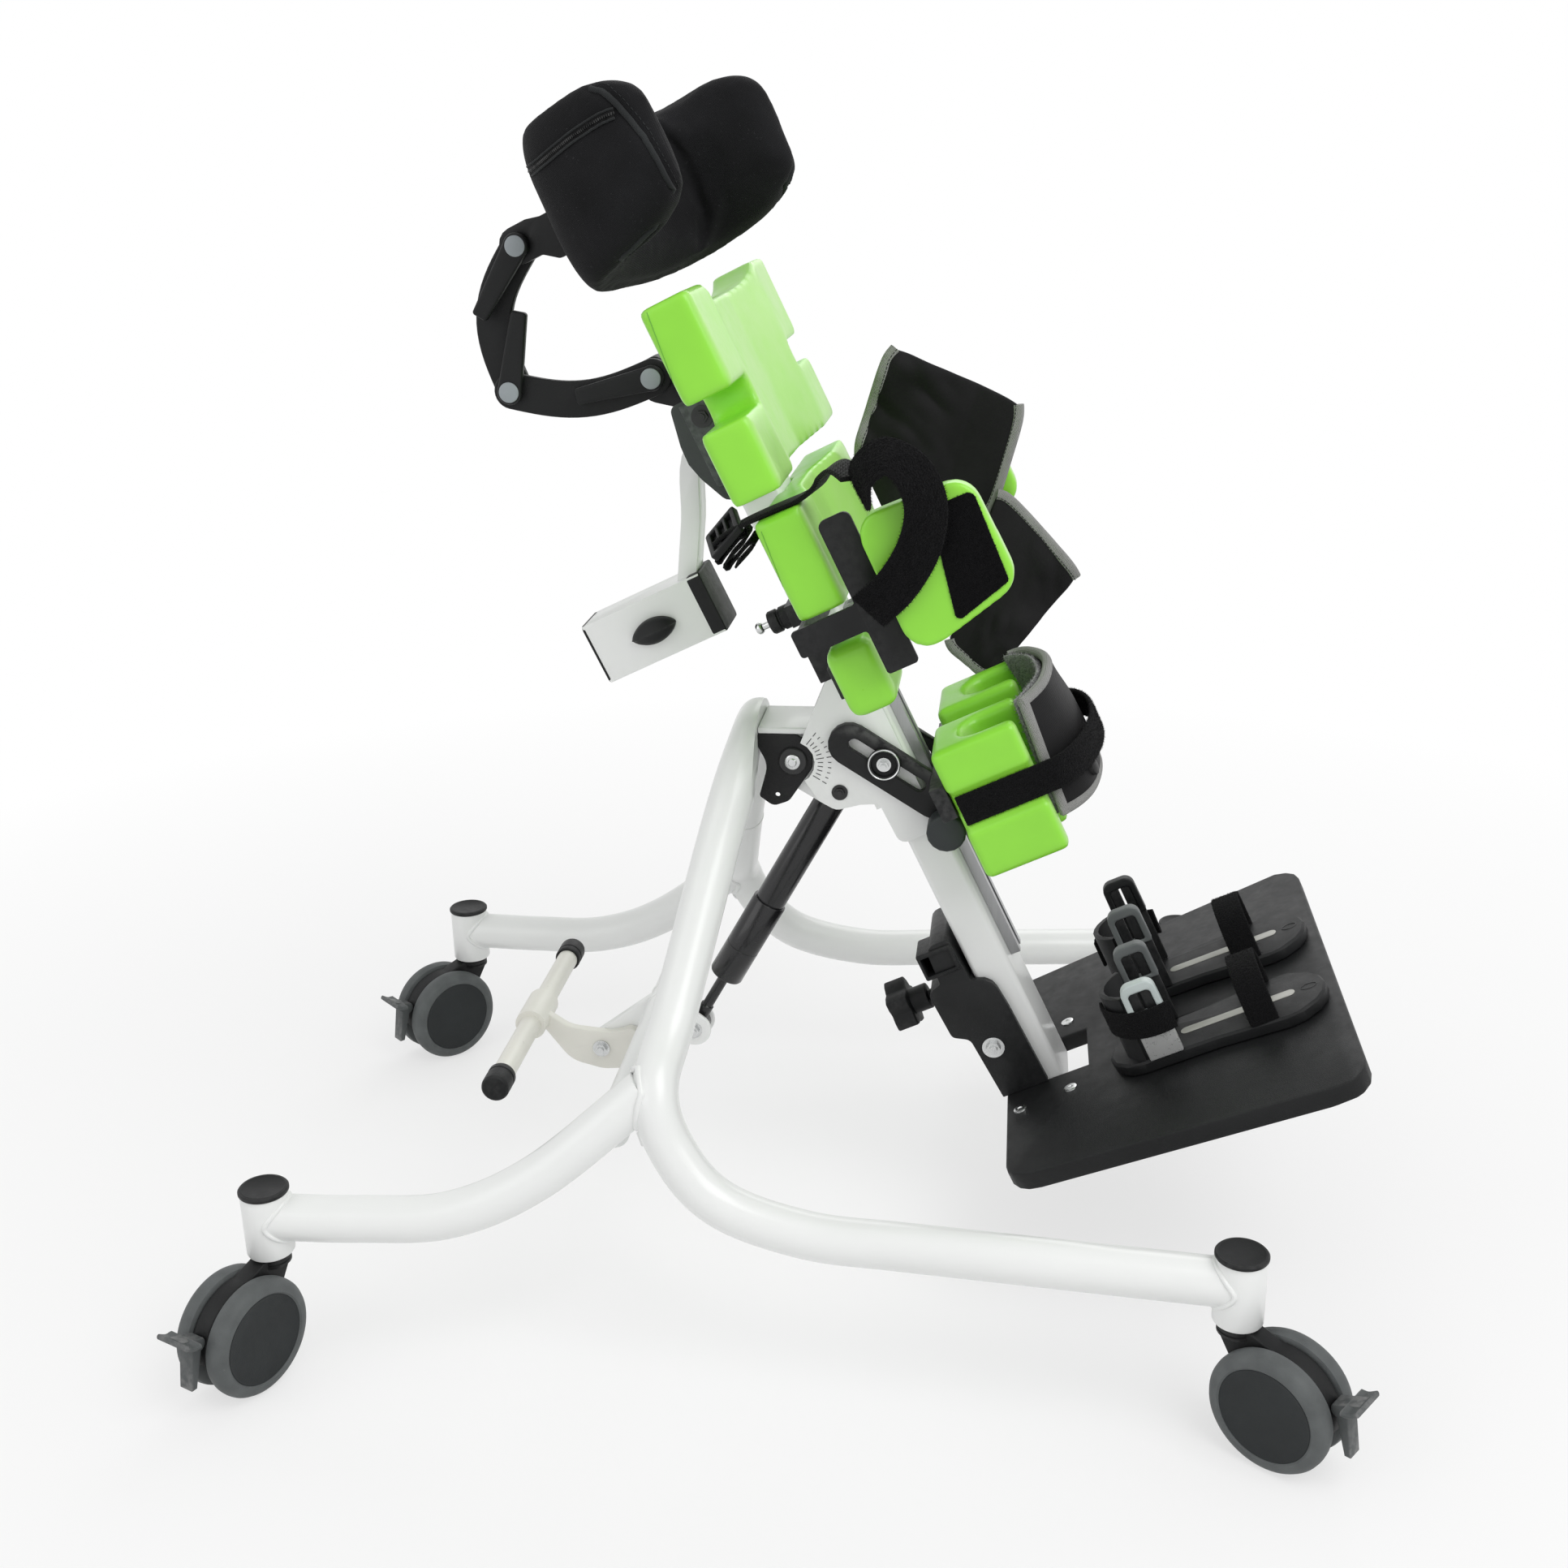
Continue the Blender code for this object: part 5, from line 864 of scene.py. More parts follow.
piece("arched_frame_tube", merge(arch_mesh, *stems, *beads, seam_ring), "white", "base", "base_frame",
      BASE)

cap_profile = [(0, 0.0001), (CAP_R - 0.0006, 0.0001), (CAP_R, 0.0010), (CAP_R, 0.0028),
               (CAP_R - 0.0011, 0.0040), (CAP_R - 0.0030, 0.0042), (CAP_R - 0.0036, 0.0038), (0, 0.0040)]
caps = [moved(turn_profile(cap_profile), Matrix.Translation((x, side * y, STEM_Z[1])))
        for x, y in (FRONT_STEM, REAR_STEM) for side in SIDES.values()]
piece("stem_caps", merge(*caps), "black_plastic", "base", place=BASE)

EAR_Y = (0.009, 0.013)
cross_parts = [crossbar(CROSS_TUBE, (-0.236, -0.1, 0.1, 0.236), CROSS_TUBE_R)]
for side in SIDES.values():
    ear = sorted(side * y for y in EAR_Y)
    cross_parts.append(slab(capsule(CROSS_TUBE, STRUT_EYE, 0.016), *ear, edge=0.001))
cross_parts.append(slab(capsule(CROSS_TUBE, PEDAL_LUG, 0.013), 0, 0.010, edge=0.0012))
for (x, z), radius, low, high in ((STRUT_EYE, 0.004, -0.0127, 0.0127), (PEDAL_LUG, 0.005, -0.004, 0.0098)):
    cross_parts.append(moved(drum(radius, low, high), Matrix.Translation((x, 0, z)) @ TO_NEAR))
piece("cross_tube", merge(*cross_parts), "white", "base", "cross_member", BASE)
base_bolts = ((STRUT_EYE, -1, 0.0130, 1.0), (STRUT_EYE, 1, 0.0130, 1.0), (PEDAL_LUG, -1, 0.0094, 1.05),
              (PEDAL_LUG, 1, 0.0100, 1.0))
fasteners("base_bolts", "base",
          [((x, side * out, z), (0, side, 0), size) for (x, z), side, out, size in base_bolts], BASE,
          washer=0.0078, nut=0.0056, height=0.0055)

# Tilt pivot on the base: plates, yoke and pin
plate_rear = ARCH_FLAT + 0.0003 - PART_PIVOT.x
plate_outline = rounded([
    (plate_rear, 0.0237, 0.001), (0.004, 0.0237, 0.008), (0.017, 0.012, 0.012), (0.017, -0.006, 0.012),
    (-0.004, -0.037, 0.010), (-0.018, -0.042, 0.008), (plate_rear, -0.033, 0.003), (-0.022, -0.004, 0.020),
    (plate_rear, 0.0117, 0.003)])
pin_hole, wire_hole = arc((0, 0), 0.0063, 0, 345, 23), arc((-0.0140, -0.0315), 0.0022, 0, 330, 11)
for label, side in SIDES.items():
    layer = sorted((side * 0.0293, side * 0.0330))
    plate = slab(plate_outline, *layer, holes=[pin_hole, wire_hole], edge=0.0007)
    piece("pivot_side_plate_" + label, plate, "black_grain", "base", "pivot_plate_" + label,
          PIVOT_FRAME)
yoke = box((plate_rear, -0.033, 0.0240), (0.017, 0.033, 0.0297), 0.0016)
piece("pivot_yoke", yoke, "white", "base", "yoke", PIVOT_FRAME)
pin = [(0, 0.0393), (0.0032, 0.0393), (0.0038, 0.0387), (0.0038, 0.0376), (0.0058, 0.0376), (0.0066, 0.0370),
       (0.0068, 0.0360), (0.0068, 0.0334), (0.0060, 0.0333), (0.0060, 0)]
collar = [(0, 0.0358), (0.0112, 0.0358), (0.0122, 0.0350), (0.0124, 0.0342), (0.0124, 0.0331), (0, 0.0331)]
pin_turn = PIVOT_FRAME @ TO_NEAR
collars = [turn_profile(collar, 40), turn_profile([(r, -h) for r, h in collar[::-1]], 40)]
piece("pivot_collars", merge(*collars), "dark_steel", "base", place=pin_turn)
pin += [(r, -h) for r, h in pin[::-1]]
piece("pivot_pin_and_nuts", turn_profile(pin, 40), "steel", "base", "pivot_pin", pin_turn)

# Foot release pedal
bar_x, bar_z = PEDAL_BAR
arm_outline = rounded([
    (bar_x + 0.006, bar_z + 0.010, 0.004), (-0.030, 0.020, 0.030), (0.010, 0.016, 0.020),
    (0.036, 0.024, 0.006), (0.030, -0.020, 0.008), (0.000, -0.022, 0.030), (-0.030, -0.014, 0.030),
    (bar_x + 0.010, bar_z - 0.012, 0.004)])
arm = slab(arm_outline, -0.0093, -0.0003, holes=[arc((0, 0), 0.0055, 0, 340, 17)], edge=0.0012)
tread = crossbar(PEDAL_BAR, (-0.141, -0.05, 0.05, 0.141), 0.010)
sleeve = crossbar(PEDAL_BAR, (-0.024, 0, 0.024), 0.0145)
piece("pedal_tread_and_arm", merge(arm, tread, sleeve), "cream", "pedal", "foot_pedal", PEDAL)
end_cap = [(0, 0), (0.0108, 0), (0.0120, 0.0010), (0.0125, 0.0030), (0.0125, 0.0165), (0.0119, 0.0170),
           (0.0119, 0.0190), (0.0125, 0.0195), (0.0125, 0.0245), (0.0118, 0.0258), (0.0103, 0.0260),
           (0, 0.0260)]
tips = [moved(turn_profile(end_cap, BAR_SIDES), Matrix.Translation((bar_x, side * 0.146, bar_z)) @ turn)
        for side, turn in ((-1, TO_FAR), (1, TO_NEAR))]
piece("pedal_end_caps", merge(*tips), "black_plastic", "pedal", place=PEDAL)

# Casters
disc_r = 0.0385
tyre = [(disc_r - 0.002, 0.0096), (WHEEL_R - 0.0035, 0.0096), (WHEEL_R - 0.0012, 0.0108),
        (WHEEL_R - 0.0003, 0.0135), (WHEEL_R, 0.0170), (WHEEL_R - 0.0004, 0.0205), (WHEEL_R - 0.0022, 0.0238),
        (WHEEL_R - 0.0052, 0.0262), (WHEEL_R - 0.0085, 0.0270), (disc_r + 0.0006, 0.0270), (disc_r, 0.0262),
        (disc_r - 0.002, 0.0255)]
disc = [(0, 0.0250), (0.010, 0.0251), (0.024, 0.0254), (disc_r - 0.0042, 0.0258), (disc_r - 0.0014, 0.0263),
        (disc_r - 0.0003, 0.0256), (disc_r - 0.0003, 0.0098), (0.006, 0.0098), (0.006, 0), (0, 0)]


def wheel_ring(points):
    """Closed ring of revolution about Z."""
    work = bmesh.new()
    bridged(work, [[work.verts.new((u, v, h)) for u, v in ring(r, WHEEL_SIDES)] for r, h in points], True)
    return closed_mesh(work, "tyre")


def mirrored(mesh):
    """Copy of a mesh turned to the other side of the wheel's middle."""
    return moved(mesh.copy(), Matrix.Rotation(math.pi, 4, "X"))


housing_outline = (
    [(-0.0135, 0.1015), (0.0135, 0.1015)] + arc(AXLE, 0.046, 97, -4, 22) + arc(AXLE, 0.016, -40, -140, 12)
    + [(0.006, 0.062), (-0.0135, 0.094)])
neck_profile = [(0, 0.0930), (0.0155, 0.0930), (0.0155, 0.0952), (0.0148, 0.0956), (0.0148, 0.0966),
                (0.0155, 0.0970), (0.0155, 0.1012), (0.0150, 0.1017), (0, 0.1017)]
# Brake lever's corners and its paddle's line, from the hub
BRAKE_ARM = [(0.008, -0.036), (0.013, -0.036), (0.008, -0.002), (0.018, 0.008), (0.016, 0.0125)]
BRAKE_PADDLE = [(0.006, 0.0065), (0.012, 0.0072), (0.0185, 0.0113)]
brake_arm = (arc(BRAKE_HUB, 0.006, 140, 262, 12)
             + [(BRAKE_HUB[0] + x, BRAKE_HUB[1] + z) for x, z in BRAKE_ARM])
paddle_path = smooth_path([(BRAKE_HUB[0] + x, 0, BRAKE_HUB[1] + z) for x, z in BRAKE_PADDLE], 5)
axle_hole = arc(AXLE, 0.0066, 0, 340, 17)
for label, turn in CASTER_TURN.items():
    spot = Vector(JOINTS["swivel_" + label]["pos_m"])
    caster = Matrix.Translation((spot.x, spot.y, 0)) @ Matrix.Rotation(math.radians(turn), 4, "Z")
    wheel = caster @ Matrix.Translation((AXLE[0], 0, AXLE[1])) @ TO_FAR
    shell = slab(housing_outline, -0.0085, 0.0085, edge=0.0018, steps=3, holes=[axle_hole])
    piece("swivel_housing_" + label, merge(shell, turn_profile(neck_profile)), "black_plastic",
          "caster_" + label, "caster_housing_" + label, caster)
    tyre_mesh = wheel_ring(tyre)
    piece("twin_tyres_" + label, merge(mirrored(tyre_mesh), tyre_mesh), "tyre", "wheels_" + label,
          "caster_wheels_" + label, wheel)
    disc_mesh = turn_profile(disc, WHEEL_SIDES)
    piece("wheel_discs_" + label, merge(mirrored(disc_mesh), disc_mesh), "disc", "wheels_" + label,
          place=wheel)
    paddle = sweep(paddle_path, strip(0.036, 0.0042, 8), across=(0, 1, 0))
    piece("brake_lever_" + label, merge(slab(brake_arm, -0.0075, 0.0075, edge=0.0012), paddle), "brake_grey",
          "brake_" + label, "brake_pedal_" + label, caster)

# Mast, rail and pivot head
mast_section = rectangle(MAST_X, (-MAST_HALF, MAST_HALF), 0.005)
mast_bore = rectangle(inset(MAST_X, 0.003), inset((-MAST_HALF, MAST_HALF), 0.003), 0.003)
mast_form = slab(mast_section, *MAST_Z, "XY", holes=[mast_bore], edge=0.0004)
piece("mast_profile", mast_form, "white", "mast", "mast", MAST)
rail_section = [(0.0883, -0.012), (0.0973, -0.012), (0.0973, -0.004), (0.0913, -0.004), (0.0913, 0.004),
                (0.0973, 0.004), (0.0973, 0.012), (0.0883, 0.012)]
piece("slotted_rail", slab(rail_section, -0.255, 0.095, "XY", edge=0.0003), "rail", "mast", "front_rail",
      MAST)
piece("pivot_fork_and_cheeks", softened("pivot_head", 0.0007), "white", "mast", "pivot_head")

# Tilt scale on the near cheek: two rows of ticks round the pivot, every fifth longer
HUB = (-0.0058, -0.0056)
TICK_ROWS = ((0.0245, 0.0046), (0.0325, 0.0028))
TICK_COUNT = 11
TICK_START = 28
TICK_STEP = 8.5
tick_marks = []
for reach, tall in TICK_ROWS:
    for k in range(TICK_COUNT):
        t = math.radians(TICK_START - TICK_STEP * k)
        spot = (HUB[0] + reach * math.cos(t), -CHEEK_OUT - 0.0001, HUB[1] + reach * math.sin(t))
        tick_marks.append((spot, (math.cos(t), 0, math.sin(t)), tall if k % 5 else tall * 1.5))
ticks = grown(marked_points(tick_marks, MAST), "ticks", "tick", width=0.0006, depth=0.0004)
piece("tilt_scale_ticks", ticks, "tick", "mast")
cheek_tree = skin_tree(copy_of("pivot_head"))
cheek_spots = []
for side in SIDES.values():
    start = MAST @ Vector((PIN_IN_MAST[0], side * 0.2, PIN_IN_MAST[1]))
    seat = cheek_tree.ray_cast(start, MAST.to_3x3() @ Vector((0, -side, 0)))[0]
    cheek_spots.append((MAST.inverted() @ seat, (0, side, 0), 1.0))
fasteners("cheek_screws", "mast", cheek_spots, MAST, finish="dark_steel", washer=0.0070, nut=0.0046,
          height=0.0036)

# Gas spring
SPRING_EYE_HALF = 0.008
spring = [(0, -0.0150), (0.0125, -0.0152), (0.0137, -0.0164), (0.0140, -0.0180), (0.0140, -0.1366),
          (0.0136, -0.1370), (0.0136, -0.1378), (0.0152, -0.1380), (0.0158, -0.1388), (0.0158, -0.1900),
          (0.0154, -0.1903), (0.0154, -0.1910), (0.0158, -0.1913), (0.0158, -0.2235), (0.0150, -0.2250),
          (0.0056, -0.2250), (0.0056, -0.1500), (0, -0.1500)]
rod = [(0, 0.0110), (0.0062, 0.0110), (0.0062, 0.0235), (0.0050, 0.0245), (0.0050, 0.1120), (0, 0.1120)]


def spring_eye(radius, hole):
    return slab(arc((0, 0), radius, 0, 352, 44), -SPRING_EYE_HALF, SPRING_EYE_HALF, holes=[hole], edge=0.0008)


top_eye = spring_eye(0.012, arc((0, 0), 0.0055, 0, 340, 17))
base_eye = spring_eye(0.013, arc((0, 0), 0.0084, 0, 345, 23))
cylinder = merge(turn_profile(spring), top_eye, drum(0.0055, -0.0080, -0.0160))
piece("spring_cylinder", cylinder, "black_gloss", "strut", "strut_cylinder", STRUT)
piece("spring_rod", merge(base_eye, turn_profile(rod, 32)), "black_gloss", "strut_rod", "strut_rod",
      STRUT @ Matrix.Translation((0, 0, -STRUT_LENGTH)))


# Moulded foam pads

def largest_part(mesh):
    """Drops the loose crumbs that a remesh leaves."""
    work = bmesh.new()
    work.from_mesh(mesh)
    parts, left = [], set(work.verts)
    while left:
        part, edge = set(), [left.pop()]
        while edge:
            point = edge.pop()
            part.add(point)
            for link in point.link_edges:
                other = link.other_vert(point)
                if other in left:
                    left.remove(other)
                    edge.append(other)
        parts.append(part)
    parts.sort(key=len)
    bmesh.ops.delete(work, geom=[point for part in parts[:-1] for point in part], context="VERTS")
    work.to_mesh(mesh)
    work.free()
    return mesh


def even_skin(mesh, voxel, swell, rounds):
    """Closed even skin of small quads over a form."""
    holder = hold(mesh)
    step = holder.modifiers.new("voxels", "REMESH")
    step.mode = "VOXEL"
    step.voxel_size = voxel
    holder = hold(largest_part(evaluated(holder)))
    step = holder.modifiers.new("soften", "SMOOTH")
    step.factor = 0.5
    step.iterations = rounds
    step = holder.modifiers.new("swell", "DISPLACE")
    step.strength = swell
    step.mid_level = 0.0
    return evaluated(holder)


FOAM_SWELL = 0.0004


def moulded(node, voxel, rounds):
    """Foam form of a CAD pad: evenly rounded edges and a little crown, made in the mast's frame."""
    return moved(even_skin(moved(copy_of(node), MAST.inverted()), voxel, FOAM_SWELL, rounds), MAST)


TRUNK_TOP = 0.389
SCOOP_START = 0.330     # above this height the trunk pad's top is lowered, most in its middle
SCOOP_HALF = 0.130
SCOOP_DEPTH = 0.014
SCOOP_ALL = 0.006


def scooped(mesh):
    """Trunk pad with a dip in the middle of its top edge."""
    back = MAST.inverted()
    for point in mesh.vertices:
        spot = back @ point.co
        share = max(spot.z - SCOOP_START, 0) / (TRUNK_TOP - SCOOP_START)
        middle = max(1 - (spot.y / SCOOP_HALF) ** 4, 0)
        spot.z -= share * (SCOOP_ALL + SCOOP_DEPTH * middle)
        point.co = MAST @ spot
    mesh.update()
    return mesh


PADS = [("trunk_pad", "trunk", 0.003, 7), ("hip_pad", "hip", 0.003, 7), ("thigh_pad_near", "mast", 0.0025, 7),
        ("thigh_pad_far", "mast", 0.0025, 7), ("side_panel_near", "hip", 0.0022, 5),
        ("side_panel_far", "hip", 0.0022, 5), ("knee_pad_near", "knee", 0.0022, 6),
        ("knee_pad_far", "knee", 0.0022, 6)]
MAST_AHEAD = MAST.to_3x3() @ Vector((1, 0, 0))
PALE_FROM = 0.55     # how squarely a face looks forward before the painted sheen pales the foam, and over what span
PALE_SPAN = 0.4
for node, body, voxel, rounds in PADS:
    foam = moulded(node, voxel, rounds)
    if node == "trunk_pad":
        foam = scooped(foam)
    # painted sheen: how much each foam point is paled for facing forward, kept in the point attribute front
    painted_sheen_share = [min(max((point.normal.dot(MAST_AHEAD) - PALE_FROM) / PALE_SPAN, 0), 1)
              for point in foam.vertices]
    foam.attributes.new("front", "FLOAT", "POINT").data.foreach_set("value", painted_sheen_share)
    pad = piece("foam_" + node, foam, "green", body, node, smooth=180)

# Brackets and frames that keep the CAD outline with softened edges
for node, name, finish, body, width in (
        ("trunk_bracket", "trunk_bracket_plate", "dark_grey", "trunk", 0.0008),
        ("hip_bracket", "hip_bracket_arms", "black_metal", "hip", 0.0008),
        ("thigh_bracket", "thigh_bracket_bar", "black_metal", "mast", 0.0008),
        ("head_clamp", "head_clamp_block", "black_metal", "mast", 0.0010),
        ("head_mount", "head_mount_plate", "black_metal", "head", 0.0008),
        ("knee_frame", "knee_slotted_frame", "black_metal", "knee", 0.0008),
        ("foot_bracket", "foot_height_bracket", "black_metal", "foot", 0.0012),
        ("footplate", "footplate_board", "plate", "foot", 0.0006),
        ("foot_knob", "star_knob", "black_plastic", "foot_knob", 0.0006),
        ("knee_knob", "knee_clamp_knob", "knob_grey", "knee_knob", 0.0006),
        ("socket", "socket_and_arm", "white", "mast", 0.0032),
        ("sandal_near", "sandal_sole_near", "plate", "foot", 0.0008),
        ("sandal_far", "sandal_sole_far", "plate", "foot", 0.0008)):
    piece(name, softened(node, width), finish, body, node)


# Places read off the photograph

def view_axes():
    """Across, up and ahead of the camera that took the photograph."""
    pitch, yaw, roll = CAMERA_TURN
    right = Vector((math.cos(yaw), -math.sin(yaw), 0))
    ahead = Vector((math.sin(yaw) * math.cos(pitch), math.cos(yaw) * math.cos(pitch), -math.sin(pitch)))
    up = right.cross(ahead)
    return (math.cos(roll) * right + math.sin(roll) * up, math.cos(roll) * up - math.sin(roll) * right, ahead)


def drawn_on(mesh, pixels, steps=8):
    """Line of the photograph laid on a mesh as the camera sees it: places and outward directions."""
    across, tall, ahead = view_axes()
    tree = skin_tree(mesh)
    line = []
    for px, py in smooth_path(pixels, steps):
        way = ahead + across * (px - PHOTO_PX / 2) / FOCAL_PX - tall * (py - PHOTO_PX / 2) / FOCAL_PX
        spot, normal = tree.ray_cast(Vector(CAMERA_AT), way.normalized())[:2]
        if spot is not None:
            line.append((spot, normal))
    return line


def laid_on(mesh, places, lift=0.0):
    """The same line moved to the nearest places on a mesh."""
    tree = skin_tree(mesh)
    line = []
    for place in places:
        spot, normal = tree.find_nearest(place)[:2]
        line.append((spot + normal * lift, normal))
    return line


def dented(mesh, places, depth, reach):
    """Pulls a skin in along a seam."""
    tree = KDTree(len(places))
    for k, place in enumerate(places):
        tree.insert(place, k)
    tree.balance()
    for point in mesh.vertices:
        gap = tree.find(point.co)[2]
        if gap < 3 * reach:
            point.co -= point.normal * depth * math.exp(-(gap / reach) ** 2)
    mesh.update()
    return mesh


def ruffled(mesh, height, scale):
    """Low uneven dents over a soft skin."""
    for point in mesh.vertices:
        point.co += point.normal * height * noise.noise(point.co * scale)
    mesh.update()
    return mesh


def subdivided(mesh):
    holder = hold(mesh)
    step = holder.modifiers.new("finer", "SUBSURF")
    step.levels = step.render_levels = 1
    return evaluated(holder)


def stuffed(mesh, voxel, pressure, cap, start):
    """Cover blown up from inside as cloth, from a slightly smaller form, no point moved further than cap."""
    skin = even_skin(mesh, voxel, start, 4)
    before = [point.co.copy() for point in skin.vertices]
    holder = hold(skin)
    cloth = holder.modifiers.new("cover", "CLOTH")
    cloth.settings.quality = 6
    cloth.settings.use_pressure = True
    cloth.settings.uniform_pressure_force = pressure
    cloth.settings.effector_weights.gravity = 0.0
    cloth.point_cache.frame_end = SIM_FRAMES
    for number in range(1, SIM_FRAMES + 1):
        bpy.context.scene.frame_set(number)
    skin = evaluated(holder)
    bpy.context.scene.frame_set(1)
    for point, was in zip(skin.vertices, before):
        step = point.co - was
        if step.length > cap:
            point.co = was + step * (cap / step.length)
    return subdivided(skin)


# Head support: jointed arm, clamp levers and cushion

def bowed(first, second, bow, steps=18):
    """Middle line of a link that bows to one side."""
    first, second = Vector(first), Vector(second)
    way = (second - first).normalized()
    side = Vector((way.y, -way.x))
    return [first.lerp(second, k / steps) + side * bow * math.sin(math.pi * k / steps)
            for k in range(steps + 1)]


def limb(path, half):
    """Outline of an even band with round ends round a middle line."""
    left, right = [], []
    for k, here in enumerate(path):
        way = (path[min(k + 1, len(path) - 1)] - path[max(k - 1, 0)]).normalized()
        side = Vector((way.y, -way.x)) * half
        left.append(tuple(here + side))
        right.append(tuple(here - side))
    end = (path[-1] - path[-2]).normalized()
    start = (path[1] - path[0]).normalized()
    end_turn = math.degrees(math.atan2(end.y, end.x))
    start_turn = math.degrees(math.atan2(start.y, start.x))
    return (left + arc(path[-1], half, end_turn - 90, end_turn + 90, 14)[1:-1] + right[::-1]
            + arc(path[0], half, start_turn + 90, start_turn + 270, 14)[1:-1])


def joint_pin(joint, low, high):
    x, z = HEAD_JOINTS[joint]
    return moved(drum(0.005, low, high), Matrix.Translation((x, 0, z)) @ TO_FAR)


# Links: label, joints at the ends, bow of the middle line and layer in y
HEAD_LINKS = (("lower", "cb", -0.012, (-0.0203, -0.0123)), ("upper", "ba", -0.020, (-0.0120, -0.0040)))
LINK_HALF = 0.015
LEVER_T = 0.008
for label, ends, bow, layer in HEAD_LINKS:
    path = bowed(HEAD_JOINTS[ends[0]], HEAD_JOINTS[ends[1]], bow)
    link = slab(limb(path, LINK_HALF), *layer, edge=0.0018, steps=3)
    piece("head_arm_link_" + label, merge(link, joint_pin(ends[1], LEVER_FACE, layer[1])), "black_plastic",
          "head_" + label, "head_link_" + label, MAST)
lever_tip = [(0.0655, -0.0066, 0.0028), (0.0655, 0.0066, 0.0028)]
lever_outline = rounded([(u, v, 0) for u, v in arc((0, 0), 0.0105, 72, 288, 16)] + lever_tip)
joint_cap = [(0, 0), (0.0082, 0), (0.0084, 0.0004), (0.0082, 0.0012), (0.0072, 0.0016), (0, 0.0018)]
for label, (x, z) in HEAD_JOINTS.items():
    body = "lever_" + label
    grip = slab(lever_outline, LEVER_FACE - LEVER_T, LEVER_FACE, edge=0.0022, steps=3)
    turn = Matrix.Rotation(-math.radians(LEVER_HEADING[label]), 4, "Y")
    piece("clamp_lever_" + label, grip, "black_plastic", body, "head_lever_" + label,
          MAST @ Matrix.Translation((x, 0, z)) @ turn)
    cap_at = MAST @ Matrix.Translation((x, LEVER_FACE - 0.0079, z)) @ TO_NEAR
    piece("joint_cap_" + label, turn_profile(joint_cap, BAR_SIDES), "cap_grey", body,
          place=cap_at)

CUSHION = (MAST @ Matrix.Translation((0.034, 0, 0.469)) @ Matrix.Rotation(math.radians(-16), 4, "Z")
           @ Matrix.Rotation(math.radians(-4), 4, "X"))
CUSHION_LINE = [(0.0235, 0.0), (0.0260, 0.034), (0.0340, 0.065), (0.0500, 0.0885), (0.0740, 0.0985),
                (0.1060, 0.1000), (0.1500, 0.0985)]
CUSHION_THICK = 0.0235
CUSHION_TALL = 0.0700
CUSHION_DROP = 0.0005
CUSHION_ROLL = 0.015
CUSHION_RISE = 0.020
CUSHION_INSIDE = 0.06
CUSHION_SIDES = 48
CUSHION_SQUARE = 0.62    # 1 makes the section an oval, less makes it squarer
TIP_THIN = 0.024         # lengths over which a wing's end gets thinner and lower
TIP_LOW = 0.055
RISE_FROM = 0.02         # the lower edge rises from here forward, over this length
RISE_SPAN = 0.11
PIPING = [(0.112, 0.062), (0.125, 0.050), (0.137, 0.018), (0.140, -0.016), (0.134, -0.036), (0.106, -0.047),
          (0.062, -0.056), (0.024, -0.062)]
ZIP_PX = [(634, 226), (660, 205), (700, 172), (735, 149), (756, 139)]


def side_line(mesh, stations, side):
    """Line on the outer side of a cushion wing, from (forward, up) stations in the cushion's frame."""
    tree = skin_tree(mesh)
    inward = CUSHION.to_3x3() @ Vector((0, -side, 0))
    line = []
    for forward, up in smooth_path(stations, 8):
        spot = tree.ray_cast(CUSHION @ Vector((forward, side * 0.3, up)), inward)[0]
        if spot is not None and side * (CUSHION.inverted() @ spot).y > CUSHION_INSIDE:
            line.append(spot)
    return line


def tip_share(left, reach):
    """Share of a size at a distance from an end, which falls in a round over the reach."""
    return math.sqrt(max(0.02, 1 - (1 - min(left / reach, 1)) ** 2))


def squarer(value):
    return math.copysign(abs(value) ** CUSHION_SQUARE, value)


def horseshoe():
    """Form of the cushion in its own frame: a tall section with round corners, carried round the head."""
    half = smooth_path([(x, y, 0) for x, y in CUSHION_LINE], 8)
    line = [Vector((spot.x, -spot.y, 0)) for spot in half[:0:-1]] + half
    gone = [0.0]
    for here, ahead in zip(line, line[1:]):
        gone.append(gone[-1] + (ahead - here).length)
    work = bmesh.new()
    rows = []
    for k, spot in enumerate(line):
        way = (line[min(k + 1, len(line) - 1)] - line[max(k - 1, 0)]).normalized()
        out = Vector((way.y, -way.x, 0))
        left = min(gone[k], gone[-1] - gone[k])
        thick = CUSHION_THICK * tip_share(left, TIP_THIN)
        tall = CUSHION_TALL * (0.5 + 0.5 * tip_share(left, TIP_LOW))
        rise = CUSHION_RISE * min(max((spot.x - RISE_FROM) / RISE_SPAN, 0), 1)
        row = []
        for j in range(CUSHION_SIDES):
            t = 2 * math.pi * j / CUSHION_SIDES
            u, v = squarer(math.cos(t)), squarer(math.sin(t))
            lift = rise * max(-v, 0) - CUSHION_DROP - CUSHION_ROLL * spot.y
            row.append(work.verts.new(spot + out * thick * u + Vector((0, 0, tall * v + lift))))
        rows.append(row)
    bridged(work, rows)
    work.faces.new(rows[0])
    work.faces.new(rows[-1])
    return closed_mesh(work, "horseshoe")


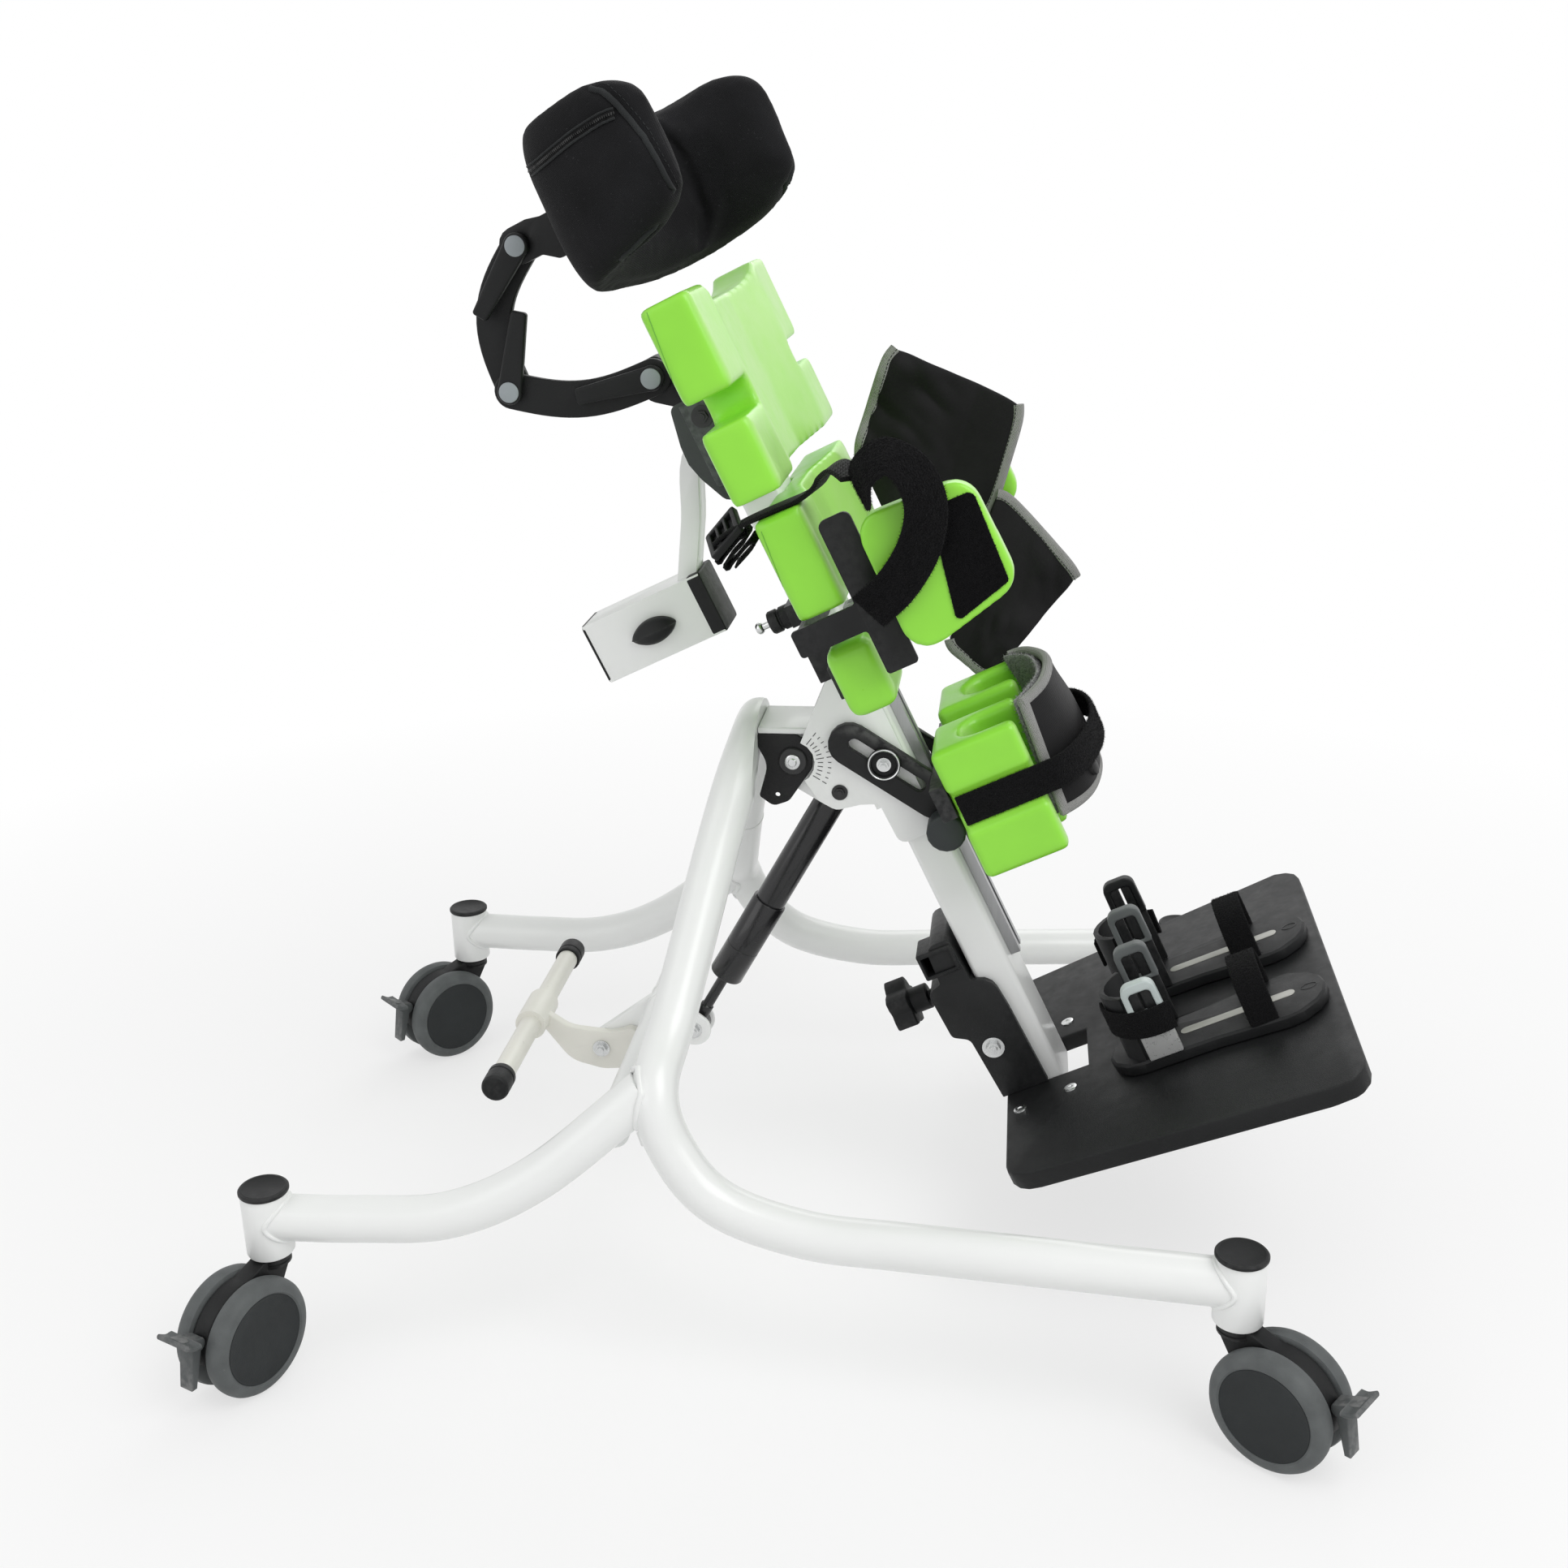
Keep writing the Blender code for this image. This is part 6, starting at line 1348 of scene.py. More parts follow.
SEAM_DENT = 0.0026
ZIP_DENT = 0.0014
DENT_REACH = 0.005
ZIP_HALF = 0.0036
STITCH_INSET = 0.006
cover = stuffed(moved(horseshoe(), CUSHION), voxel=0.0048, pressure=4.0, cap=0.006, start=-0.003)
seams = [side_line(cover, PIPING, side) for side in SIDES.values()]
zip_seam = [spot for spot, _ in drawn_on(cover, ZIP_PX) if (CUSHION.inverted() @ spot).y < -CUSHION_INSIDE]
for seam in seams:
    cover = dented(cover, seam, SEAM_DENT, DENT_REACH)
cover = dented(cover, zip_seam, ZIP_DENT, DENT_REACH)
cover = ruffled(cover, 0.0008, 26.0)
seams = [[spot for spot, _ in laid_on(cover, seam, 0.0004)] for seam in seams]
cushion = piece("head_cushion_cover", cover, "neoprene", "head", "head_cushion", smooth=180)
piping = merge(*[sweep(seam, ring(0.0023, 12)) for seam in seams])
piece("head_cushion_piping", piping, "piping", "head", smooth=180)
zip_line = laid_on(cover, zip_seam, 0.0006)
zip_side = [normal.cross(ahead - behind).normalized() for (_, normal), (ahead, _), (behind, _) in
            zip(zip_line, zip_line[1:] + zip_line[-1:], zip_line[:1] + zip_line[:-1])]
zip_tape = sweep([spot for spot, _ in zip_line], strip(0.0085, 0.0014), across=zip_side)
piece("head_cushion_zip_tape", zip_tape, "webbing", "head")
zip_rows = []
for shift in (-ZIP_HALF, ZIP_HALF):
    edge = [spot + side * shift + normal * 0.0009 for (spot, normal), side in zip(zip_line, zip_side)]
    zip_rows.append(sweep(edge, ring(0.0009, 8)))
piece("head_cushion_zip_edges", merge(*zip_rows), "piping", "head", smooth=180)
teeth = grown(line_mesh([spot + normal * 0.0008 for spot, normal in zip_line]), "stitches", "black_plastic",
              pitch=0.0018, length=0.0010, radius=0.0012)
piece("head_cushion_zip_teeth", teeth, "black_plastic", "head")
seam_threads = []
for seam in seams:
    line = laid_on(cover, seam, 0.0003)
    run = []
    for (behind, _), (spot, normal), (ahead, _) in zip(line, line[1:], line[2:]):
        run.append(spot + normal.cross(ahead - behind).normalized() * STITCH_INSET)
    run = [spot for spot, _ in laid_on(cover, run, 0.0002)]
    seam_threads.append(grown(line_mesh(run), "stitches", "piping", pitch=0.0042, length=0.0026,
                              radius=0.0004))
piece("head_cushion_stitches", merge(*seam_threads), "piping", "head")


# Chest and hip belts

def padded_sheet(spot_at, columns, rows, thin, thick):
    """Quilted flap over a rule for its middle, thicker in the middle than at its rim."""
    step = 1e-3
    work = bmesh.new()
    rims = []
    for sign in (1, -1):
        grid = []
        for i in range(columns + 1):
            line = []
            for j in range(rows + 1):
                u, v = i / columns, j / rows
                here = spot_at(u, v)
                normal = (spot_at(u + step, v) - here).cross(spot_at(u, v + step) - here).normalized()
                crown = (math.sin(math.pi * u) * math.sin(math.pi * v)) ** 0.4
                line.append(work.verts.new(here + normal * sign * (thin + (thick - thin) * crown) / 2))
            grid.append(line)
        for low, high in zip(grid, grid[1:]):
            for j in range(rows):
                work.faces.new((low[j], low[j + 1], high[j + 1], high[j]))
        first, last = [line[0] for line in grid], [line[-1] for line in grid]
        rims.append(first + grid[-1][1:] + last[-2::-1] + grid[0][-2:0:-1])
    bridged(work, rims)
    return subdivided(closed_mesh(work, "flap"))


FLAP_FLAT = 0.35         # share of a flap that lies flat before it bellies out
FLAP_FOLD = 0.004
FLAP_TRIM = 0.07         # how far a flap's corners are trimmed


def flap_rule(corners, depth, bulge, swing, creases):
    """Middle surface of a belt flap that lies flat on its arm at one end and bellies out at the other."""
    first, second, third, fourth = [Vector(corner) for corner in corners]

    def spot_at(u, v):
        trim = 1 - FLAP_TRIM * (abs(2 * u - 1) * abs(2 * v - 1)) ** 6
        u, v = 0.5 + (u - 0.5) * trim, 0.5 + (v - 0.5) * trim
        place = first.lerp(second, u).lerp(fourth.lerp(third, u), v)
        rise = max(0.0, (u - FLAP_FLAT) / (1 - FLAP_FLAT))
        fold = FLAP_FOLD * (0.5 + 0.5 * math.sin(2.5 * math.pi * v + 3 * u))
        bow = (bulge + fold) * math.sin(math.pi / 2 * min(rise, 1.1))
        crease = noise.noise(Vector((2.2 * u + 0.8 * v, 3.0 * v, depth * 50)))
        crease += 0.45 * noise.noise(Vector((5.5 * u, 7.0 * v - 2.5 * u, depth * 90)))
        crease *= creases * min(1.0, rise * 2)
        return Vector((place.x, depth - bow - swing * v + crease, place.y))
    return spot_at


TAPE_STEPS = 40


def edge_tape(spot_at, edge, inside, width=0.0105, thickness=0.0078):
    """Binding folded over an edge of a flap: edge gives (u, v) along it, inside points into the flap."""
    path, across = [], []
    for k in range(TAPE_STEPS + 1):
        u, v = edge(k / TAPE_STEPS)
        here = spot_at(u, v)
        inward = (spot_at(u + inside[0] * 0.01, v + inside[1] * 0.01) - here).normalized()
        path.append(here + inward * width * 0.36)
        across.append(inward)
    return sweep(path, strip(width, thickness, 8), across=across), path, across


EDGES = {
    "start": (lambda t: (0.0, t), (1, 0)),
    "end": (lambda t: (1.0, t), (-1, 0)),
    "low": (lambda t: (t, 0.0), (0, 1)),
    "high": (lambda t: (t, 1.0), (0, -1)),
}
BELTS = {
    "upper": (flap_rule([(0.216, 0.081), (0.125, 0.190), (0.198, 0.267), (0.286, 0.162)], depth=0.162,
                        bulge=0.014, swing=0.0, creases=0.011), ("start", "end")),
    "lower": (flap_rule([(0.236, 0.110), (0.272, 0.004), (0.156, -0.047), (0.133, -0.003)], depth=0.1557,
                        bulge=0.004, swing=0.036, creases=0.007), ("low", "high")),
}
for label, (spot_at, edges) in BELTS.items():
    flap = piece("belt_flap_" + label, padded_sheet(spot_at, 40, 40, 0.0045, 0.0085), "nylon", "hip",
                 "belt_" + label, MAST, smooth=180)
    tapes, threads = [], []
    for edge in edges:
        tape, path, across = edge_tape(spot_at, *EDGES[edge])
        tapes.append(tape)
        for face in (-1, 1):
            line = []
            for k in range(1, len(path) - 1):
                normal = across[k].cross(path[k + 1] - path[k - 1]).normalized() * face
                line.append(path[k] + across[k] * 0.0030 + normal * 0.0038)
            threads.append(grown(line_mesh(line), "stitches", "piping", pitch=0.0036, length=0.0023,
                                 radius=0.00035))
    piece("belt_binding_" + label, merge(*tapes), "binding", "hip", place=MAST, smooth=60)
    piece("belt_stitches_" + label, merge(*threads), "piping", "hip", place=MAST)


def piled(name, skin, body, stands_for=(), finish="pile", radius=0.00016, **growth):
    """Piece with a pile on a skin that is drawn in the mast's frame."""
    hairs = grown(moved(skin, MAST), "pile", finish, radius=radius, **growth)
    piece(name, hairs, finish, body, stands_for, smooth=60)


# Loop strap that curls in front of the near side panel, and the hook patch it fastens to
LOOP = [((0.173, -0.2000, 0.193), (0.25, -0.95, 0.10)), ((0.180, -0.2040, 0.213), (0.32, -0.78, -0.50)),
        ((0.201, -0.2055, 0.218), (-0.12, -0.74, -0.68)), ((0.214, -0.2045, 0.199), (-0.74, -0.62, -0.30)),
        ((0.212, -0.2025, 0.172), (-0.90, -0.42, 0.15)), ((0.195, -0.2005, 0.147), (-0.66, -0.32, 0.70)),
        ((0.168, -0.1990, 0.128), (-0.45, -0.26, 0.85)), ((0.140, -0.1975, 0.118), (-0.28, -0.22, 0.93))]
loop_path = smooth_path([spot for spot, _ in LOOP], 10)
loop_across = smooth_path([way for _, way in LOOP], 10)
loop_skin = sweep(loop_path, strip(0.034, 0.0034, 6), across=loop_across)
piled("loop_strap_pile", loop_skin, "hip", "loop_strap", density=700000.0, length=0.0021, seed=5)
hook_outline = rounded([(0.212, 0.168, 0.004), (0.246, 0.167, 0.006), (0.243, 0.095, 0.004),
                        (0.195, 0.082, 0.004)])
hook_face = slab(hook_outline, -PANEL_FACE - 0.0018, -PANEL_FACE - 0.0001, edge=0.0006)
piled("hook_patch", hook_face, "hip", finish="hook", density=900000.0, length=0.0011, seed=8)

# Knee strap with its fleece-lined pad
KNEE_Y = 0.0953
KNEE_FRONT = 0.199
KNEE_BOW = 0.45
KNEE_STRAP_Z = -0.086
KNEE_SPAN = 86           # degrees of the bow that the pad takes up to each side
knee_bow = [(KNEE_FRONT + KNEE_Y * KNEE_BOW * math.cos(math.radians(t)), KNEE_Y * math.sin(math.radians(t)))
            for t in range(-90, 91, 5)]
knee_path = [(0.119, -KNEE_Y), (0.160, -KNEE_Y)] + knee_bow + [(0.160, KNEE_Y), (0.119, KNEE_Y)]
knee_skin = sweep([(x, y, KNEE_STRAP_Z) for x, y in knee_path], strip(0.027, 0.0040, 6), across=(0, 0, 1))
piled("knee_strap_pile", knee_skin, "knee", "knee_strap", density=420000.0, length=0.0016, seed=11)


def knee_pad_rule(depth, trim):
    """Middle of the wide pad behind the knee strap, with a slanted near end."""
    def spot_at(u, v):
        start = -KNEE_SPAN + 20 * v * v + trim
        t = math.radians(start + (KNEE_SPAN - trim - start) * u)
        sag = 0.005 * noise.noise(Vector((4.1 * u, 3.2 * v, depth * 200)))
        reach = KNEE_Y - depth + sag
        lean = 0.004 * (v - 0.4) - 0.010 * v * v
        forward = KNEE_FRONT - depth + reach * KNEE_BOW * math.cos(t) + lean
        return Vector((forward, reach * math.sin(t), -0.124 + 0.102 * v))
    return spot_at


pad_rule = knee_pad_rule(0.0080, 0.0)
knee_pad = piece("knee_strap_pad", padded_sheet(pad_rule, 48, 26, 0.0050, 0.0085), "nylon", "knee",
                 place=MAST, smooth=180)
fleece_skin = moved(padded_sheet(knee_pad_rule(0.0145, 3.0), 40, 22, 0.0030, 0.0050), MAST)
fleece_pile = grown(fleece_skin, "pile", "fleece", density=260000.0, length=0.0034, radius=0.0003, seed=14)
fleece = piece("knee_strap_fleece", fleece_pile, "fleece", "knee", smooth=180)
knee_tapes = [edge_tape(pad_rule, edge, inside, 0.0095, 0.0085)[0] for edge, inside in EDGES.values()]
piece("knee_strap_binding", merge(*knee_tapes), "binding", "knee", place=MAST, smooth=60)
stud_spot = pad_rule(0.30, 0.165)
stud_way = (pad_rule(0.31, 0.165) - stud_spot).cross(pad_rule(0.30, 0.175) - stud_spot).normalized()
stud_way = stud_way if stud_way.x > 0 else -stud_way
stud_turn = stud_way.to_track_quat("Z", "Y").to_matrix().to_4x4()
stud = turn_profile([(0, -0.003), (0.0070, -0.003), (0.0074, 0.0004), (0.0070, 0.0018), (0.0056, 0.0026),
                     (0, 0.0030)], 32)
piece("knee_strap_stud", stud, "black_plastic", "knee",
      place=MAST @ Matrix.Translation(stud_spot + stud_way * 0.0052) @ stud_turn)

# Toe straps
TOE_X = 0.2745
TOE_HALF = 0.035
TOE_RISE = 0.046
TOE_STEPS = 32
for label, side in SIDES.items():
    over = []
    for k in range(TOE_STEPS + 1):
        t = math.pi * k / TOE_STEPS
        over.append((TOE_X, side * (SANDAL_Y + TOE_HALF * math.cos(t)),
                     SANDAL_TOP + 0.0003 + TOE_RISE * math.sin(t) ** 0.7))
    toe_skin = sweep(over, strip(0.025, 0.0032, 6), across=(1, 0, 0))
    piled("toe_strap_pile_" + label, toe_skin, "foot", "toe_strap_" + label, density=420000.0, length=0.0013,
          radius=0.00014, seed=17 + side)


# Knee carrier: clamp bolt on its slot
ring_washer = turn_profile([(0, 0), (0.0138, 0), (0.0142, 0.0006), (0.0142, 0.0030), (0.0134, 0.0038),
                            (0.0112, 0.0038), (0.0106, 0.0030), (0.0106, 0.0014), (0, 0.0014)], 44)
knee_bolt_at = MAST @ Matrix.Translation((KNEE_BOLT[0], -BAR_OUT, KNEE_BOLT[1])) @ TO_NEAR
piece("knee_bolt_ring", ring_washer, "black_plastic", "knee", place=knee_bolt_at)
ring_lip = sweep([(u, v, 0.0037) for u, v in ring(0.0130, 48)], ring(0.0008, 8), closed=True)
piece("knee_ring_lip", ring_lip, "steel", "knee", place=knee_bolt_at)
fasteners("knee_bolts", "knee", [((KNEE_BOLT[0], -BAR_OUT - 0.0013, KNEE_BOLT[1]), (0, -1, 0), 1.0),
                                 ((KNEE_BOLT[0], BAR_OUT, KNEE_BOLT[1]), (0, 1, 0), 1.0)],
          MAST, washer=0.0062, nut=0.0046, height=0.0085)


# Feet: plate screws, bracket bolt and clip, slot tracks, heel posts and their clips

def side_pair(x, y, z):
    """Bolt places on both sides, pointing outward."""
    return [((x, side * y, z), (0, side, 0), 1.0) for side in SIDES.values()]


fasteners("bracket_bolts", "foot", side_pair(0.0424, 0.0401, -0.3200), MAST, washer=0.0100, nut=0.0066,
          height=0.0062)
screw_head = [(0, 0.0006), (0.0016, 0.0006), (0.0024, 0.0014), (0.0050, 0.0015), (0.0060, 0.0010),
              (0.0062, 0.0001), (0, 0.0001)]
plate_screws = [moved(turn_profile(screw_head, 28), Matrix.Translation((x, y, PLATE_TOP)))
                for x, y in ((0.0945, 0.0610), (0.0945, -0.0660), (0.0465, -0.0720), (0.0465, 0.0670))]
piece("footplate_screws", merge(*plate_screws), "steel", "foot", place=MAST)
clip_box = cut(box((0.0150, -0.0430, -0.2380), (0.0480, -0.0060, -0.2120), 0.0020),
               box((0.0180, -0.0480, -0.2340), (0.0450, -0.0090, -0.2160), 0.0010))
piece("height_clip", clip_box, "black_plastic", "foot", place=MAST)
plug_outline = rectangle(inset(MAST_X, 0.0010), inset((-MAST_HALF, MAST_HALF), 0.0010), 0.004)
plug = slab(plug_outline, MAST_Z[0] - 0.0020, MAST_Z[0] + 0.0010, "XY", edge=0.0006)
piece("mast_end_plug", plug, "cream", "mast", place=MAST)


def ring_of(centre, long, short, thick):
    """Oval ring drawn on the sole's top."""
    turns = [2 * math.pi * k / 36 for k in range(36)]
    loop = [(centre[0] + long * math.cos(t), centre[1] + short * math.sin(t), SANDAL_TOP) for t in turns]
    return sweep(loop, ring(thick, 6), closed=True)


tracks, marks = [], []
for side in SIDES.values():
    y = side * SANDAL_Y
    track = capsule((0.208, y), (0.300, y), 0.0052)
    tracks.append(slab(track, SANDAL_TOP - 0.0006, SANDAL_TOP + 0.0004, "XY", edge=0.0002))
    marks.append(ring_of((0.3175, y), 0.0068, 0.0044, 0.0005))
piece("sandal_slot_tracks", merge(*tracks), "track", "foot", place=MAST)
piece("sandal_toe_marks", merge(*marks), "black_metal", "foot", place=MAST)

# Heel posts: y, lower and upper end of the clip, finishes of the clip and of the post
POST_X = 0.1880
HEEL_POSTS = [(-0.0925, -0.3170, -0.2840, "clip_light", "bright_block"),
              (-0.0330, -0.3120, -0.2760, "clip_grey", "black_plastic"),
              (0.0330, -0.3080, -0.2700, "clip_grey", "black_plastic"),
              (0.0925, -0.3040, -0.2660, "black_metal", "black_plastic")]
post_parts = {}
for y, base, top, clip_finish, post_finish in HEEL_POSTS:
    outer = rounded([(POST_X - 0.0155, base, 0.0015), (POST_X + 0.0155, base, 0.0015),
                     (POST_X + 0.0150, top, 0.0090), (POST_X - 0.0150, top, 0.0090)])
    inner = rounded([(POST_X - 0.0100, base + 0.0040, 0.0015), (POST_X + 0.0100, base + 0.0040, 0.0015),
                     (POST_X + 0.0098, top - 0.0085, 0.0040), (POST_X - 0.0098, top - 0.0085, 0.0040)])
    clip = slab(outer, y - 0.0050, y + 0.0050, holes=[inner], edge=0.0014, steps=3)
    bars = [box((POST_X + start, y - 0.0034, base + 0.0030), (POST_X + end, y + 0.0034, top - 0.0080), 0.0012)
            for start, end in ((-0.0102, -0.0012), (0.0012, 0.0102))]
    post = box((POST_X - 0.0150, y - 0.0030, SANDAL_TOP + 0.0001),
               (POST_X + 0.0150, y + 0.0030, base + 0.0030), 0.0012)
    for finish, parts in ((clip_finish, [clip]), ("black_plastic", bars), (post_finish, [post])):
        post_parts.setdefault(finish, []).extend(parts)
for finish, parts in post_parts.items():
    piece("heel_clips_" + finish, merge(*parts), finish, "foot",
          place=MAST)
HEEL_BAND = [(0.2070, 0.0960, -0.3215), (0.1960, 0.1000, -0.3210), (0.1800, 0.0995, -0.3205),
             (0.1640, 0.0920, -0.3195), (0.1525, 0.0770, -0.3185), (0.1500, 0.0620, -0.3180)]
heel_bands = []
for side in SIDES.values():
    band_path = smooth_path([at_side(p, side) for p in HEEL_BAND], 6)
    heel_bands.append(sweep(band_path, strip(0.026, 0.0030, 6), across=(0, 0, 1)))
piled("heel_straps", merge(*heel_bands), "foot", density=300000.0, length=0.0012, radius=0.00014, seed=23)

# Socket behind the back: black end frame and rim
SOCKET_X = (-0.121, -0.008)
SOCKET_Y = (-0.028, 0.028)
SOCKET_Z = (0.121, 0.175)


def socket_outline(grow, corner):
    """Outline round the socket in (y, z)."""
    return rectangle(inset(SOCKET_Y, -grow), inset(SOCKET_Z, -grow), corner)


end_frame = slab(socket_outline(0.0005, 0.0040), SOCKET_X[1] - 0.0115, SOCKET_X[1] + 0.0012, "YZ",
                 edge=0.0010)
rim = slab(socket_outline(0.0004, 0.0050), SOCKET_X[0] - 0.0006, SOCKET_X[0] + 0.0016, "YZ",
           holes=[socket_outline(-0.0036, 0.0025)], edge=0.0005)
piece("socket_end_frames", merge(end_frame, rim), "black_plastic", "mast", place=MAST)
KNOB = (-0.064, 0.147)
KNOB_COLUMNS = 32
KNOB_ROWS = 12
KNOB_RIDGE = 0.0022


def lens_knob(half_long, half_tall, depth):
    """Oval knob with pointed ends and a ridge along its middle, standing out towards -Y."""
    work = bmesh.new()
    rows = []
    for i in range(KNOB_COLUMNS + 1):
        u = -0.985 + 1.97 * i / KNOB_COLUMNS
        tall = half_tall * (1 - u * u) ** 0.72
        out = depth * (0.25 + 0.75 * (1 - u * u) ** 0.5)
        row = []
        for j in range(KNOB_ROWS + 1):
            t = math.radians(-90 + 180 * j / KNOB_ROWS)
            ridge = KNOB_RIDGE * math.exp(-(t / 0.22) ** 2)
            y = -out * math.cos(t) ** 0.7 - ridge if 0 < j < KNOB_ROWS else 0.0
            row.append(work.verts.new((KNOB[0] + half_long * u, y, KNOB[1] + tall * math.sin(t))))
        rows.append(row)
    bridged(work, rows)
    work.faces.new(rows[0])
    work.faces.new(rows[-1])
    return closed_mesh(work, "lens")


knob_at = MAST @ Matrix.Translation((0, -0.0284, 0))
piece("socket_oval_knob", lens_knob(0.0210, 0.0110, 0.0125), "black_plastic", "socket_knob", "socket_knob",
      knob_at, smooth=60)
fasteners("trunk_bolts", "trunk", side_pair(0.0640, 0.0671, 0.2920), MAST, finish="dark_steel", washer=0.0088,
          nut=0.0052, height=0.0040)

# Plunger that locks the hip bracket, chest strap and its buckle
plunger = turn_profile([(0, 0), (0.0098, 0), (0.0102, 0.0010), (0.0102, 0.0090), (0.0090, 0.0100),
                        (0.0090, 0.0112), (0.0102, 0.0122), (0.0102, 0.0190), (0.0092, 0.0205),
                        (0.0040, 0.0208), (0, 0.0208)], BAR_SIDES)
plunger_at = MAST @ Matrix.Translation((0.0478, -0.0180, 0.1090)) @ Matrix.Rotation(-math.pi / 2, 4, "Y")
piece("lock_plunger", plunger, "black_plastic", "hip", place=plunger_at)
ball_pin = turn_profile([(0, 0.0200), (0.0030, 0.0200), (0.0030, 0.0275), (0.0042, 0.0282), (0.0052, 0.0300),
                         (0.0050, 0.0322), (0.0036, 0.0338), (0, 0.0344)], 28)
piece("plunger_pin", ball_pin, "steel", "hip", place=plunger_at)
strap_path = smooth_path([(0.0460, -0.1250, 0.2040), (0.0600, -0.1290, 0.2082), (0.0800, -0.1340, 0.2094),
                          (0.1020, -0.1390, 0.2094), (0.1230, -0.1450, 0.2096), (0.1380, -0.1500, 0.2130),
                          (0.1500, -0.1580, 0.2200), (0.1620, -0.1720, 0.2210), (0.1720, -0.1880, 0.2110)], 8)
chest_strap = sweep(strap_path, strip(0.0260, 0.0040, 6), across=(0.35, 1, 0))
piece("chest_strap_webbing", chest_strap, "webbing", "hip", place=MAST, smooth=60)
FOLD_ENDS = [(0.0640, 0.2050), (0.0430, 0.1960)]
FOLD_STEP = (0.0016, 0.0010, -0.0036)
fold_path = []
for k in range(5):
    for x, z in FOLD_ENDS if k % 2 == 0 else FOLD_ENDS[::-1]:
        fold_path.append((x + FOLD_STEP[0] * k, -0.1285 + FOLD_STEP[1] * k, z + FOLD_STEP[2] * k))
folds = sweep(smooth_path(fold_path, 6), strip(0.0250, 0.0018, 5), across=(0.2, 1, 0.15))
piece("chest_strap_folds", folds, "webbing", "hip", place=MAST, smooth=60)
buckle_outline = rectangle((-0.0170, 0.0170), (-0.0190, 0.0190), 0.003)
buckle_slots = [rectangle((x - 0.0028, x + 0.0028), (-0.0140, 0.0140), 0.001) for x in (-0.0090, 0.0, 0.0090)]
buckle = merge(slab(buckle_outline, -0.0030, 0.0030, holes=buckle_slots, edge=0.0012, steps=3),
               box((-0.0130, 0.0010, -0.0135), (0.0130, 0.0060, 0.0135), 0.0015))
buckle_at = (MAST @ Matrix.Translation((0.0520, -0.1270, 0.2075)) @ Matrix.Rotation(math.radians(-24), 4, "Y")
             @ Matrix.Rotation(math.radians(-68), 4, "X"))
piece("chest_strap_buckle", buckle, "black_plastic", "hip", place=buckle_at)

# Mould seams of the foam pads, from lines in the photograph's pixels
SEAMS_PX = {"thigh_pad_near": ("mast", [(1018, 815), (1031, 850), (1048, 886)]),
            "hip_pad": ("hip", [(938, 655), (958, 706), (982, 765)]),
            "trunk_pad": ("trunk", [(797, 385), (812, 425), (832, 478)])}
for node, (body, pixels) in SEAMS_PX.items():
    foam = bpy.data.objects["foam_" + node].data
    seam_line = drawn_on(foam, pixels, 10)
    if len(seam_line) > 3:
        seam_bead = sweep([spot for spot, _ in seam_line], ring(0.0004, 6))
        piece("mould_seam_" + node, seam_bead, "seam", body)


# Camera, floor and light

def photo_camera():
    """Camera that stands where the photograph was taken."""
    across, tall, ahead = view_axes()
    data = bpy.data.cameras.new("camera")
    data.sensor_width = SENSOR
    data.lens = FOCAL_PX / PHOTO_PX * SENSOR
    camera = bpy.data.objects.new("camera", data)
    bpy.context.scene.collection.objects.link(camera)
    camera.matrix_world = Matrix.Translation(CAMERA_AT) @ Matrix((across, tall, -ahead)).transposed().to_4x4()
    bpy.context.scene.camera = camera


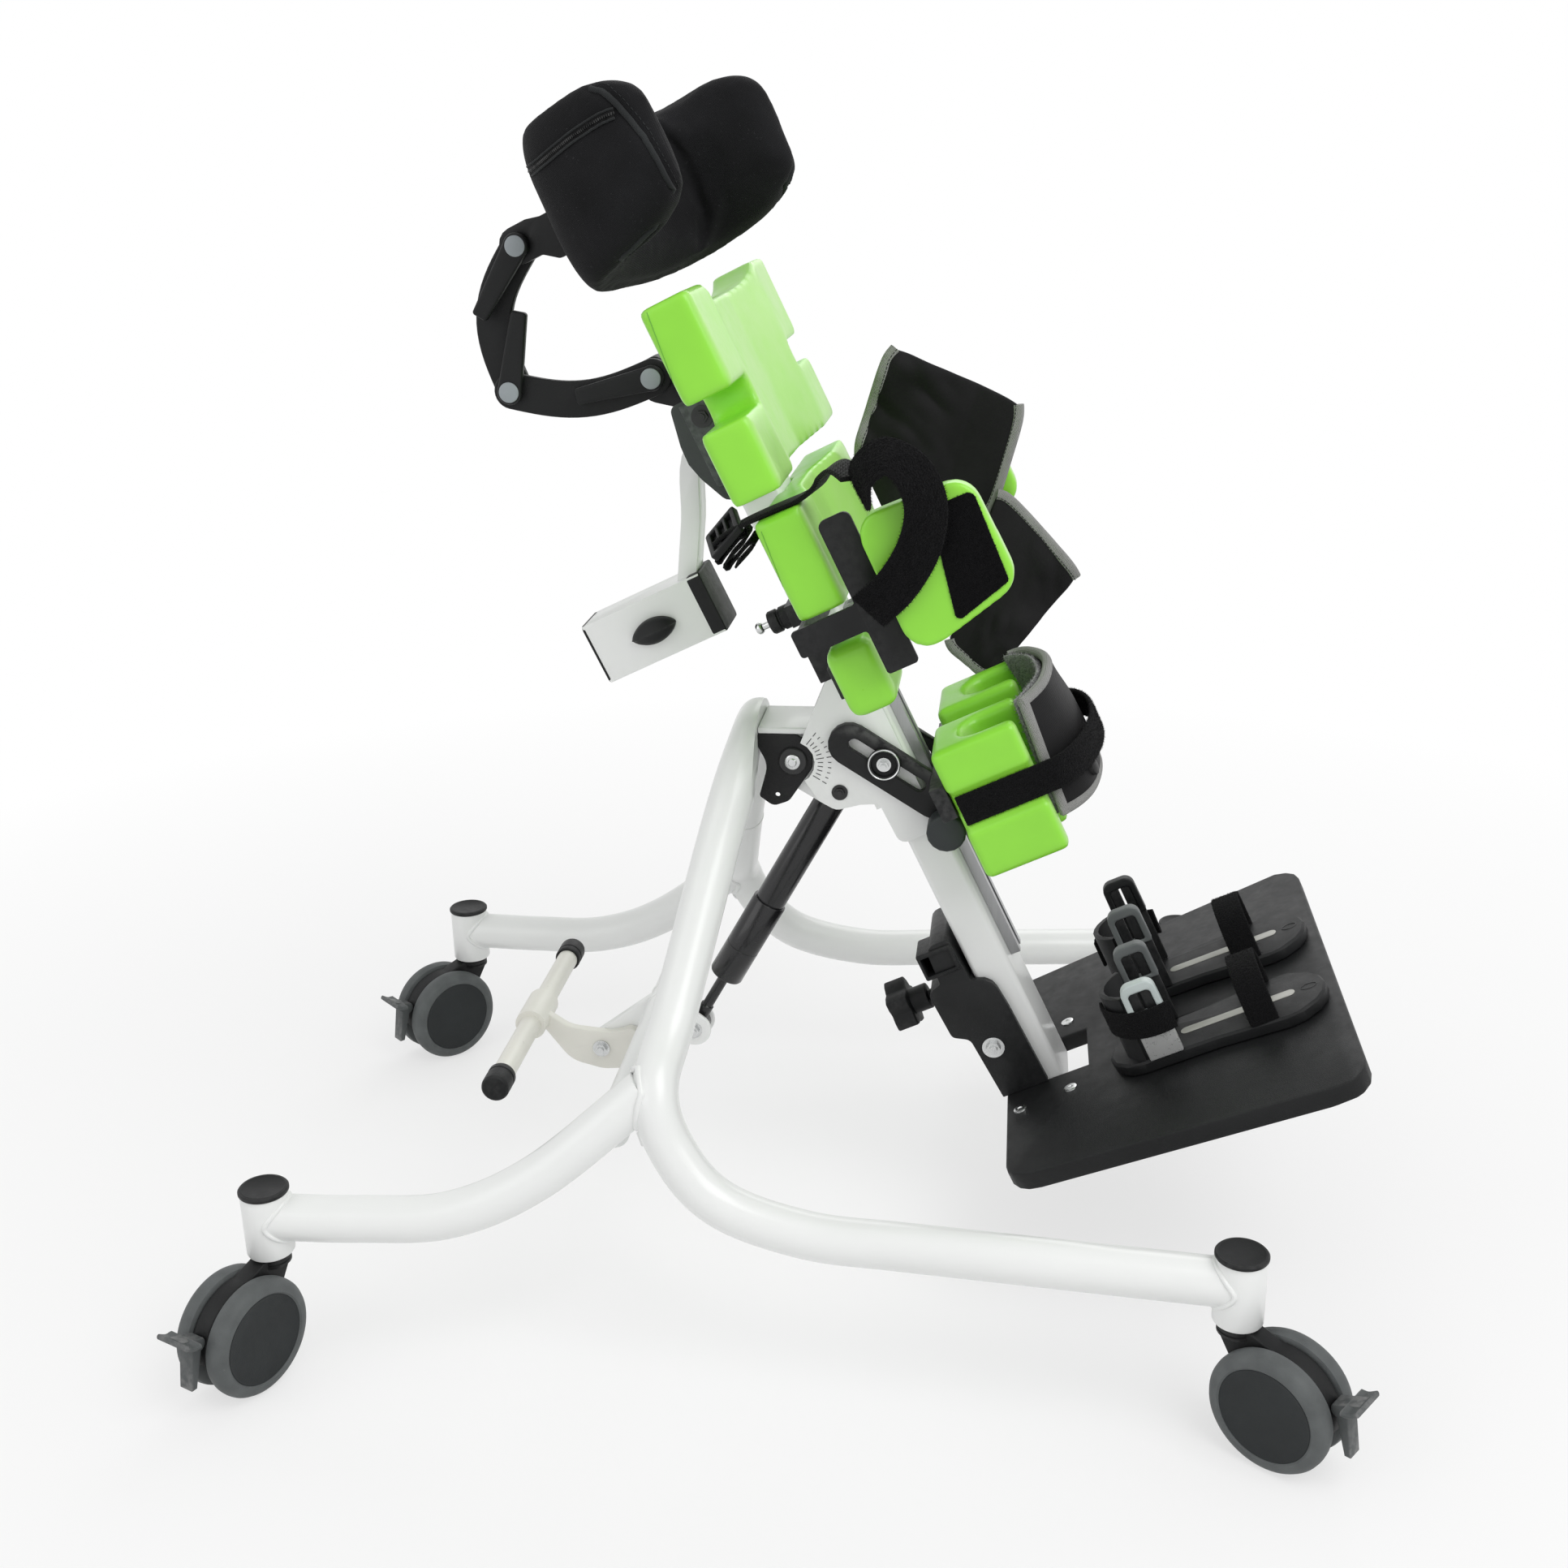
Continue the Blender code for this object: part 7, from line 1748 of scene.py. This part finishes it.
def lamp(name, at, aim, size, power):
    """Square soft light."""
    data = bpy.data.lights.new(name, "AREA")
    data.shape = "SQUARE"
    data.size = size
    data.energy = power
    light = bpy.data.objects.new(name, data)
    bpy.context.scene.collection.objects.link(light)
    light.location = at
    light.rotation_euler = (Vector(aim) - Vector(at)).to_track_quat("-Z", "Y").to_euler()


def seen_rays(tree):
    """1 for the rays that show the surround itself: straight to the camera, mirrored or through glass."""
    rays = add(tree, "ShaderNodeLightPath")
    seen = counted(tree, "MAXIMUM", rays.outputs["Is Camera Ray"], rays.outputs["Is Glossy Ray"])
    return counted(tree, "MAXIMUM", seen, rays.outputs["Is Transmission Ray"])


def studio():
    """White floor that keeps a faint shadow, a white surround and soft lamps."""
    work = bmesh.new()
    bmesh.ops.create_grid(work, x_segments=1, y_segments=1, size=12)
    floor = hold(new_mesh(work, "floor"), "floor")
    material, tree, shader = nodes_of("pale_floor")
    place = object_place(tree)
    cloud = mixed(tree, blotches(tree, place, 1.5), (0.86, 0.86, 0.86), (0.88, 0.88, 0.88))
    tree.links.new(cloud, shader.inputs["Base Color"])
    shader.inputs["Roughness"].default_value = 0.9
    away = add(tree, "ShaderNodeVectorMath", {0: place}, operation="LENGTH").outputs["Value"]
    whiteness = counted(tree, "MULTIPLY", ramp(tree, away, 0.5, 1.7, 0.62, 1.0), seen_rays(tree))
    glow = add(tree, "ShaderNodeEmission", {"Color": (1, 1, 1, 1), "Strength": 1.0})
    blend = add(tree, "ShaderNodeMixShader", {0: whiteness, 1: shader.outputs[0], 2: glow.outputs[0]})
    tree.links.new(blend.outputs[0], tree.nodes["Material Output"].inputs["Surface"])
    floor.data.materials.append(material)
    world = bpy.data.worlds.new("white_surround")
    bpy.context.scene.world = world
    world.use_nodes = True
    sky = world.node_tree
    ground = sky.nodes["Background"]
    ground.inputs["Color"].default_value = (1, 1, 1, 1)
    sky.links.new(ramp(sky, seen_rays(sky), 0.0, 1.0, 0.55, 1.0), ground.inputs["Strength"])
    lamp("key", (1.4, -1.3, 2.4), (0, 0, 0.45), 1.8, 36)
    lamp("fill", (-1.8, -1.6, 1.5), (0, 0, 0.5), 1.8, 10)
    lamp("back", (0.4, 2.2, 2.0), (0, 0, 0.6), 1.6, 12)


photo_camera()
studio()
bpy.context.scene.view_settings.view_transform = "Standard"
